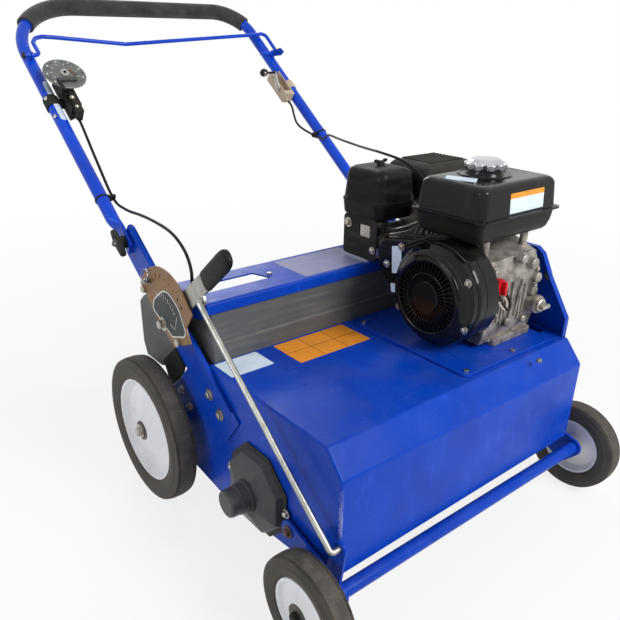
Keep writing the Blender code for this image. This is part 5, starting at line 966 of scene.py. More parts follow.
def bent(points: Path, radius: float, steps: int = 6) -> list[Vector]:
    """Return a path with its corners bent to a radius."""
    path = [Vector(p) for p in points]
    smooth = [path[0]]
    for before, corner, after in zip(path, path[1:], path[2:]):
        back, ahead = (before - corner).normalized(), (after - corner).normalized()
        half = back.angle(ahead) / 2.0
        reach = radius / tan(half)
        centre = corner + (back + ahead).normalized() * (radius / sin(half))
        start, end = corner + back * reach - centre, corner + ahead * reach - centre
        smooth += [centre + start.lerp(end, i / steps).normalized() * radius for i in range(steps + 1)]
    smooth.append(path[-1])
    return smooth


def flowing(points: Path, steps: int = 8) -> list[Vector]:
    """Return points along a smooth curve through given ones."""
    nodes = [Vector(p) for p in points]
    nodes = [nodes[0] * 2.0 - nodes[1], *nodes, nodes[-1] * 2.0 - nodes[-2]]
    fine = []
    for a, b, c, d in zip(nodes, nodes[1:], nodes[2:], nodes[3:]):
        for i in range(steps):
            t = i / steps
            fine.append(0.5 * (2.0 * b + (c - a) * t + (2.0 * a - 5.0 * b + 4.0 * c - d) * t * t
                               + (3.0 * b - a - 3.0 * c + d) * t ** 3))
    fine.append(nodes[-2])
    return fine


class Head(Enum):
    """Kinds of fastener heads, as sides, head height, washer radius and washer height in head radii."""

    HEX = (6, 0.7, 1.35, 0.2)
    FLANGE = (6, 0.8, 1.7, 0.25)
    DOME = (20, 0.35, 1.02, 0.45)
    NUT = (6, 1.0, 1.6, 0.18)


@dataclass(frozen=True)
class Bolt:
    """A bolt head: where it sits, the way it points and its radius across corners."""

    spot: Spot
    aim: Spot
    radius: float


def bolts(items: Sequence[Bolt], head: Head, finish: Finish) -> Solid:
    """Return bolt heads of one kind on their spots."""
    mesh = bpy.data.meshes.new("bolts")
    mesh.from_pydata([tuple(b.spot) for b in items], [], [])
    mesh.attributes.new("girth", "FLOAT", "POINT").data.foreach_set("value", [b.radius for b in items])
    flat = [c for b in items for c in b.aim]
    mesh.attributes.new("aim", "FLOAT_VECTOR", "POINT").data.foreach_set("vector", flat)
    sides, high, washer, thick = head.value
    return BOLTS.grow(mesh, finish, Head_Sides=sides, Head_Height=high, Washer_Radius=washer,
                      Washer_Height=thick)


# Pieces


@dataclass
class Part:
    """One solid of a piece: its shape, finish and the coordinates it is laid out in."""

    shape: bmesh.types.BMesh
    finish: Finish
    where: Matrix = field(default_factory=lambda: MACHINE)


IN_FRAME = Matrix.Identity(4)


def bolted(items: Sequence[Bolt], head: Head, finish: Finish, where: Matrix = MACHINE) -> Part:
    """Return bolt heads as one part."""
    return Part(bolts(items, head, finish), finish, where)


def rod(points: Path, radius: float, finish: Finish, sides: int = 16, where: Matrix = MACHINE) -> Part:
    """Return a round bar as one part."""
    return Part(bar(points, radius, finish, sides), finish, where)


def turned(profile: Sequence[Pair], axis: str, spot: Pair, sides: int, finish: Finish,
           ring: bool = False) -> Part:
    """Return a spun profile as one part."""
    return Part(lathe(profile, axis, *spot, sides, ring), finish)


def disc(spot: Pair, radius: float, low: float, high: float, finish: Finish, soft: float = 0.0,
         count: int = 32) -> Part:
    """Return a round plate or pin along X as one part."""
    return Part(slab(circle(*spot, radius, count), low, high, "X", soft), finish)


def beside(side: float, outline: Outline, near: float, far: float, soft: float) -> Solid:
    """Return an outline as a plate between two distances out on one side."""
    low, high = sorted((side * near, side * far))
    return slab(outline, low, high, "X", soft)


def from_cad(node: str, finish: Finish, width: float = 0.0008, angle: float = 32.0) -> Part:
    """Return a CAD node with its edges eased as one part."""
    return Part(refined(node, width, angle), finish, IN_FRAME)


def add(name: str, parts: Sequence[Part], body: str | None, replaces: Sequence[str] = (),
        sharp: float = 34.0) -> bpy.types.Object:
    """Put a piece into the scene.

    Args:
        name: The piece's name.
        parts: Its solids.
        body: The CAD body it rides on, or None where the caller blends it.
        replaces: CAD nodes that it stands for.
        sharp: Edges that turn more than this many degrees stay sharp.

    Returns:
        The new object.
    """
    whole = bmesh.new()
    whole.faces.layers.float.new("edge")
    finishes: list[Finish] = []
    for part in parts:
        if part.finish not in finishes:
            finishes.append(part.finish)
        number = finishes.index(part.finish)
        for face in part.shape.faces:
            face.material_index = number
        part.shape.transform(part.where)
        spare = bpy.data.meshes.new("spare")
        part.shape.to_mesh(spare)
        part.shape.free()
        whole.from_mesh(spare)
        bpy.data.meshes.remove(spare)
    mesh = bpy.data.meshes.new(name)
    whole.to_mesh(mesh)
    whole.free()
    mesh.shade_smooth()
    mesh.set_sharp_from_angle(angle=radians(sharp))
    for finish in finishes:
        mesh.materials.append(finish.material())
    item = linked(name, mesh)
    if body is not None:
        level = item.modifiers.new("level shading", "WEIGHTED_NORMAL")
        level.keep_sharp = True
        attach(item, body)
    if replaces:
        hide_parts(*replaces)
    LOG.info("%s: %d faces", name, len(mesh.polygons))
    return item


def dress(finish: Finish, *nodes: str) -> None:
    """Give carried-over CAD nodes a finish."""
    for node in nodes:
        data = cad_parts[node].data
        data.materials.clear()
        data.materials.append(finish.material())
        LOG.info("%s: carried over as %s", node, finish.name)


@dataclass
class Deck:
    """Folded deck, its side plates, engine pad, belt guard, handle brackets and blank films."""

    front_low: float = 0.136
    front_top: float = 0.315
    slope: float = 0.038
    top: float = 0.359
    rear_y: float = 0.3687
    fold: float = 0.0045

    def side_outline(self) -> Outline:
        """Return the side plates' outline as (y, z)."""
        return [
            (0.0, self.front_low), (0.0, self.front_top), (self.slope, self.top), (self.rear_y, self.top),
            (self.rear_y + 0.091, self.top - 0.0425), (0.5, 0.272), (0.585, 0.2), (0.585, 0.115),
            (0.441, 0.092), (0.357, 0.083), (0.172, 0.096), (0.1, 0.105),
        ]

    def shell(self) -> Solid:
        """Return the folded sheet with its side plates and cut-outs."""
        outline = self.side_outline()
        outer = slab(outline, -HALF, HALF)
        folds = {(round(y, 5), round(z, 5)) for y, z in outline[:7]}
        picked = []
        for edge in outer.edges:
            a, b = (v.co for v in edge.verts)
            here = (round(a.y, 5), round(a.z, 5)), (round(b.y, 5), round(b.z, 5))
            across = here[0] == here[1] and here[0] in {(0.0, self.front_top), (self.slope, self.top)}
            along = abs(a.x - b.x) < 1e-6 and here[0] in folds and here[1] in folds
            if across or along:
                picked.append(edge)
        made = bmesh.ops.bevel(outer, geom=picked, offset=self.fold, offset_type="OFFSET", segments=4,
                               profile=0.5, affect="EDGES", clamp_overlap=False)
        layer = outer.faces.layers.float["edge"]
        for face in made["faces"]:
            spot = face.calc_center_median()
            face[layer] = 1.0 if spot.x < -0.31 and spot.y < 0.006 and spot.z < 0.312 else EASED_MARK
        inner = [
            (SHEET, -0.1), (SHEET, self.front_top - SHEET / 3.0),
            (self.slope + SHEET / 3.0, self.top - SHEET),
            (self.rear_y, self.top - SHEET), (self.rear_y, 1.0), (1.0, 1.0), (1.0, -0.1),
        ]
        skirt = [(-0.33, 0.09), (0.33, 0.09), (0.33, 0.1455), (-0.08, 0.1405), (-0.3, 0.1372),
                 (-0.33, 0.1372)]
        belt_slot = box((0.289, 0.315), (0.087, 0.323), (self.top - 0.02, self.top + 0.02))
        return cut(
            outer, slab(inner, -HALF + SHEET, HALF - SHEET), slab(circle(*REEL, 0.0215), -1.0, 1.0),
            slab(circle(*REAR_AXLE, 0.0098), -1.0, 1.0), slab(skirt, -0.02, SHEET + 0.002, "Y"), belt_slot,
        )

    def build_shell(self) -> None:
        """Add the deck with its cross bar and the studs that the carriage turns on."""
        bar_shape = box((-0.3195, 0.3195), (0.475, 0.505), (0.232, 0.262), 0.003)
        parts = [Part(self.shell(), BLUE), Part(bar_shape, BLUE)]
        pivots = []
        for side in (-1.0, 1.0):
            parts.append(Part(beside(side, circle(*CARRIAGE_PIVOT, 0.012), 0.3205, 0.3262, 0.0006), BLUE))
            pivots.append(Bolt((side * 0.3328, *CARRIAGE_PIVOT), (side, 0.0, 0.0), 0.0068))
        parts.append(bolted(pivots, Head.FLANGE, RUSTY))
        small = [
            Bolt((0.18, 0.012, self.top), UP, 0.0045),
            Bolt((-HALF, 0.4861, 0.2555), LEFT, 0.0068),
            Bolt((-HALF, 0.4555, 0.2298), LEFT, 0.0068),
            Bolt((HALF, 0.4861, 0.2555), RIGHT, 0.0068),
            Bolt((HALF, 0.4555, 0.2298), RIGHT, 0.0068),
        ]
        parts.append(bolted(small, Head.HEX, BOLT))
        add("deck_panels", parts, "chassis", ["deck_shell"])

    def build_pad(self) -> None:
        """Add the plate under the engine."""
        shape = slab(rounded_rectangle((0.013, 0.284), (0.05, 0.345), 0.008), self.top + GAP,
                     self.top + GAP + 0.005, "Z", 0.0012)
        corners = [Bolt((x, y, self.top + GAP + 0.005), UP, 0.0045)
                   for x in (0.028, 0.166) for y in (0.062, 0.332)]
        add("engine_plate", [Part(shape, BLUE), bolted(corners, Head.DOME, BOLT)], "chassis",
            ["engine_pad"])

    def guard_outline(self, low: float) -> Outline:
        """Return the belt guard's outline as (y, z) down to a height."""
        high = self.top + 0.169
        points = [
            (0.046, low), (0.046, self.top + 0.04), (0.093, high - 0.06), (0.12, high - 0.011), (0.136, high),
            (0.24, high), (0.3, high - 0.058), (0.33, self.top + 0.045), (0.33, low),
        ]
        return eased(points, [0.002, 0.006, 0.006, 0.006, 0.006, 0.01, 0.006, 0.006, 0.002], 3)

    def build_guard(self) -> None:
        """Add the flanged belt guard and its bolts."""
        seat = self.top + GAP
        plate = slab(self.guard_outline(self.top - 0.03), OUTSIDE, OUTSIDE + SHEET, "X", 0.001)
        outer = self.guard_outline(seat)
        rim = ring_wall(outer, drawn_in(outer, SHEET), HALF - 0.01, OUTSIDE + SHEET / 2.0)
        heads = [Bolt((OUTSIDE, 0.105, 0.4728), LEFT, 0.0055), Bolt((OUTSIDE, 0.275, 0.42), LEFT, 0.0055)]
        outside = [Bolt((OUTSIDE + SHEET, y, 0.344), RIGHT, 0.006) for y in (0.085, 0.29)]
        parts = [Part(plate, BLUE), Part(rim, BLUE), bolted(heads + outside, Head.FLANGE, BOLT)]
        add("belt_guard_cover", parts, "chassis", ["belt_guard"])

    def bracket(self, mirror: bool) -> list[Part]:
        """Return a handle bracket's web, flange and bolts in the handle's coordinates."""
        face = OUTSIDE + 0.0035
        corners = [(0.0205, 0.045), (-0.4595, 0.045), (-0.4595, -0.035), (0.0205, -0.035)]
        web = slab(eased(corners, [0.026, 0.004, 0.005, 0.026], 8), OUTSIDE, face, "X", 0.0008)
        web = cut(web, slab(circle(-0.0295, 0.024, 0.004, 20), 0.0, 1.0))
        edge = [
            (OUTSIDE, -0.4335), (face + 0.004, -0.4335), (face + 0.0095, -0.0095), (face + 0.0057, -0.0055),
            (OUTSIDE, -0.0055),
        ]
        flange = slab(eased(edge, [0.001, 0.002, 0.004, 0.002, 0.001], 3), 0.0415, 0.045, "Z", 0.0008)
        stud = slab(circle(0.0, 0.0, 0.005, 20), OUTSIDE + 0.0017, 0.3455, "X", 0.0008)
        shapes = [(web, BLUE), (flange, BLUE), (stud, BOLT)]
        heads = [Bolt((face, s, 0.0), RIGHT, 0.0068) for s in (-0.372, -0.4165)]
        heads += [Bolt((face, s, 0.012), RIGHT, 0.006) for s in (-0.15, -0.225)]
        shapes.append((bolts(heads, Head.FLANGE, BOLT), BOLT))
        return [Part(mirrored(s) if mirror else s, f, HANDLE) for s, f in shapes]

    def build_brackets(self) -> None:
        """Add both handle brackets."""
        add("bracket_right", self.bracket(False), "chassis", ["handle_bracket_right"])
        add("bracket_left", self.bracket(True), "chassis", ["handle_bracket_left"])

    def build_films(self) -> None:
        """Add the films on the deck, left blank, with a plain grid on the orange one."""
        thin = 0.0003
        high = self.top + thin
        orange = [(-0.1825, 0.275), (-0.006, 0.275), (-0.006, 0.3635), (-0.1825, 0.3635)]
        parts = [Part(slab(eased(orange, 0.003, 3), self.top, high, "Z"), ORANGE_FILM)]
        lines = [box((x - 0.0006, x + 0.0006), (0.277, 0.3615),
                     (high, high + 0.0001)) for x in (-0.1237, -0.0648)]
        lines.append(box((-0.1805, -0.008), (0.3187, 0.3199), (high, high + 0.0001)))
        parts += [Part(line, LINE_DARK) for line in lines]
        white = [(-0.315, 0.3035), (-0.223, 0.3035), (-0.223, 0.3645), (-0.315, 0.3645)]
        parts.append(Part(slab(eased(white, 0.003, 3), self.top, high, "Z"), WHITE_FILM))
        add("deck_films", parts, "chassis")

    def build(self) -> None:
        """Add every piece of the deck."""
        self.build_shell()
        self.build_pad()
        self.build_guard()
        self.build_brackets()
        self.build_films()


@dataclass
class Wheel:
    """One wheel: a solid tyre with a ribbed tread on a dished rim."""

    end: str
    side: float
    x: float
    y: float
    radius: float
    rim: float
    width: float
    dished: bool

    @property
    def name(self) -> str:
        """Return the wheel's place on the machine."""
        return f"{self.end}_{'left' if self.side < 0.0 else 'right'}"

    def spin(self, profile: Sequence[Pair], sides: int = 96, ring: bool = True,
             worn: Iterable[int] = ()) -> Solid:
        """Spin a section given as (radius, distance outward) about the wheel's axle."""
        section = [(r, self.side * (self.x + h)) for r, h in profile]
        return lathe(section, "X", self.y, self.radius, sides, ring, worn)

    def tyre_section(self) -> list[Pair]:
        """Return the tyre's section with its ribs and grooves."""
        half, wall = self.width / 2.0, self.radius - self.rim
        outer = [
            (self.rim + 0.0002, half * 0.74), (self.rim + 0.0025, half * 0.8),
            (self.rim + wall * 0.1, half * 0.86), (self.rim + wall * 0.3, half * 0.965),
            (self.rim + wall * 0.55, half), (self.rim + wall * 0.6, half),
            (self.rim + wall * 0.62, half * 0.965), (self.rim + wall * 0.8, half * 0.93),
            (self.rim + wall * 0.88, half * 0.885),
        ]
        ribs = []
        for share in (0.835, 0.765, 0.695):
            crown = self.radius - wall * 0.15 * max(0.0, share - 0.3) ** 1.5
            ribs += [(crown, half * (share + 0.018)), (crown, half * (share - 0.018)),
                     (crown - 0.0009, half * (share - 0.024)), (crown - 0.0009, half * (share - 0.044))]
        smooth = [(self.radius - wall * 0.15 * max(0.0, share - 0.3) ** 1.5,
                   half * share) for share in (0.62, 0.45, 0.3, 0.1)]
        right = outer + ribs + smooth
        return right + [(r, -h) for r, h in right[::-1]]

    def rim_section(self) -> list[Pair]:
        """Return the rim's section: lips, sloping wall, disc and hub."""
        half, seat = self.width / 2.0, self.rim - GAP
        if self.dished:
            outward = [
                (seat, half * 0.7), (seat - 0.0004, half * 0.78), (seat * 0.975, half * 0.8),
                (seat * 0.955, half * 0.76), (seat * 0.945, half * 0.66), (seat * 0.88, half * 0.2),
                (seat * 0.85, half * 0.12), (seat * 0.8, half * 0.14), (seat * 0.55, half * 0.42),
                (seat * 0.36, half * 0.66), (0.03, half * 0.8), (0.0265, half * 0.86), (0.024, half * 0.9),
            ]
        else:
            outward = [
                (seat, half * 0.72), (seat - 0.001, half * 0.82), (seat * 0.92, half * 0.8),
                (seat * 0.88, half * 0.62), (seat * 0.82, half * 0.48), (seat * 0.66, half * 0.56),
                (seat * 0.5, half * 0.74), (0.0255, half * 0.86), (0.023, half * 0.9),
            ]
        inward = [
            (0.021, -half), (0.023, -half * 0.9), (0.024, -half * 0.02), (seat * 0.8, -half * 0.12),
            (seat * 0.94, -half * 0.66), (seat, -half * 0.72),
        ]
        return outward + [(0.0099, half * 0.9), (0.0099, -half)] + inward

    def build(self) -> None:
        """Add the tyre and the rim with its washer."""
        rubber = TyreRubber(f"{self.name} tyre rubber", (0.0, FRONT_Y + self.y, self.radius),
                            self.rim + 0.022, self.radius)
        body = f"{self.name}_wheel"
        add(f"{self.name}_tyre_ribbed", [Part(self.spin(self.tyre_section()), rubber)], body,
            [f"{self.name}_tyre"], 28.0)
        rim = Part(self.spin(self.rim_section(), 80), RIM_WHITE)
        half = self.width / 2.0
        washer = [(0.0099, half * 0.88), (0.0205, half * 0.88), (0.0205, half), (0.0099, half)]
        ring = Part(self.spin(washer, 48), HUB_GREY)
        add(f"{self.name}_rim_dished", [rim, ring], body, [f"{self.name}_rim"], 28.0)


@dataclass
class RunningGear:
    """Wheels, rear axle, front carriage, blade reel and belt drive."""

    axle_end: float = 0.402
    tube: Pair = (-0.0138, 0.118)
    wheels: tuple[Wheel, ...] = tuple(
        Wheel(end, side, x, *axle, rim, width, dished)
        for end, x, axle, rim, width, dished in (("rear", 0.3689, REAR_AXLE, 0.1107, 0.047, True),
                                                 ("front", 0.3765, FRONT_AXLE, 0.062, 0.044, False))
        for side in (-1.0, 1.0)
    )

    def build_axle(self) -> None:
        """Add the rear axle with its spacers and end bolts."""
        y, z = REAR_AXLE
        parts = [disc((y, z), 0.0095, -self.axle_end + 0.004, self.axle_end - 0.004, ZINC, 0.001)]
        ends = []
        for side in (-1.0, 1.0):
            parts.append(Part(beside(side, circle(y, z, 0.0143), OUTSIDE, 0.3451, 0.0008), ZINC))
            ends.append(Bolt((side * 0.3928, y, z), (side, 0.0, 0.0), 0.0108))
        parts.append(bolted(ends, Head.HEX, BOLT))
        add("rear_axle_bar", parts, "chassis", ["rear_axle"])

    def arm(self, side: float) -> Solid:
        """Return one carriage arm."""
        circles = [(*CARRIAGE_PIVOT, 0.02), (*self.tube, 0.0195), (*FRONT_AXLE, 0.0192)]
        return beside(side, belt_outline(circles, 40), 0.3265, 0.3325, 0.001)

    def build_carriage(self) -> None:
        """Add the front carriage: tube, arms, lug and wheel stubs."""
        parts = [rod([(-0.33, *self.tube), (0.33, *self.tube)], 0.0127, BLUE, 40)]
        ends = []
        for side in (-1.0, 1.0):
            parts.append(Part(self.arm(side), BLUE))
            for radius, end, finish in ((0.0143, 0.3542, BLUE), (0.0094, 0.3985, ZINC)):
                parts.append(Part(beside(side, circle(*FRONT_AXLE, radius), 0.33, end, 0.0008), finish))
            ends.append(Bolt((side * 0.3988, *FRONT_AXLE), (side, 0.0, 0.0), 0.0095))
        ear = slab(belt_outline([(0.004, 0.132, 0.0185), (*ROD_LUG, 0.013)], 40), -0.3322, -0.3268, "X",
                   0.001)
        parts.append(Part(cut(ear, slab(circle(*ROD_LUG, 0.0062, 24), -1.0, 1.0)), BLUE))
        parts.append(bolted(ends, Head.DOME, MATT_BLACK))
        add("carriage_frame", parts, "carriage", ["front_carriage"])

    def build_bearing_cover(self) -> None:
        """Add the eight-sided bearing housing with its nose and bolts."""
        y, z = REEL
        levels = [
            (0.0, 0.089), (0.003, 0.09), (0.004, 0.089), (0.0042, 0.0822), (0.016, 0.0765), (0.0185, 0.073),
            (0.0285, 0.044), (0.03, 0.041),
        ]
        parts = []
        for finish, run in ((COVER_BLACK, levels[:4]), (COVER_GREY, [(0.0038, 0.0822), *levels[4:]])):
            rings = []
            for depth, radius in run:
                outline = eased(circle(y, z, radius, 8, pi / 8.0), 0.0035, 2)
                rings.append([Vector((-(OUTSIDE + depth), a, b)) for a, b in outline])
            parts.append(Part(loft(rings, (1, 2)), finish))
        nose = [(0.0, -0.393), (0.0205, -0.393), (0.0238, -0.3915), (0.025, -0.388), (0.0256, -0.372),
                (0.0272, -0.3712), (0.0272, -0.334), (0.0, -0.334)]
        parts.append(Part(lathe(nose, "X", y, z, 56, worn=(1, 2)), COVER_GREY))
        collar = [(0.0, -0.3565), (0.0295, -0.3565), (0.0305, -0.355), (0.0305, -0.34), (0.0, -0.34)]
        parts.append(turned(collar, "X", (y, z), 56, COVER_GREY))
        heads = [Bolt((-(OUTSIDE + 0.004), *around((y, z), 0.0845, a)), LEFT, 0.0055)
                 for a in (radians(178.0), radians(2.0))]
        parts.append(bolted(heads, Head.FLANGE, BOLT))
        add("bearing_housing_left", parts, "chassis", ["bearing_cover_left"], 20.0)

    def build_bearing_plate(self) -> None:
        """Add the flanged housing on the right."""
        y, z = REEL
        plate = slab(eased(circle(y, z, 0.055, 8, pi / 8.0), 0.006, 3), OUTSIDE, OUTSIDE + 0.005, "X", 0.0008)
        boss = [(0.0135, 0.323), (0.033, 0.323), (0.033, 0.334), (0.03, 0.337), (0.017, 0.3373),
                (0.0135, 0.336)]
        heads = [Bolt((OUTSIDE + 0.005, *around((y, z), 0.044, a)), RIGHT, 0.0055)
                 for a in (0.8, 2.37, 3.94, 5.5)]
        parts = [Part(plate, STEEL), turned(boss, "X", (y, z), 48, STEEL, True),
                 bolted(heads, Head.FLANGE, BOLT)]
        add("bearing_housing_right", parts, "chassis", ["bearing_plate_right"])

    def build(self) -> None:
        """Add every piece of the running gear and dress the carried-over ones."""
        for wheel in self.wheels:
            wheel.build()
        self.build_axle()
        self.build_carriage()
        self.build_bearing_cover()
        self.build_bearing_plate()
        dress(STEEL, "blade_reel", "reel_pulley", "engine_pulley", "crankshaft")
        dress(MATT_BLACK, "drive_belt")


@dataclass
class DepthControl:
    """Quadrant, depth lever with its grip, connecting rod and stop pin."""

    pivot_y: float = 0.4895
    pivot_z: float = 0.406
    angle: float = radians(140.0)
    rod_angle: float = radians(147.1)
    rod_reach: float = 0.168
    rod_x: float = 0.3485

    def reach(self, radius: float, angle: float) -> Pair:
        """Return a place about the lever's pivot as (y, z)."""
        return around((self.pivot_y, self.pivot_z), radius, angle)

    def pin_spot(self) -> Pair:
        """Return the stop pin's place as (y, z)."""
        return self.reach(0.0886, radians(58.0))

    def local(self, points: Outline) -> Outline:
        """Return points laid out about the pivot, moved to the machine's coordinates."""
        return [(self.pivot_y + a, self.pivot_z + b) for a, b in points]

    def build_quadrant(self) -> None:
        """Add the quadrant with its index holes, blank dial panel, bolts and stand-offs."""
        head = arc(-0.01, 0.0, 0.114, radians(30.0), radians(146.0), 28)
        foot = [(-0.1133, 0.0543), (-0.089, 0.022), (-0.1028, -0.0042), (-0.0344, -0.0365), (0.0205, 0.0001)]
        plate = slab(self.local(head + foot), -0.348, -0.345, "X", 0.0006)
        for i in range(7):
            y, z = self.reach(0.095, radians(80.0 + 10.5 * i))
            plate = cut(plate, slab(circle(y, z, 0.0032, 16), -1.0, 1.0))
        plate = cut(plate, slab(circle(*self.pin_spot(), 0.0044, 20), -1.0, 1.0))
        parts = [Part(plate, GOLD_ZINC)]
        panel = eased([(0.04, 0.018), (0.035, 0.04), (-0.02, 0.08), (-0.066, 0.055), (-0.0905, 0.012),
                       (-0.08, 0.0), (-0.034, -0.016)], [0.01, 0.026, 0.045, 0.04, 0.01, 0.006, 0.008], 5)
        face = self.local(panel)
        parts.append(Part(slab(face, -0.3484, -0.348, "X"), DARK_FILM))
        parts.append(Part(ring_wall(face, drawn_in(face, 0.0026), -0.3487, -0.348), LINE_WHITE))
        ticks = []
        for i in range(11):
            a = radians(72.0 + 7.0 * i)
            start, end = self.reach(0.058 if i % 2 else 0.054, a), self.reach(0.064, a)
            ticks.append(bar([(-0.3485, *start), (-0.3485, *end)], 0.00055, LINE_WHITE, 6))
        pointer = [self.local([p])[0] for p in ((-0.058, 0.034), (-0.046, 0.004), (-0.03, 0.01))]
        ticks.append(bar([(-0.3485, *p) for p in pointer], 0.0006, LINE_WHITE, 6))
        parts += [Part(tick, LINE_WHITE) for tick in ticks]
        pivot = (self.pivot_y, self.pivot_z)
        parts.append(disc(pivot, 0.0119, -0.3362, -0.3251, GOLD_ZINC, 0.0006, 28))
        parts.append(disc(pivot, 0.007, -0.36, -0.3251, BOLT, 0.001, 28))
        parts.append(bolted([Bolt((-0.348, *pivot), LEFT, 0.0088)], Head.NUT, BOLT))
        heads = []
        for dy, dz in ((0.07, 0.05), (-0.058, -0.018)):
            y, z = self.pivot_y + dy, self.pivot_z + dz
            parts.append(disc((y, z), 0.006, -0.3455, -0.3251, ZINC, 0.0004, 24))
            heads.append(Bolt((-0.348, y, z), LEFT, 0.0075))
        parts.append(bolted(heads, Head.DOME, BOLT))
        add("quadrant_plate", parts, "chassis", ["depth_quadrant"])

    def build_lever(self) -> None:
        """Add the flat lever and its vinyl grip."""
        start, end = self.reach(0.0, self.angle), self.reach(0.275, self.angle)
        body = belt_outline([(*start, 0.021), (*self.reach(0.03, self.angle), 0.015), (*end, 0.015)], 48)
        tip = self.reach(self.rod_reach, self.rod_angle)
        ear = belt_outline([(*self.reach(self.rod_reach, self.angle), 0.0136), (*tip, 0.01)], 40)
        hole = slab(circle(*tip, 0.0054, 20), -1.0, 1.0)
        shapes = [slab(body, -0.3425, -0.3365, "X", 0.001),
                  cut(slab(ear, -0.3423, -0.3367, "X", 0.001), hole)]
        add("lever_bar", [Part(s, ZINC) for s in shapes], "lever", ["depth_lever"])
        middle = -0.3395
        layers = [
            (0.2, 0.86), (0.2008, 0.96), (0.203, 1.0), (0.256, 1.0), (0.27, 1.0), (0.28, 0.985),
            (0.288, 0.93), (0.294, 0.83), (0.2985, 0.66), (0.301, 0.44), (0.302, 0.18),
        ]
        rings = []
        wide, thick = 0.0185, 0.0065
        across = Vector((0.0, -sin(self.angle), cos(self.angle)))
        for along, size in layers:
            centre = Vector((middle, *self.reach(along, self.angle)))
            ring = []
            for i in range(36):
                a = tau * i / 36
                c, s = cos(a), sin(a)
                u = copysign(abs(c) ** 0.55, c) * wide * size
                v = copysign(abs(s) ** 0.75, s) * thick * size ** 0.5
                ring.append(centre + across * u + Vector((v, 0.0, 0.0)))
            rings.append(ring)
        add("lever_sleeve", [Part(loft(rings, (0, 1)), SATIN_BLACK)], "lever",
            ["depth_lever_grip"], 50.0)

    def build_rod(self) -> None:
        """Add the bright connecting rod with its bent ends."""
        top = self.reach(self.rod_reach, self.rod_angle)
        path = bent([(-0.3368, *top), (-self.rod_x, *top), (-self.rod_x, *ROD_LUG), (-0.3268, *ROD_LUG)],
                    0.006, 6)
        parts = [rod(path, 0.005, ZINC, 28)]
        add("connecting_rod", parts, "rod", ["depth_rod"])

    def build_pin(self) -> None:
        """Add the stop pin with its collar and split ring."""
        spot = self.pin_spot()
        parts = [
            disc(spot, 0.0039, -0.361, -0.343, CHROME, 0.0008, 24),
            disc(spot, 0.007, -0.35, -0.3483, CHROME, 0.0006, 28),
            disc(spot, 0.0058, -0.356, -0.35, CHROME, 0.001, 28),
        ]
        y, z = spot
        loop = [(-0.357 + 0.004 * sin(a), y + 0.0125 * cos(a), z + 0.0095 + 0.0125 * sin(a))
                for a in (tau * i / 40 for i in range(41))]
        parts.append(rod(loop, 0.0011, CHROME, 8))
        add("stop_pin_ring", parts, "stop_pin", ["stop_pin"])

    def build(self) -> None:
        """Add every piece of the depth control."""
        self.build_quadrant()
        self.build_lever()
        self.build_rod()
        self.build_pin()


@dataclass
class SeedUnit:
    """Hopper, gate, curtain and the plate over the hopper."""

    plate_z: float = 0.478
    front_y: float = 0.368
    rear_y: float = 0.5

    def build_plate(self) -> None:
        """Add the folded plate with its window, lip, end flanges, cable stop and films."""
        z = self.plate_z
        section = [(self.front_y, z - 0.022), (self.front_y, z), (self.rear_y, z), (self.rear_y, z - SHEET),
                   (self.front_y + SHEET, z - SHEET), (self.front_y + SHEET, z - 0.022)]
        sheet = slab(eased(section, [0.0012, 0.0055, 0.0012, 0.0012, 0.0025, 0.0012], 5), -HALF, HALF, "X",
                     0.0008)
        window = eased([(-0.294, 0.418), (-0.147, 0.418), (-0.162, 0.461), (-0.294, 0.461)],
                       [0.004, 0.003, 0.003, 0.004], 4)
        parts = [Part(cut(sheet, slab(window, 0.3, 0.6, "Z")), BLUE)]
        flange = eased(spaced(z, [(self.front_y + 0.006, -0.001), (self.rear_y + 0.045, -0.001),
                                  (self.rear_y + 0.03, -0.045), (self.rear_y - 0.03, -0.06),
                                  (self.front_y + 0.006, -0.03)]), 0.008, 4)
        for side in (-1.0, 1.0):
            parts.append(Part(beside(side, flange, HALF - SHEET, HALF, 0.0006), BLUE))
        stop = spaced(z, [(0.0, -0.001), (0.008, -0.001), (0.008, 0.003), (0.0048, 0.0035), (0.0048, 0.012),
                          (0.0, 0.012)])
        parts.append(turned(stop, "Z", (-0.31, 0.438), 28, MATT_BLACK))
        heads = [Bolt((-0.1404, 0.4325, z), UP, 0.0052)]
        parts.append(bolted(heads, Head.DOME, BOLT))
        film = [(-0.09, 0.38), (0.09, 0.38), (0.09, 0.49), (-0.09, 0.49)]
        parts.append(Part(slab(eased(film, 0.002, 2), z, z + 0.00025, "Z"), PALE_FILM))
        add("hopper_plate", parts, "chassis", ["cross_plate"])

    def build(self) -> None:
        """Add the plate and dress the carried-over hopper, gate and curtain."""
        self.build_plate()
        # Painted shade: a matt black plate stands for the grey hopper's lower end behind the side plate, black
        # because it lies in shade.
        shaded_hopper_end = slab(eased([(0.572, 0.286), (0.515, 0.336), (0.48, 0.306), (0.5, 0.262), (0.545, 0.236)],
                          0.004, 3), -0.3165, -0.3125, "X", 0.0008)
        add("hopper_moulding", [from_cad("seed_hopper", HOPPER_GREY, 0.0016), Part(shaded_hopper_end, MATT_BLACK)],
            "chassis", ["seed_hopper"])
        dress(ZINC, "seed_gate")
        dress(CURTAIN_BLACK, "rear_curtain")


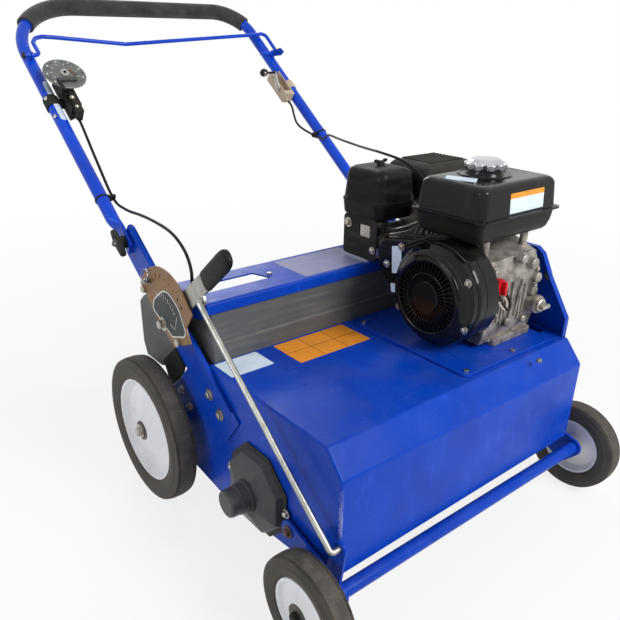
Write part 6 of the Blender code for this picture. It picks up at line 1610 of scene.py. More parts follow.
@dataclass
class Engine:
    """Small petrol engine: tank, air cleaner, muffler, case, shroud, starter, carburettor and controls."""

    crank_y: float = 0.175
    crank_z: float = ENGINE_Z + 0.106
    tilt: float = radians(25.0)
    neck: float = 0.01
    rope_turn: float = radians(62.0)

    @property
    def crank(self) -> Pair:
        """Return the crankshaft's place as (y, z)."""
        return (self.crank_y, self.crank_z)

    def at(self, height: float) -> float:
        """Return a height above the engine's feet."""
        return ENGINE_Z + height

    def build_tank(self) -> None:
        """Add the pressed fuel tank with its seam flange and filler ring, and the chromed cap."""
        low, seam, top = self.at(0.2075), self.at(0.2535), self.at(0.3125)
        lower = [(low, 0.036), (low + 0.001, 0.027), (low + 0.004, 0.0195), (low + 0.01, 0.015),
                 (low + 0.022, 0.0115), (seam - 0.004, 0.009), (seam - 0.0024, 0.0075),
                 (seam - 0.002, 0.0008), (seam - 0.0012, 0.0)]
        upper = [(seam - 0.0012, 0.0), (seam + 0.0012, 0.0), (seam + 0.002, 0.0008), (seam + 0.0024, 0.007),
                 (seam + 0.004, 0.009), (top - 0.012, 0.0125), (top - 0.0065, 0.015), (top - 0.0025, 0.019),
                 (top - 0.0006, 0.024), (top, 0.03)]
        x, y = (0.065, 0.31), (0.094, 0.27)
        bottom = Part(stack(x, y, 0.018, lower, 8, 0.012), DUSTY_BLACK)
        crown = Part(stack(x, y, 0.018, upper, 8, 0.014), GLOSS_BLACK)
        ring = spaced(top, [(0.044, -0.004), (0.052, -0.004), (0.0515, 0.0012), (0.0495, 0.0022),
                            (0.047, 0.0012), (0.0455, -0.001)])
        neck = [(0.0, top - 0.004), (0.04, top - 0.004), (0.035, top + 0.002), (0.034, top + self.neck),
                (0.0, top + self.neck)]
        parts = [bottom, crown, turned(ring, "Z", TANK, 64, GLOSS_BLACK, True),
                 turned(neck, "Z", TANK, 48, GLOSS_BLACK)]
        parts += self.tank_films(seam, top)
        add("tank_pressing", parts, "chassis", ["fuel_tank"], 40.0)
        self.build_cap(top + self.neck + GAP)

    def tank_films(self, seam: float, top: float) -> list[Part]:
        """Return the blank films on the tank's front wall and top.

        Args:
            seam: Height of the seam flange.
            top: Height of the tank's top.

        Returns:
            The white films with their plain orange band.
        """
        parts = []
        for low, high, finish in ((0.624, 0.6505, WHITE_FILM), (0.6507, 0.66, ORANGE_FILM)):
            film = box((0.152, 0.254), (0.0, 0.0006), (low, high))
            for vert in film.verts:
                share = (vert.co.z - seam - 0.004) / (top - 0.012 - seam - 0.004)
                vert.co.y += 0.094 + 0.009 + 0.0035 * share - 0.0004
            parts.append(Part(film, finish))
        flat = eased([(0.11, 0.152), (0.14, 0.172), (0.118, 0.226), (0.092, 0.208)], 0.003, 3)
        shape = slab(flat, top - 0.003, top + 0.0003, "Z")
        parts.append(Part(shape, WHITE_FILM))
        return parts

    def build_cap(self, low: float) -> None:
        """Add the lobed fuel cap.

        Args:
            low: Height of its underside.
        """
        levels = [
            (0.0, 0.0385, 0.0045), (0.0012, 0.04, 0.0056), (0.0085, 0.04, 0.006), (0.0105, 0.039, 0.006),
            (0.0118, 0.0365, 0.003), (0.0124, 0.0335, 0.0008), (0.0128, 0.0325, 0.0), (0.0165, 0.029, 0.0),
            (0.0178, 0.0265, 0.0), (0.018, 0.018, 0.0),
        ]
        rings = [[Vector((*spot, low + height)) for spot in lobed(TANK, size, depth, 10, 120)]
                 for height, size, depth in levels]
        add("fuel_cap_lobed", [Part(loft(rings), CHROME)], "fuel_cap", ["fuel_cap"], 50.0)

    def build_cleaner(self) -> None:
        """Add the air cleaner's base, cover and wing nut."""
        low, seam, top = self.at(0.2045), self.at(0.2385), self.at(0.3065)
        x, y = (0.06, 0.1685), (0.335, 0.459)
        base = [(low, 0.012), (low + 0.002, 0.006), (low + 0.006, 0.0035), (seam - 0.006, 0.0012),
                (seam - 0.0045, 0.0002), (seam, 0.0)]
        boss = spaced(low, [(0.0, -0.01), (0.017, -0.01), (0.017, 0.004), (0.0, 0.004)])
        add("cleaner_base",
            [Part(stack(x, y, 0.02, base, 8), SATIN_BLACK), turned(boss, "Z", CLEANER, 32, SATIN_BLACK)],
            "chassis", ["air_cleaner_base"])
        cover = [(seam + GAP, 0.0002), (seam + 0.0016, 0.0), (seam + 0.0022, 0.0012), (seam + 0.004, 0.0016),
                 (top - 0.022, 0.0062), (top - 0.013, 0.0085), (top - 0.007, 0.0125), (top - 0.003, 0.0185),
                 (top - 0.0008, 0.027), (top, 0.038)]
        shape = stack(x, y, 0.024, cover, 10, 0.01, (2,))
        pad = slab(rounded_rectangle((0.101, 0.132), (0.379, 0.415), 0.01), top - 0.001, top + 0.0002, "Z")
        add("cleaner_cover", [Part(shape, SATIN_BLACK), Part(pad, SATIN_BLACK)], "chassis",
            ["air_cleaner_cover"], 40.0)
        nut_x, nut_y = 0.1145, 0.397
        hub = [(0.0, top + GAP), (0.008, top + GAP), (0.008, top + 0.0035), (0.0055, top + 0.0085),
               (0.0, top + 0.0085)]
        parts = [turned(hub, "Z", (nut_x, nut_y), 28, MATT_BLACK)]
        for side in (-1.0, 1.0):
            wing = spaced(top, [(nut_x + side * 0.004, 0.002), (nut_x + side * 0.0165, 0.006),
                                (nut_x + side * 0.0185, 0.0115), (nut_x + side * 0.01, 0.0118),
                                (nut_x + side * 0.004, 0.007)])
            parts.append(Part(slab(eased(wing, 0.002, 3), nut_y - 0.0024, nut_y + 0.0024, "Y", 0.001),
                              MATT_BLACK))
        add("cleaner_wing_nut", parts, "cleaner_nut", ["air_cleaner_nut"])

    def build_muffler(self) -> None:
        """Add the muffler guard with its louvres and the exhaust elbow."""
        low, top = self.at(0.2435), self.at(0.3095)
        x, y = (0.181, 0.345), (0.325, 0.455)
        layers = [(low, 0.01), (low + 0.002, 0.004), (low + 0.006, 0.001), (low + 0.01, 0.0),
                  (top - 0.026, 0.001), (top - 0.018, 0.004), (top - 0.011, 0.009), (top - 0.006, 0.015),
                  (top - 0.0035, 0.022), (top - 0.003, 0.03)]
        parts = [Part(stack(x, y, 0.018, layers, 6), MATT_BLACK)]
        ribs = ROW.grow(one_point(), MATT_BLACK, Count=9, Start=(0.263, 0.352, top - 0.0026),
                        Step=(0.0, 0.0095, 0.0), Block_Size=(0.104, 0.0036, 0.003), Turn_Axis=RIGHT,
                        Turn=0.45)
        sides = ROW.grow(one_point(), MATT_BLACK, Count=11, Start=(0.1815, 0.337, low + 0.025),
                         Step=(0.0, 0.0106, 0.0), Block_Size=(0.003, 0.004, 0.026), Turn_Axis=UP, Turn=0.5)
        front = ROW.grow(one_point(), MATT_BLACK, Count=13, Start=(0.196, 0.3255, low + 0.025),
                         Step=(0.0112, 0.0, 0.0), Block_Size=(0.004, 0.003, 0.026), Turn_Axis=UP, Turn=0.5)
        parts += [Part(ribs, MATT_BLACK), Part(sides, MATT_BLACK), Part(front, MATT_BLACK)]
        port = self.port()
        path = bent([(0.2498, *port), (0.2638, *port), (0.2638, port[0], low + 0.004)], 0.01, 6)
        parts.append(rod(path, 0.0105, RUSTY, 24))
        add("muffler_guard", parts, "chassis", ["muffler"])

    def port(self) -> Pair:
        """Return the exhaust port's place as (y, z)."""
        out, over = 0.2033, 0.014
        c, s = cos(self.tilt), sin(self.tilt)
        return (self.crank_y + out * c - over * s, self.crank_z + out * s + over * c)

    def build_case(self) -> None:
        """Add the crankcase with its ribs, bosses and bolts, the cylinder, and the plug cap with its lead."""
        z = self.crank_z
        parts = [from_cad("crankcase", CAST, 0.0016, 30.0)]
        feet = [Bolt((x, y, self.at(0.014)), UP, 0.0065) for x in (0.1404, 0.2089) for y in (0.1065, 0.246)]
        face = [Bolt((0.28, *around(self.crank, 0.048, a)), RIGHT, 0.005)
                for a in (0.5, 1.6, 2.7, 3.7, 4.8, 5.9)]
        front = [Bolt((x, 0.1, h), AHEAD, 0.0048)
                 for x, h in ((0.128, z + 0.052), (0.264, z + 0.03), (0.264, z - 0.004), (0.128, z - 0.055))]
        parts.append(bolted(feet, Head.HEX, BOLT))
        parts.append(bolted(face + front, Head.FLANGE, BOLT))
        bosses = []
        for x, h, r in ((0.244, z + 0.046, 0.011), (0.262, z + 0.014, 0.01), (0.255, z - 0.012, 0.01),
                        (0.206, z + 0.062, 0.009), (0.178, z - 0.06, 0.009), (0.232, z - 0.066, 0.008)):
            boss = [(0.0, 0.089), (r * 0.8, 0.089), (r, 0.091), (r * 1.1, 0.103), (0.0, 0.103)]
            bosses.append(turned(boss, "Y", (x, h), 28, CAST))
        parts += bosses
        ribs = ROW.grow(one_point(), CAST, Count=5, Start=(0.152, 0.0985, z - 0.024), Step=(0.019, 0.0, 0.0),
                        Block_Size=(0.0035, 0.007, 0.062), Turn_Axis=(0.0, 1.0, 0.0), Turn=0.12)
        parts.append(Part(ribs, CAST))
        collar = [(0.0142, 0.0783), (0.0175, 0.0783), (0.0185, 0.081), (0.019, 0.103), (0.0142, 0.103)]
        parts.append(turned(collar, "Y", (0.258, z - 0.038), 40, CAST, True))
        add("crankcase_casting", parts, "chassis", ["crankcase"])
        head = [from_cad("cylinder_head", CAST, 0.0008, 40.0)]
        add("cylinder_casting", head, "chassis", ["cylinder_head"])
        lead = [(0.2521, self.crank_y + 0.19, z + 0.074), (0.276, self.crank_y + 0.19, z + 0.074),
                (0.292, 0.345, z + 0.06), (0.284, 0.3, z + 0.06), (0.262, 0.27, z + 0.05)]
        rings = [from_cad("spark_plug_cap", MATT_BLACK, 0.001, 40.0),
                 rod(flowing(lead, 6), 0.0035, MATT_BLACK, 12)]
        add("plug_cap_lead", rings, "chassis", ["spark_plug_cap"])

    def clipped(self, outline: Outline, low: float, high: float) -> Outline:
        """Return a convex (y, z) outline cut off below and above."""
        for limit, sign in ((low, 1.0), (high, -1.0)):
            kept: Outline = []
            for a, b in zip(outline, outline[1:] + outline[:1]):
                ina, inb = sign * (a[1] - limit) >= 0.0, sign * (b[1] - limit) >= 0.0
                if ina:
                    kept.append(a)
                if ina != inb:
                    t = (limit - a[1]) / (b[1] - a[1])
                    kept.append((a[0] + (b[0] - a[0]) * t, limit))
            outline = kept
        return outline

    def build_shroud(self) -> None:
        """Add the blower housing with its raised band, bolts and films."""
        circles = [(self.crank_y, self.crank_z, 0.1), (0.318, self.at(0.166), 0.016),
                   (0.318, self.at(0.125), 0.016)]
        outline = self.clipped(belt_outline(circles, 72), self.at(0.0075), self.at(0.2055))
        levels = [(0.06, 0.007), (0.0606, 0.0045), (0.0622, 0.002), (0.0655, 0.0004), (0.068, 0.0),
                  (0.1165, 0.0), (0.1175, 0.0012)]
        rings = [[Vector((x, a, b)) for a, b in drawn_in(outline, inset)] for x, inset in levels]
        parts = [Part(loft(rings, (1,)), GLOSS_BLACK)]
        band = drawn_in(outline, -0.0006)
        parts.append(Part(ring_wall(band, drawn_in(outline, 0.002), 0.083, 0.086), GLOSS_BLACK))
        heads = [Bolt((0.06, *around(self.crank, r, a)), LEFT, 0.005)
                 for r, a in ((0.118, 0.62), (0.135, 0.18))]
        parts.append(bolted(heads, Head.FLANGE, BOLT))
        for film in ([(0.297, 0.534), (0.272, 0.5403), (0.2665, 0.4865), (0.292, 0.4793)],
                     [(0.2942, 0.4582), (0.28, 0.46), (0.2761, 0.4419), (0.2905, 0.44)]):
            parts.append(Part(slab(eased(film, 0.002, 2), 0.0597, 0.0602), WHITE_FILM))
        add("blower_shroud", parts, "chassis", ["blower_housing"], 30.0)

    def build_recoil(self) -> None:
        """Add the starter cover: rolled rim, radial slots with a ring of painted shade behind them, plain middle
        disc, side louvres and bolts.
        """
        y, z = self.crank_y, self.crank_z
        face = 0.0308
        shell = [
            (0.03, 0.0272), (0.031, 0.0285), (0.0315, 0.034), (0.033, 0.0395), (0.067, 0.0395),
            (0.068, face + 0.0002), (0.0695, face - 0.0008), (0.074, face - 0.0004), (0.08, face + 0.003),
            (0.086, 0.038), (0.0905, 0.045), (0.0925, 0.047), (0.0965, 0.05), (0.097, 0.053),
            (0.097, 0.0597), (0.0, 0.0597),
        ]
        parts = [Part(lathe([(0.0, 0.0272), *shell], "X", y, z, 96, worn=(0,)), GLOSS_BLACK)]
        # Painted shade: a thin near-black ring behind the radial slots stands for the dark inside of the cover.
        parts.append(Part(lathe([(0.0322, 0.0393), (0.0672, 0.0393), (0.0672, 0.0388), (0.0322, 0.0388)], "X",
                                y, z, 64, True), SHADOW))
        slots = SPOKES.grow(one_point(), GLOSS_BLACK, Count=44, Centre=(0.0346, y, z), Inner_Radius=0.031,
                            Bar_Size=(0.007, 0.037, 0.0026))
        parts.append(Part(slots, GLOSS_BLACK))
        for radius in (0.0455, 0.0755, 0.08, 0.0845, 0.089):
            first, last = (0.0, tau) if radius < 0.05 else (radians(12.0), radians(118.0))
            depth = 0.0312 if radius < 0.08 else 0.0312 + (radius - 0.08) * 1.6
            hoop = [(depth, y - radius * cos(a), z + radius * sin(a))
                    for a in (first + (last - first) * i / 60 for i in range(61))]
            parts.append(rod(hoop, 0.0013, GLOSS_BLACK, 8))
        heads = [Bolt((0.047, *around((y, z), 0.0915, a)), LEFT, 0.005) for a in (2.6, 3.6, 5.75)]
        parts.append(bolted(heads, Head.FLANGE, BOLT))
        outlet = around(self.crank, 0.085, self.rope_turn)
        parts.append(disc(outlet, 0.012, 0.04, 0.0577, GLOSS_BLACK, 0.0015, 28))
        add("recoil_starter_cover", parts, "chassis", ["recoil_cover"], 30.0)

    def build_starter_grip(self) -> None:
        """Add the rope grip at the rope's outlet."""
        add("rope_grip", [from_cad("starter_grip", MATT_BLACK, 0.0016, 30.0)], "starter",
            ["starter_grip"])

    def build_rope(self) -> None:
        """Add the starter rope, which draws out between the cover and the grip."""
        low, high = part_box("starter_grip")
        x = (low[0] + high[0]) / 2.0

        def spot(radius: float) -> Vector:
            """Return a place on the rope's line at a radius from the crank."""
            return MACHINE @ Vector((x, *around(self.crank, radius, self.rope_turn)))

        route = [spot(0.086 + 0.016 * i / 40) for i in range(41)]
        rope = add("starter_rope", [rod(route, 0.0018, MATT_BLACK, 10, IN_FRAME)], None)
        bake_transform(rope, "chassis", "starter", start=tuple(spot(0.086)), end=tuple(spot(0.102)))

    def build_carburettor(self) -> None:
        """Add the carburettor with its bowl, screws, linkage and springs, and its levers."""
        top = self.at(0.1945) - GAP
        parts = [from_cad("carburettor", CAST, 0.0012, 30.0)]
        bowl = spaced(top, [(0.0, -0.078), (0.006, -0.078), (0.007, -0.0745), (0.0185, -0.073),
                            (0.0203, -0.07), (0.0203, -0.054), (0.0215, -0.053), (0.0215, -0.049),
                            (0.0, -0.049)])
        parts.append(turned(bowl, "Z", CLEANER, 40, BOLT))
        heads = [Bolt((0.086, 0.37, top - 0.045), LEFT, 0.0035),
                 Bolt((0.086, 0.402, top - 0.018), LEFT, 0.0035)]
        heads += [Bolt((0.1, 0.359, top - 0.03), AHEAD, 0.0042),
                  Bolt((0.122, 0.359, top - 0.044), AHEAD, 0.0034)]
        parts.append(bolted(heads, Head.HEX, BOLT))
        rods = [
            [(0.104, 0.356, top - 0.012), (0.11, 0.33, top - 0.004), (0.13, 0.31, top + 0.006),
             (0.158, 0.3, top + 0.016)],
            [(0.094, 0.356, top - 0.02), (0.104, 0.332, top - 0.014), (0.126, 0.312, top - 0.006),
             (0.15, 0.302, top + 0.004)],
        ]
        for path in rods:
            parts.append(rod(flowing(path, 5), 0.0012, ZINC, 8))
        coil = [(0.112 + 0.0007 * i, 0.329 - 0.00052 * i + 0.0026 * cos(i * 0.9),
                 top - 0.004 + 0.00028 * i + 0.0026 * sin(i * 0.9)) for i in range(46)]
        parts.append(rod(coil, 0.0005, ZINC, 6))
        sheet = rounded_rectangle((0.352, 0.452), (self.at(0.118), self.at(0.205)), 0.01)
        shield = slab(sheet, 0.07, 0.0716, "X", 0.0006)
        window = box((0.0, 0.1), (0.372, 0.404), (self.at(0.164), self.at(0.19)), 0.004)
        parts.append(Part(cut(shield, window), MATT_BLACK))
        back = box((0.0717, 0.0735), (0.368, 0.408), (self.at(0.16), self.at(0.194)), 0.0006)
        parts.append(Part(back, BOLT))
        studs = [Bolt((0.07, y, self.at(h)), LEFT, r)
                 for y, h, r in ((0.437, 0.186, 0.0062), (0.362, 0.142, 0.005))]
        parts.append(bolted(studs, Head.FLANGE, BOLT))
        add("carburettor_casting", parts, "chassis", ["carburettor"])
        add("choke_arm", [from_cad("choke_lever", MATT_BLACK, 0.0007, 30.0)], "choke",
            ["choke_lever"])
        add("fuel_arm", [from_cad("fuel_lever", ZINC, 0.0007, 30.0)], "fuel_tap", ["fuel_lever"])

    def build_oil_cap(self) -> None:
        """Add the oil filler cap with its grip bar."""
        x, z = 0.258, self.crank_z - 0.038
        plate = [(0.0, 0.0707), (0.012, 0.0707), (0.014, 0.0725), (0.014, 0.0777), (0.0, 0.0777)]
        parts = [turned(plate, "Y", (x, z), 40, BOLT)]
        bar_shape = box((x - 0.0125, x + 0.0125), (0.06, 0.072), (z - 0.004, z + 0.004), 0.002)
        parts.append(Part(bar_shape, BOLT))
        add("oil_filler_cap", parts, "oil_cap", ["oil_cap"])

    def build_switch(self) -> None:
        """Add the red switch knob and its wires."""
        x, z = 0.132, self.crank_z + 0.024
        rings = []
        for back, size, depth in ((0.0997, 0.0125, 0.0004), (0.0985, 0.015, 0.001), (0.086, 0.0158, 0.0016),
                                  (0.0835, 0.0152, 0.0016), (0.0827, 0.0135, 0.001)):
            rings.append([Vector((a, back, b)) for a, b in lobed((x, z), size, depth, 8, 96)])
        parts = [Part(loft(rings), RED)]
        parts.append(Part(box((x - 0.0035, x + 0.0035), (0.0727, 0.084), (z - 0.013, z + 0.013), 0.0018),
                          RED))
        add("switch_knob", parts, "switch", ["ignition_knob"], 40.0)
        wires = [
            ([(0.134, 0.0975, 0.484), (0.14, 0.088, 0.47), (0.156, 0.084, 0.448), (0.17, 0.086, 0.441),
              (0.177, 0.09, 0.452), (0.17, 0.0985, 0.472)], 0.0022, MATT_BLACK),
            ([(0.129, 0.0975, 0.484), (0.133, 0.09, 0.468), (0.147, 0.086, 0.45), (0.16, 0.087, 0.445),
              (0.168, 0.093, 0.455), (0.164, 0.099, 0.468)], 0.0018, CREAM_WIRE),
            ([(0.126, 0.0985, 0.474), (0.134, 0.097, 0.452), (0.146, 0.0965, 0.432), (0.157, 0.0985, 0.416)],
             0.0022, CAST),
        ]
        parts = [rod(flowing(path, 6), radius, finish, 12) for path, radius, finish in wires]
        add("switch_wires", parts, "chassis")

    def build(self) -> None:
        """Add every piece of the engine."""
        self.build_tank()
        self.build_cleaner()
        self.build_muffler()
        self.build_case()
        self.build_shroud()
        self.build_recoil()
        self.build_starter_grip()
        self.build_rope()
        self.build_carburettor()
        self.build_oil_cap()
        self.build_switch()


@dataclass
class HandleBar:
    """Bent handle tube, foam grip, bail, fold knobs, seed dial and throttle."""

    half: float = 0.335
    top_s: float = 0.7355
    right_bend: float = 0.09
    left_bend: float = 0.176
    radius: float = 0.014

    def leg(self, bend: float) -> list[tuple[float, float, Vector, float]]:
        """Return the right leg's stations with the bend at its top, as (x, s, way, flatness)."""
        along = Vector((0.0, 1.0, 0.0))
        tongue = ((-0.0195, 0.3291, 1.0), (0.02, 0.3291, 1.0), (0.032, 0.3291, 1.0), (0.04, 0.3305, 0.72),
                  (0.05, 0.3335, 0.25), (0.06, self.half, 0.0))
        stations = [(x, s, along, flat) for s, x, flat in tongue]
        bend_s = self.top_s - bend
        stations += [(self.half, 0.06 + (bend_s - 0.06) * i / 12, along, 0.0) for i in range(1, 12)]
        return stations + [(*self.on_bend(bend, pi / 2.0 * i / 16), 0.0) for i in range(17)]

    def on_bend(self, bend: float, angle: float) -> tuple[float, float, Vector]:
        """Return a place on the right bend as (x, s, way)."""
        x = self.half - bend + bend * cos(angle)
        s = self.top_s - bend + bend * sin(angle)
        return (x, s, Vector((-sin(angle), cos(angle), 0.0)))

    def leg_rings(self) -> list[list[Vector]]:
        """Return the tube's rings from the right tongue round to the left one."""
        right = [self.ring(Vector((x, s, 0.0)), way, flat) for x, s, way, flat in self.leg(self.right_bend)]
        left = [self.ring(Vector((-x, s, 0.0)), Vector((way.x, -way.y, 0.0)), flat)
                for x, s, way, flat in self.leg(self.left_bend)[::-1]]
        return right + left

    def ring(self, centre: Vector, way: Vector, flat: float) -> list[Vector]:
        """Return one ring of the tube, pressed flat by a share."""
        side = way.cross(Vector(UP)).normalized()
        thick = self.radius + (0.004 - self.radius) * flat
        wide = self.radius + (0.017 - self.radius) * flat
        power = 1.0 - 0.6 * flat
        points = []
        for i in range(40):
            c, s = cos(tau * i / 40), sin(tau * i / 40)
            across = copysign(abs(c) ** power, c) * thick
            up = copysign(abs(s) ** (1.0 - 0.3 * flat), s) * wide
            points.append(centre + side * across + Vector((0.0, 0.0, up)))
        return points

    def build_tube(self) -> None:
        """Add the bent tube with the bail's lugs."""
        parts = [Part(loft(self.leg_rings()), TUBE_BLUE, HANDLE)]
        lug = belt_outline([(*BAIL_PIVOT, 0.009), (BAIL_PIVOT[0], 0.0084, 0.012)], 40)
        for side in (-1.0, 1.0):
            plate = beside(side, lug, self.half - 0.002, self.half + 0.002, 0.0006)
            parts.append(Part(cut(plate, slab(circle(*BAIL_PIVOT, 0.0054, 20), -1.0, 1.0)), TUBE_BLUE,
                              HANDLE))
        for s, dx in ((0.405, 0.0), (0.35, 0.0)):
            spot = Vector((-self.half + dx, s, 0.0)) + Vector((-0.77, 0.0, 0.64)) * self.radius
            parts.append(bolted([Bolt(tuple(spot), (-0.77, 0.0, 0.64), 0.0046)], Head.DOME, BOLT, HANDLE))
        parts.append(Part(self.pill_film(), WHITE_FILM, HANDLE))
        add("handle_loop", parts, "handle", ["handle_tube"], 40.0)

    def pill_film(self) -> Solid:
        """Return the long blank film that wraps the left leg, with round ends."""
        rings = []
        low, high, wide = 0.333, 0.456, 0.0068
        for i in range(25):
            s = low + (high - low) * i / 24
            near = min(s - low, high - s)
            half = wide if near >= wide else max(0.0012, sqrt(max(0.0, wide ** 2 - (wide - near) ** 2)))
            angles = [radians(80.0) + half / self.radius * k / 4 for k in range(-4, 5)]
            outer, inner = ([Vector((-self.half + r * cos(a), s, r * sin(a))) for a in angles]
                            for r in (self.radius + 0.0004, self.radius - 0.0006))
            rings.append(outer + inner[::-1])
        return loft(rings)

    def build_ties(self) -> None:
        """Add the two plastic ties that hold the cables to the legs."""
        parts = []
        for x, cable, s in ((-self.half, (-0.311, 0.0), 0.115), (self.half, (0.309, -0.003), 0.2355)):
            outline = belt_outline([(x, 0.0, self.radius + 0.0016), (*cable, 0.0046)], 40)
            rings = [[Vector((a, s + along, b)) for a, b in outline] for along in (-0.002, 0.002)]
            parts.append(Part(loft(rings), MATT_BLACK, HANDLE))
            head = box((cable[0] - 0.004, cable[0] + 0.004), (s - 0.0035, s + 0.0035),
                       (cable[1] + 0.003, cable[1] + 0.0095), 0.001)
            parts.append(Part(head, MATT_BLACK, HANDLE))
        add("cable_ties", parts, "handle")

    def build_grip(self) -> None:
        """Add the foam sleeve round the top bar and both bends."""
        right = [self.on_bend(self.right_bend, radians(24.0 + 66.0 * i / 16)) for i in range(17)]
        left = [self.on_bend(self.left_bend, radians(36.0 + 54.0 * i / 16)) for i in range(17)]
        stations = right + [(-x, s, Vector((way.x, -way.y, 0.0))) for x, s, way in left[::-1]]

        def skin(radius: float) -> list[list[Vector]]:
            """Return the rings at a radius round the stations."""
            rings = []
            for x, s, way in stations:
                side = way.cross(Vector(UP)).normalized()
                rings.append([Vector((x, s,
                                      0.0)) + side * radius * cos(t) + Vector((0.0, 0.0, radius * sin(t)))
                              for t in (tau * k / 36 for k in range(36))])
            return rings

        def end(ring: list[Vector], station: tuple[float, float, Vector], push: float) -> list[Vector]:
            """Return an end ring drawn in and pushed along the bar."""
            centre = Vector((*station[:2], 0.0))
            return [centre + (point - centre) * 0.93 + station[2] * push for point in ring]

        outer, inner = skin(0.02), skin(0.0143)
        first, last = end(outer[0], stations[0], -0.0012), end(outer[-1], stations[-1], 0.0012)
        rings = [first, *outer, last, *inner[::-1]]
        add("foam_sleeve", [Part(loft(rings, (), True), FOAM, HANDLE)], "handle", ["handle_grip"],
            60.0)

    def build_bail(self) -> None:
        """Add the bail rod and its cam plate."""
        corners = [(-0.353, *BAIL_PIVOT), (-0.3165, *BAIL_PIVOT), (-0.3135, 0.583, 0.015),
                   (-0.301, 0.6015, 0.012), (-0.283, 0.6095, 0.01), (-0.2584, 0.6076, 0.01),
                   (-0.083, 0.5837, 0.01), (0.318, 0.609, 0.022), (0.353, 0.6135, 0.024),
                   (0.353, *BAIL_PIVOT), (0.296, *BAIL_PIVOT)]
        loop = rod(bent(corners, 0.014, 6), 0.0048, TUBE_BLUE, 24, HANDLE)
        nut = Part(slab(circle(*BAIL_PIVOT, 0.0072, 20), -0.356, -0.3505, "X", 0.0012), MATT_BLACK, HANDLE)
        add("bail_bar", [loop, nut], "bail", ["bail_rod"], 50.0)
        add("bail_cam", [from_cad("bail_bracket", BLUE, 0.0008, 30.0)], "bail",
            ["bail_bracket"])

    def build_knobs(self) -> None:
        """Add the three-lobed fold knobs with their washers."""
        inner = 0.3331 + GAP
        for mirror, name in ((False, "right"), (True, "left")):
            hub = spaced(inner,
                         [(0.0054, 0.0), (0.0125, 0.0), (0.013, 0.01), (0.01, 0.0155), (0.0054, 0.0155)])
            shapes = [(lathe(hub, "X", 0.0, 0.0, 32, True), MATT_BLACK)]
            wing = eased([(-0.03, -0.009), (-0.004, -0.0115), (0.012, -0.01), (0.031, -0.001), (0.03, 0.009),
                          (0.004, 0.0115), (-0.012, 0.01), (-0.031, 0.001)], 0.005, 4)
            shapes.append((slab(wing, inner + 0.009, inner + 0.0205, "X", 0.0035, 4), MATT_BLACK))
            shapes.append((slab(circle(0.0, 0.0, 0.0036, 20), inner + 0.015, inner + 0.024, "X", 0.001),
                           HUB_GREY))
            shapes.append((bolts([Bolt((inner + 0.0198, 0.0, 0.0), RIGHT, 0.0056)], Head.NUT, HUB_GREY),
                           HUB_GREY))
            parts = [Part(mirrored(s) if mirror else s, f, HANDLE) for s, f in shapes]
            add(f"wing_knob_{name}", parts, f"knob_{name}", [f"fold_knob_{name}"], 40.0)

    def build_dial(self) -> None:
        """Add the seed dial with its holes and marks, and its housing."""
        x, s, p = -0.299, 0.4345, 0.05
        plate = spaced(p, [(0.0033, -0.0015), (0.045, -0.0015), (0.046, -0.0008), (0.046, 0.0008),
                           (0.045, 0.0015), (0.0033, 0.0015)])
        parts = [Part(lathe(plate, "Z", x, s, 72, True), DIAL_GREY, HANDLE)]
        hub = spaced(p, [(0.0033, 0.0014), (0.0101, 0.0014), (0.0101, 0.0045), (0.008, 0.0055),
                         (0.0033, 0.0055)])
        parts.append(Part(lathe(hub, "Z", x, s, 32, True), ZINC, HANDLE))
        for i in range(14):
            a = radians(-40.0 + 20.0 * i)
            dot = slab(circle(*around((x, s), 0.0385, a), 0.0022, 12), p + 0.0012, p + 0.0018, "Z")
            parts.append(Part(dot, LINE_WHITE if i % 2 else HUB_GREY, HANDLE))
        for i in range(9):
            a = radians(-20.0 + 32.0 * i)
            start, end = ((*around((x, s), r, a), p + 0.0016) for r in (0.0265, 0.0315))
            parts.append(rod([start, end], 0.0006, LINE_WHITE, 6, HANDLE))
        arm = [(x, s, p + 0.004), (x + 0.012, s + 0.008, p + 0.0045), (x + 0.022, s - 0.004, p + 0.0035)]
        parts.append(rod(flowing(arm, 5), 0.0013, GOLD_ZINC, 10, HANDLE))
        add("dial_disc", parts, "dial", ["seed_dial"])
        parts = [from_cad("dial_bracket", MATT_BLACK, 0.0012)]
        pointer = box((-0.323, -0.28), (0.408, 0.418), (0.0525, 0.0565), 0.0012)
        arm = box((-0.323, -0.3165), (0.385, 0.418), (0.028, 0.056), 0.0012)
        lower = eased([(-0.308, 0.392), (-0.295, 0.384), (-0.295, 0.326), (-0.308, 0.326)], 0.003, 3)
        plate_low = slab(lower, 0.016, 0.0425, "Z", 0.0006)
        parts += [Part(pointer, COVER_GREY, HANDLE), Part(arm, MATT_BLACK, HANDLE),
                  Part(plate_low, MATT_BLACK, HANDLE)]
        heads = [Bolt((-0.312, 0.396, 0.045), UP, 0.005)]
        parts.append(bolted(heads, Head.DOME, RUSTY, HANDLE))
        heads = [Bolt((-0.306, 0.37, 0.042), UP, 0.0038), Bolt((-0.306, 0.342, 0.042), UP, 0.003)]
        parts.append(bolted(heads, Head.HEX, BOLT, HANDLE))
        add("dial_housing", parts, "handle", ["dial_bracket"])

    def build_throttle(self) -> None:
        """Add the throttle bracket and lever."""
        add("throttle_clip", [from_cad("throttle_bracket", BEIGE)], "handle", ["throttle_bracket"])
        arm = add("throttle_arm", [from_cad("throttle_lever", MATT_BLACK, 0.0006, 40.0)], "throttle",
                  ["throttle_lever"])
        arm.data.materials.append(ZINC.material())
        inverse = HANDLE.inverted()
        reach = max((inverse @ v.co).y for v in arm.data.vertices)
        for face in arm.data.polygons:
            face.material_index = 1 if (inverse @ face.center).y < reach - 0.019 else 0

    def build(self) -> None:
        """Add every piece of the handle."""
        self.build_tube()
        self.build_grip()
        self.build_bail()
        self.build_knobs()
        self.build_dial()
        self.build_throttle()
        self.build_ties()


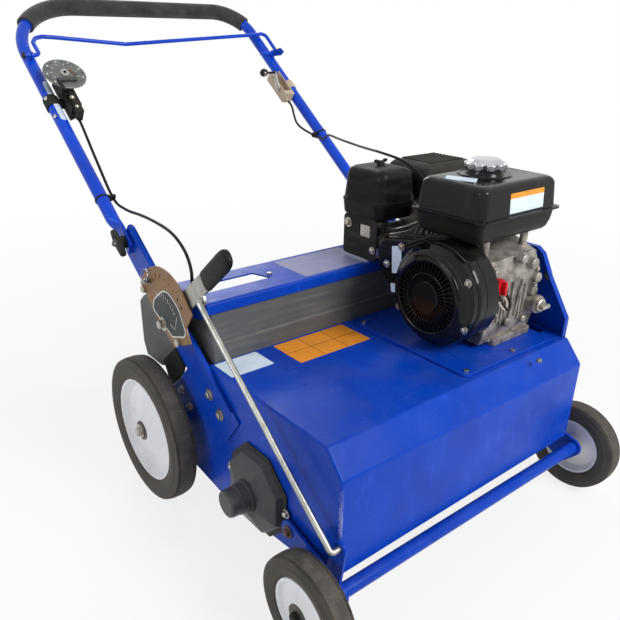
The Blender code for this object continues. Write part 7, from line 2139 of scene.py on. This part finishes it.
@dataclass
class Cables:
    """The seed cable down the left leg and the throttle cable to the engine."""

    seed_r: float = 0.003
    throttle_r: float = 0.0028

    def route(self, on_handle: Path, on_machine: Path) -> list[Vector]:
        """Return a smooth route in the frame through handle places and then machine places."""
        return flowing([HANDLE @ Vector(p) for p in on_handle] + [MACHINE @ Vector(p) for p in on_machine], 8)

    def seed_route(self) -> list[Vector]:
        """Return the seed cable's route in the frame."""
        ferrule = -0.3005
        upper = [(ferrule, 0.3372, 0.01), (ferrule, 0.3172, 0.01), (-0.308, 0.214, 0.007),
                 (-0.311, 0.115, 0.0)]
        lower = [
            (-0.311, 0.699, 0.579), (-0.31, 0.63, 0.581), (-0.31, 0.576, 0.581), (-0.31, 0.521, 0.577),
            (-0.31, 0.484, 0.567), (-0.31, 0.453, 0.547), (-0.31, 0.438, 0.52), (-0.31, 0.438, 0.4903),
        ]
        return self.route(upper, lower)

    def throttle_route(self) -> list[Vector]:
        """Return the throttle cable's route in the frame."""
        lever = self.throttle_x()
        upper = [
            (lever, 0.3632, 0.0), (lever, 0.3432, 0.0), (0.302, 0.3, -0.02), (0.309, 0.25, -0.008),
            (0.309, 0.2, 0.02),
        ]
        lower = [
            (0.296, 0.775, 0.672), (0.262, 0.69, 0.674), (0.222, 0.58, 0.676), (0.186, 0.5, 0.681),
            (0.1725, 0.455, 0.682), (0.1725, 0.39, 0.674), (0.1725, 0.335, 0.652), (0.1725, 0.303, 0.6196),
            (0.1725, 0.303, 0.5999),
        ]
        return self.route(upper, lower)

    def throttle_x(self) -> float:
        """Return where the throttle cable leaves its bracket."""
        leg, tube, bracket, seat = 0.335, 0.014, 0.03, 0.01
        return leg - tube - GAP - bracket + seat

    def build(self) -> None:
        """Add both cables, which bend between the chassis and the handle."""
        fold = MACHINE @ Vector((0.0, FOLD_Y, FOLD_Z))
        up = (HANDLE.to_3x3() @ Vector((0.0, 1.0, 0.0))).normalized()
        cables = [("seed_cable", self.seed_route(), self.seed_r),
                  ("throttle_cable", self.throttle_route(), self.throttle_r)]
        for node, route, radius in cables:
            shape = rod(route, radius, SATIN_BLACK, 14, IN_FRAME)
            piece = add(f"{node}_black", [shape], None, [node], 60.0)
            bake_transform(piece, "chassis", "handle", start=tuple(fold - up * 0.06), end=tuple(fold + up * 0.1))


@dataclass
class Studio:
    """Pale floor, soft lamps, world and the camera at the photograph's view."""

    floor_half: float = 30.0
    lens: float = 38.086
    shift: Pair = (0.004, 0.0422)
    eye: Spot = (-0.8523, -0.572, 0.9136)
    forward: Spot = (0.57, 0.706, -0.42)
    right: Spot = (0.782, -0.623, 0.014)

    def build_floor(self) -> None:
        """Add the floor, which keeps the machine's shadow."""
        mesh = bpy.data.meshes.new("floor")
        h = self.floor_half
        mesh.from_pydata([(-h, -h, 0.0), (h, -h, 0.0), (h, h, 0.0), (-h, h, 0.0)], [], [(0, 1, 2, 3)])
        floor = linked("floor", mesh)
        floor.location.z = -0.0004
        recipe = Recipe("pale floor")
        recipe.shader.inputs["Base Color"].default_value = (0.88, 0.88, 0.88, 1.0)
        recipe.shader.inputs["Roughness"].default_value = 0.9
        paler = recipe.span(recipe.length(recipe.place), 0.9, 2.6, 0.8, 1.0)
        glow = recipe.out("ShaderNodeEmission", {"Strength": 1.0})
        keys = {0: recipe.times(recipe.seen(), paler), 1: recipe.shader.outputs[0], 2: glow}
        last = recipe.tree.nodes["Material Output"].inputs["Surface"]
        recipe.tree.links.new(recipe.out("ShaderNodeMixShader", keys), last)
        mesh.materials.append(recipe.material)

    def build_world(self) -> None:
        """Light the world softly and show it white."""
        world = bpy.data.worlds.new("studio")
        bpy.context.scene.world = world
        world.use_nodes = True
        tree = Tree(world.node_tree)
        soft = world.node_tree.nodes["Background"]
        soft.inputs[0].default_value = (0.95, 0.97, 1.0, 1.0)
        soft.inputs[1].default_value = 0.32
        white = tree.out("ShaderNodeBackground", {0: (1.0, 1.0, 1.0, 1.0), 1: 1.0})
        blend = tree.out("ShaderNodeMixShader", {0: tree.seen(), 1: soft.outputs[0], 2: white})
        tree.tree.links.new(blend, world.node_tree.nodes["World Output"].inputs["Surface"])

    def lamp(self, name: str, spot: Spot, target: Spot, size: float, watts: float, colour: Colour) -> None:
        """Add a square soft lamp that looks at a point."""
        data = bpy.data.lights.new(name, "AREA")
        data.shape = "SQUARE"
        data.size = size
        data.energy = watts
        data.color = colour
        item = linked(name, data)
        item.location = spot
        item.rotation_euler = (Vector(target) - Vector(spot)).to_track_quat("-Z", "Y").to_euler()

    def build_camera(self) -> None:
        """Set the camera where the photograph was taken from."""
        data = bpy.data.cameras.new("camera")
        data.sensor_width = 36.0
        data.lens = self.lens
        data.shift_x, data.shift_y = self.shift
        forward, right = Vector(self.forward).normalized(), Vector(self.right)
        right = (right - forward * right.dot(forward)).normalized()
        up = right.cross(forward)
        camera = linked("camera", data)
        turn = Matrix((right, up, -forward)).transposed().to_4x4()
        camera.matrix_world = MACHINE @ Matrix.Translation(self.eye) @ turn
        bpy.context.scene.camera = camera

    def build(self) -> None:
        """Add floor, world, lamps and camera."""
        bpy.context.scene.view_settings.view_transform = "Standard"
        self.build_floor()
        self.build_world()
        self.lamp("key", (0.7, -3.1, 2.6), (0.0, 0.0, 0.4), 1.4, 112.0, (1.0, 0.99, 0.97))
        self.lamp("fill", (-3.0, 0.2, 1.7), (0.0, 0.0, 0.4), 1.2, 26.0, (0.97, 0.98, 1.0))
        self.lamp("back", (1.2, 3.0, 2.4), (0.0, 0.2, 0.5), 1.6, 34.0, (1.0, 1.0, 1.0))
        self.build_camera()


def main() -> None:
    """Build the looks in order."""
    logging.basicConfig(level=logging.INFO, format="%(message)s")
    Studio().build()
    Cables().build()
    Deck().build()
    RunningGear().build()
    DepthControl().build()
    SeedUnit().build()
    Engine().build()
    HandleBar().build()


if __name__ == "__main__":
    main()
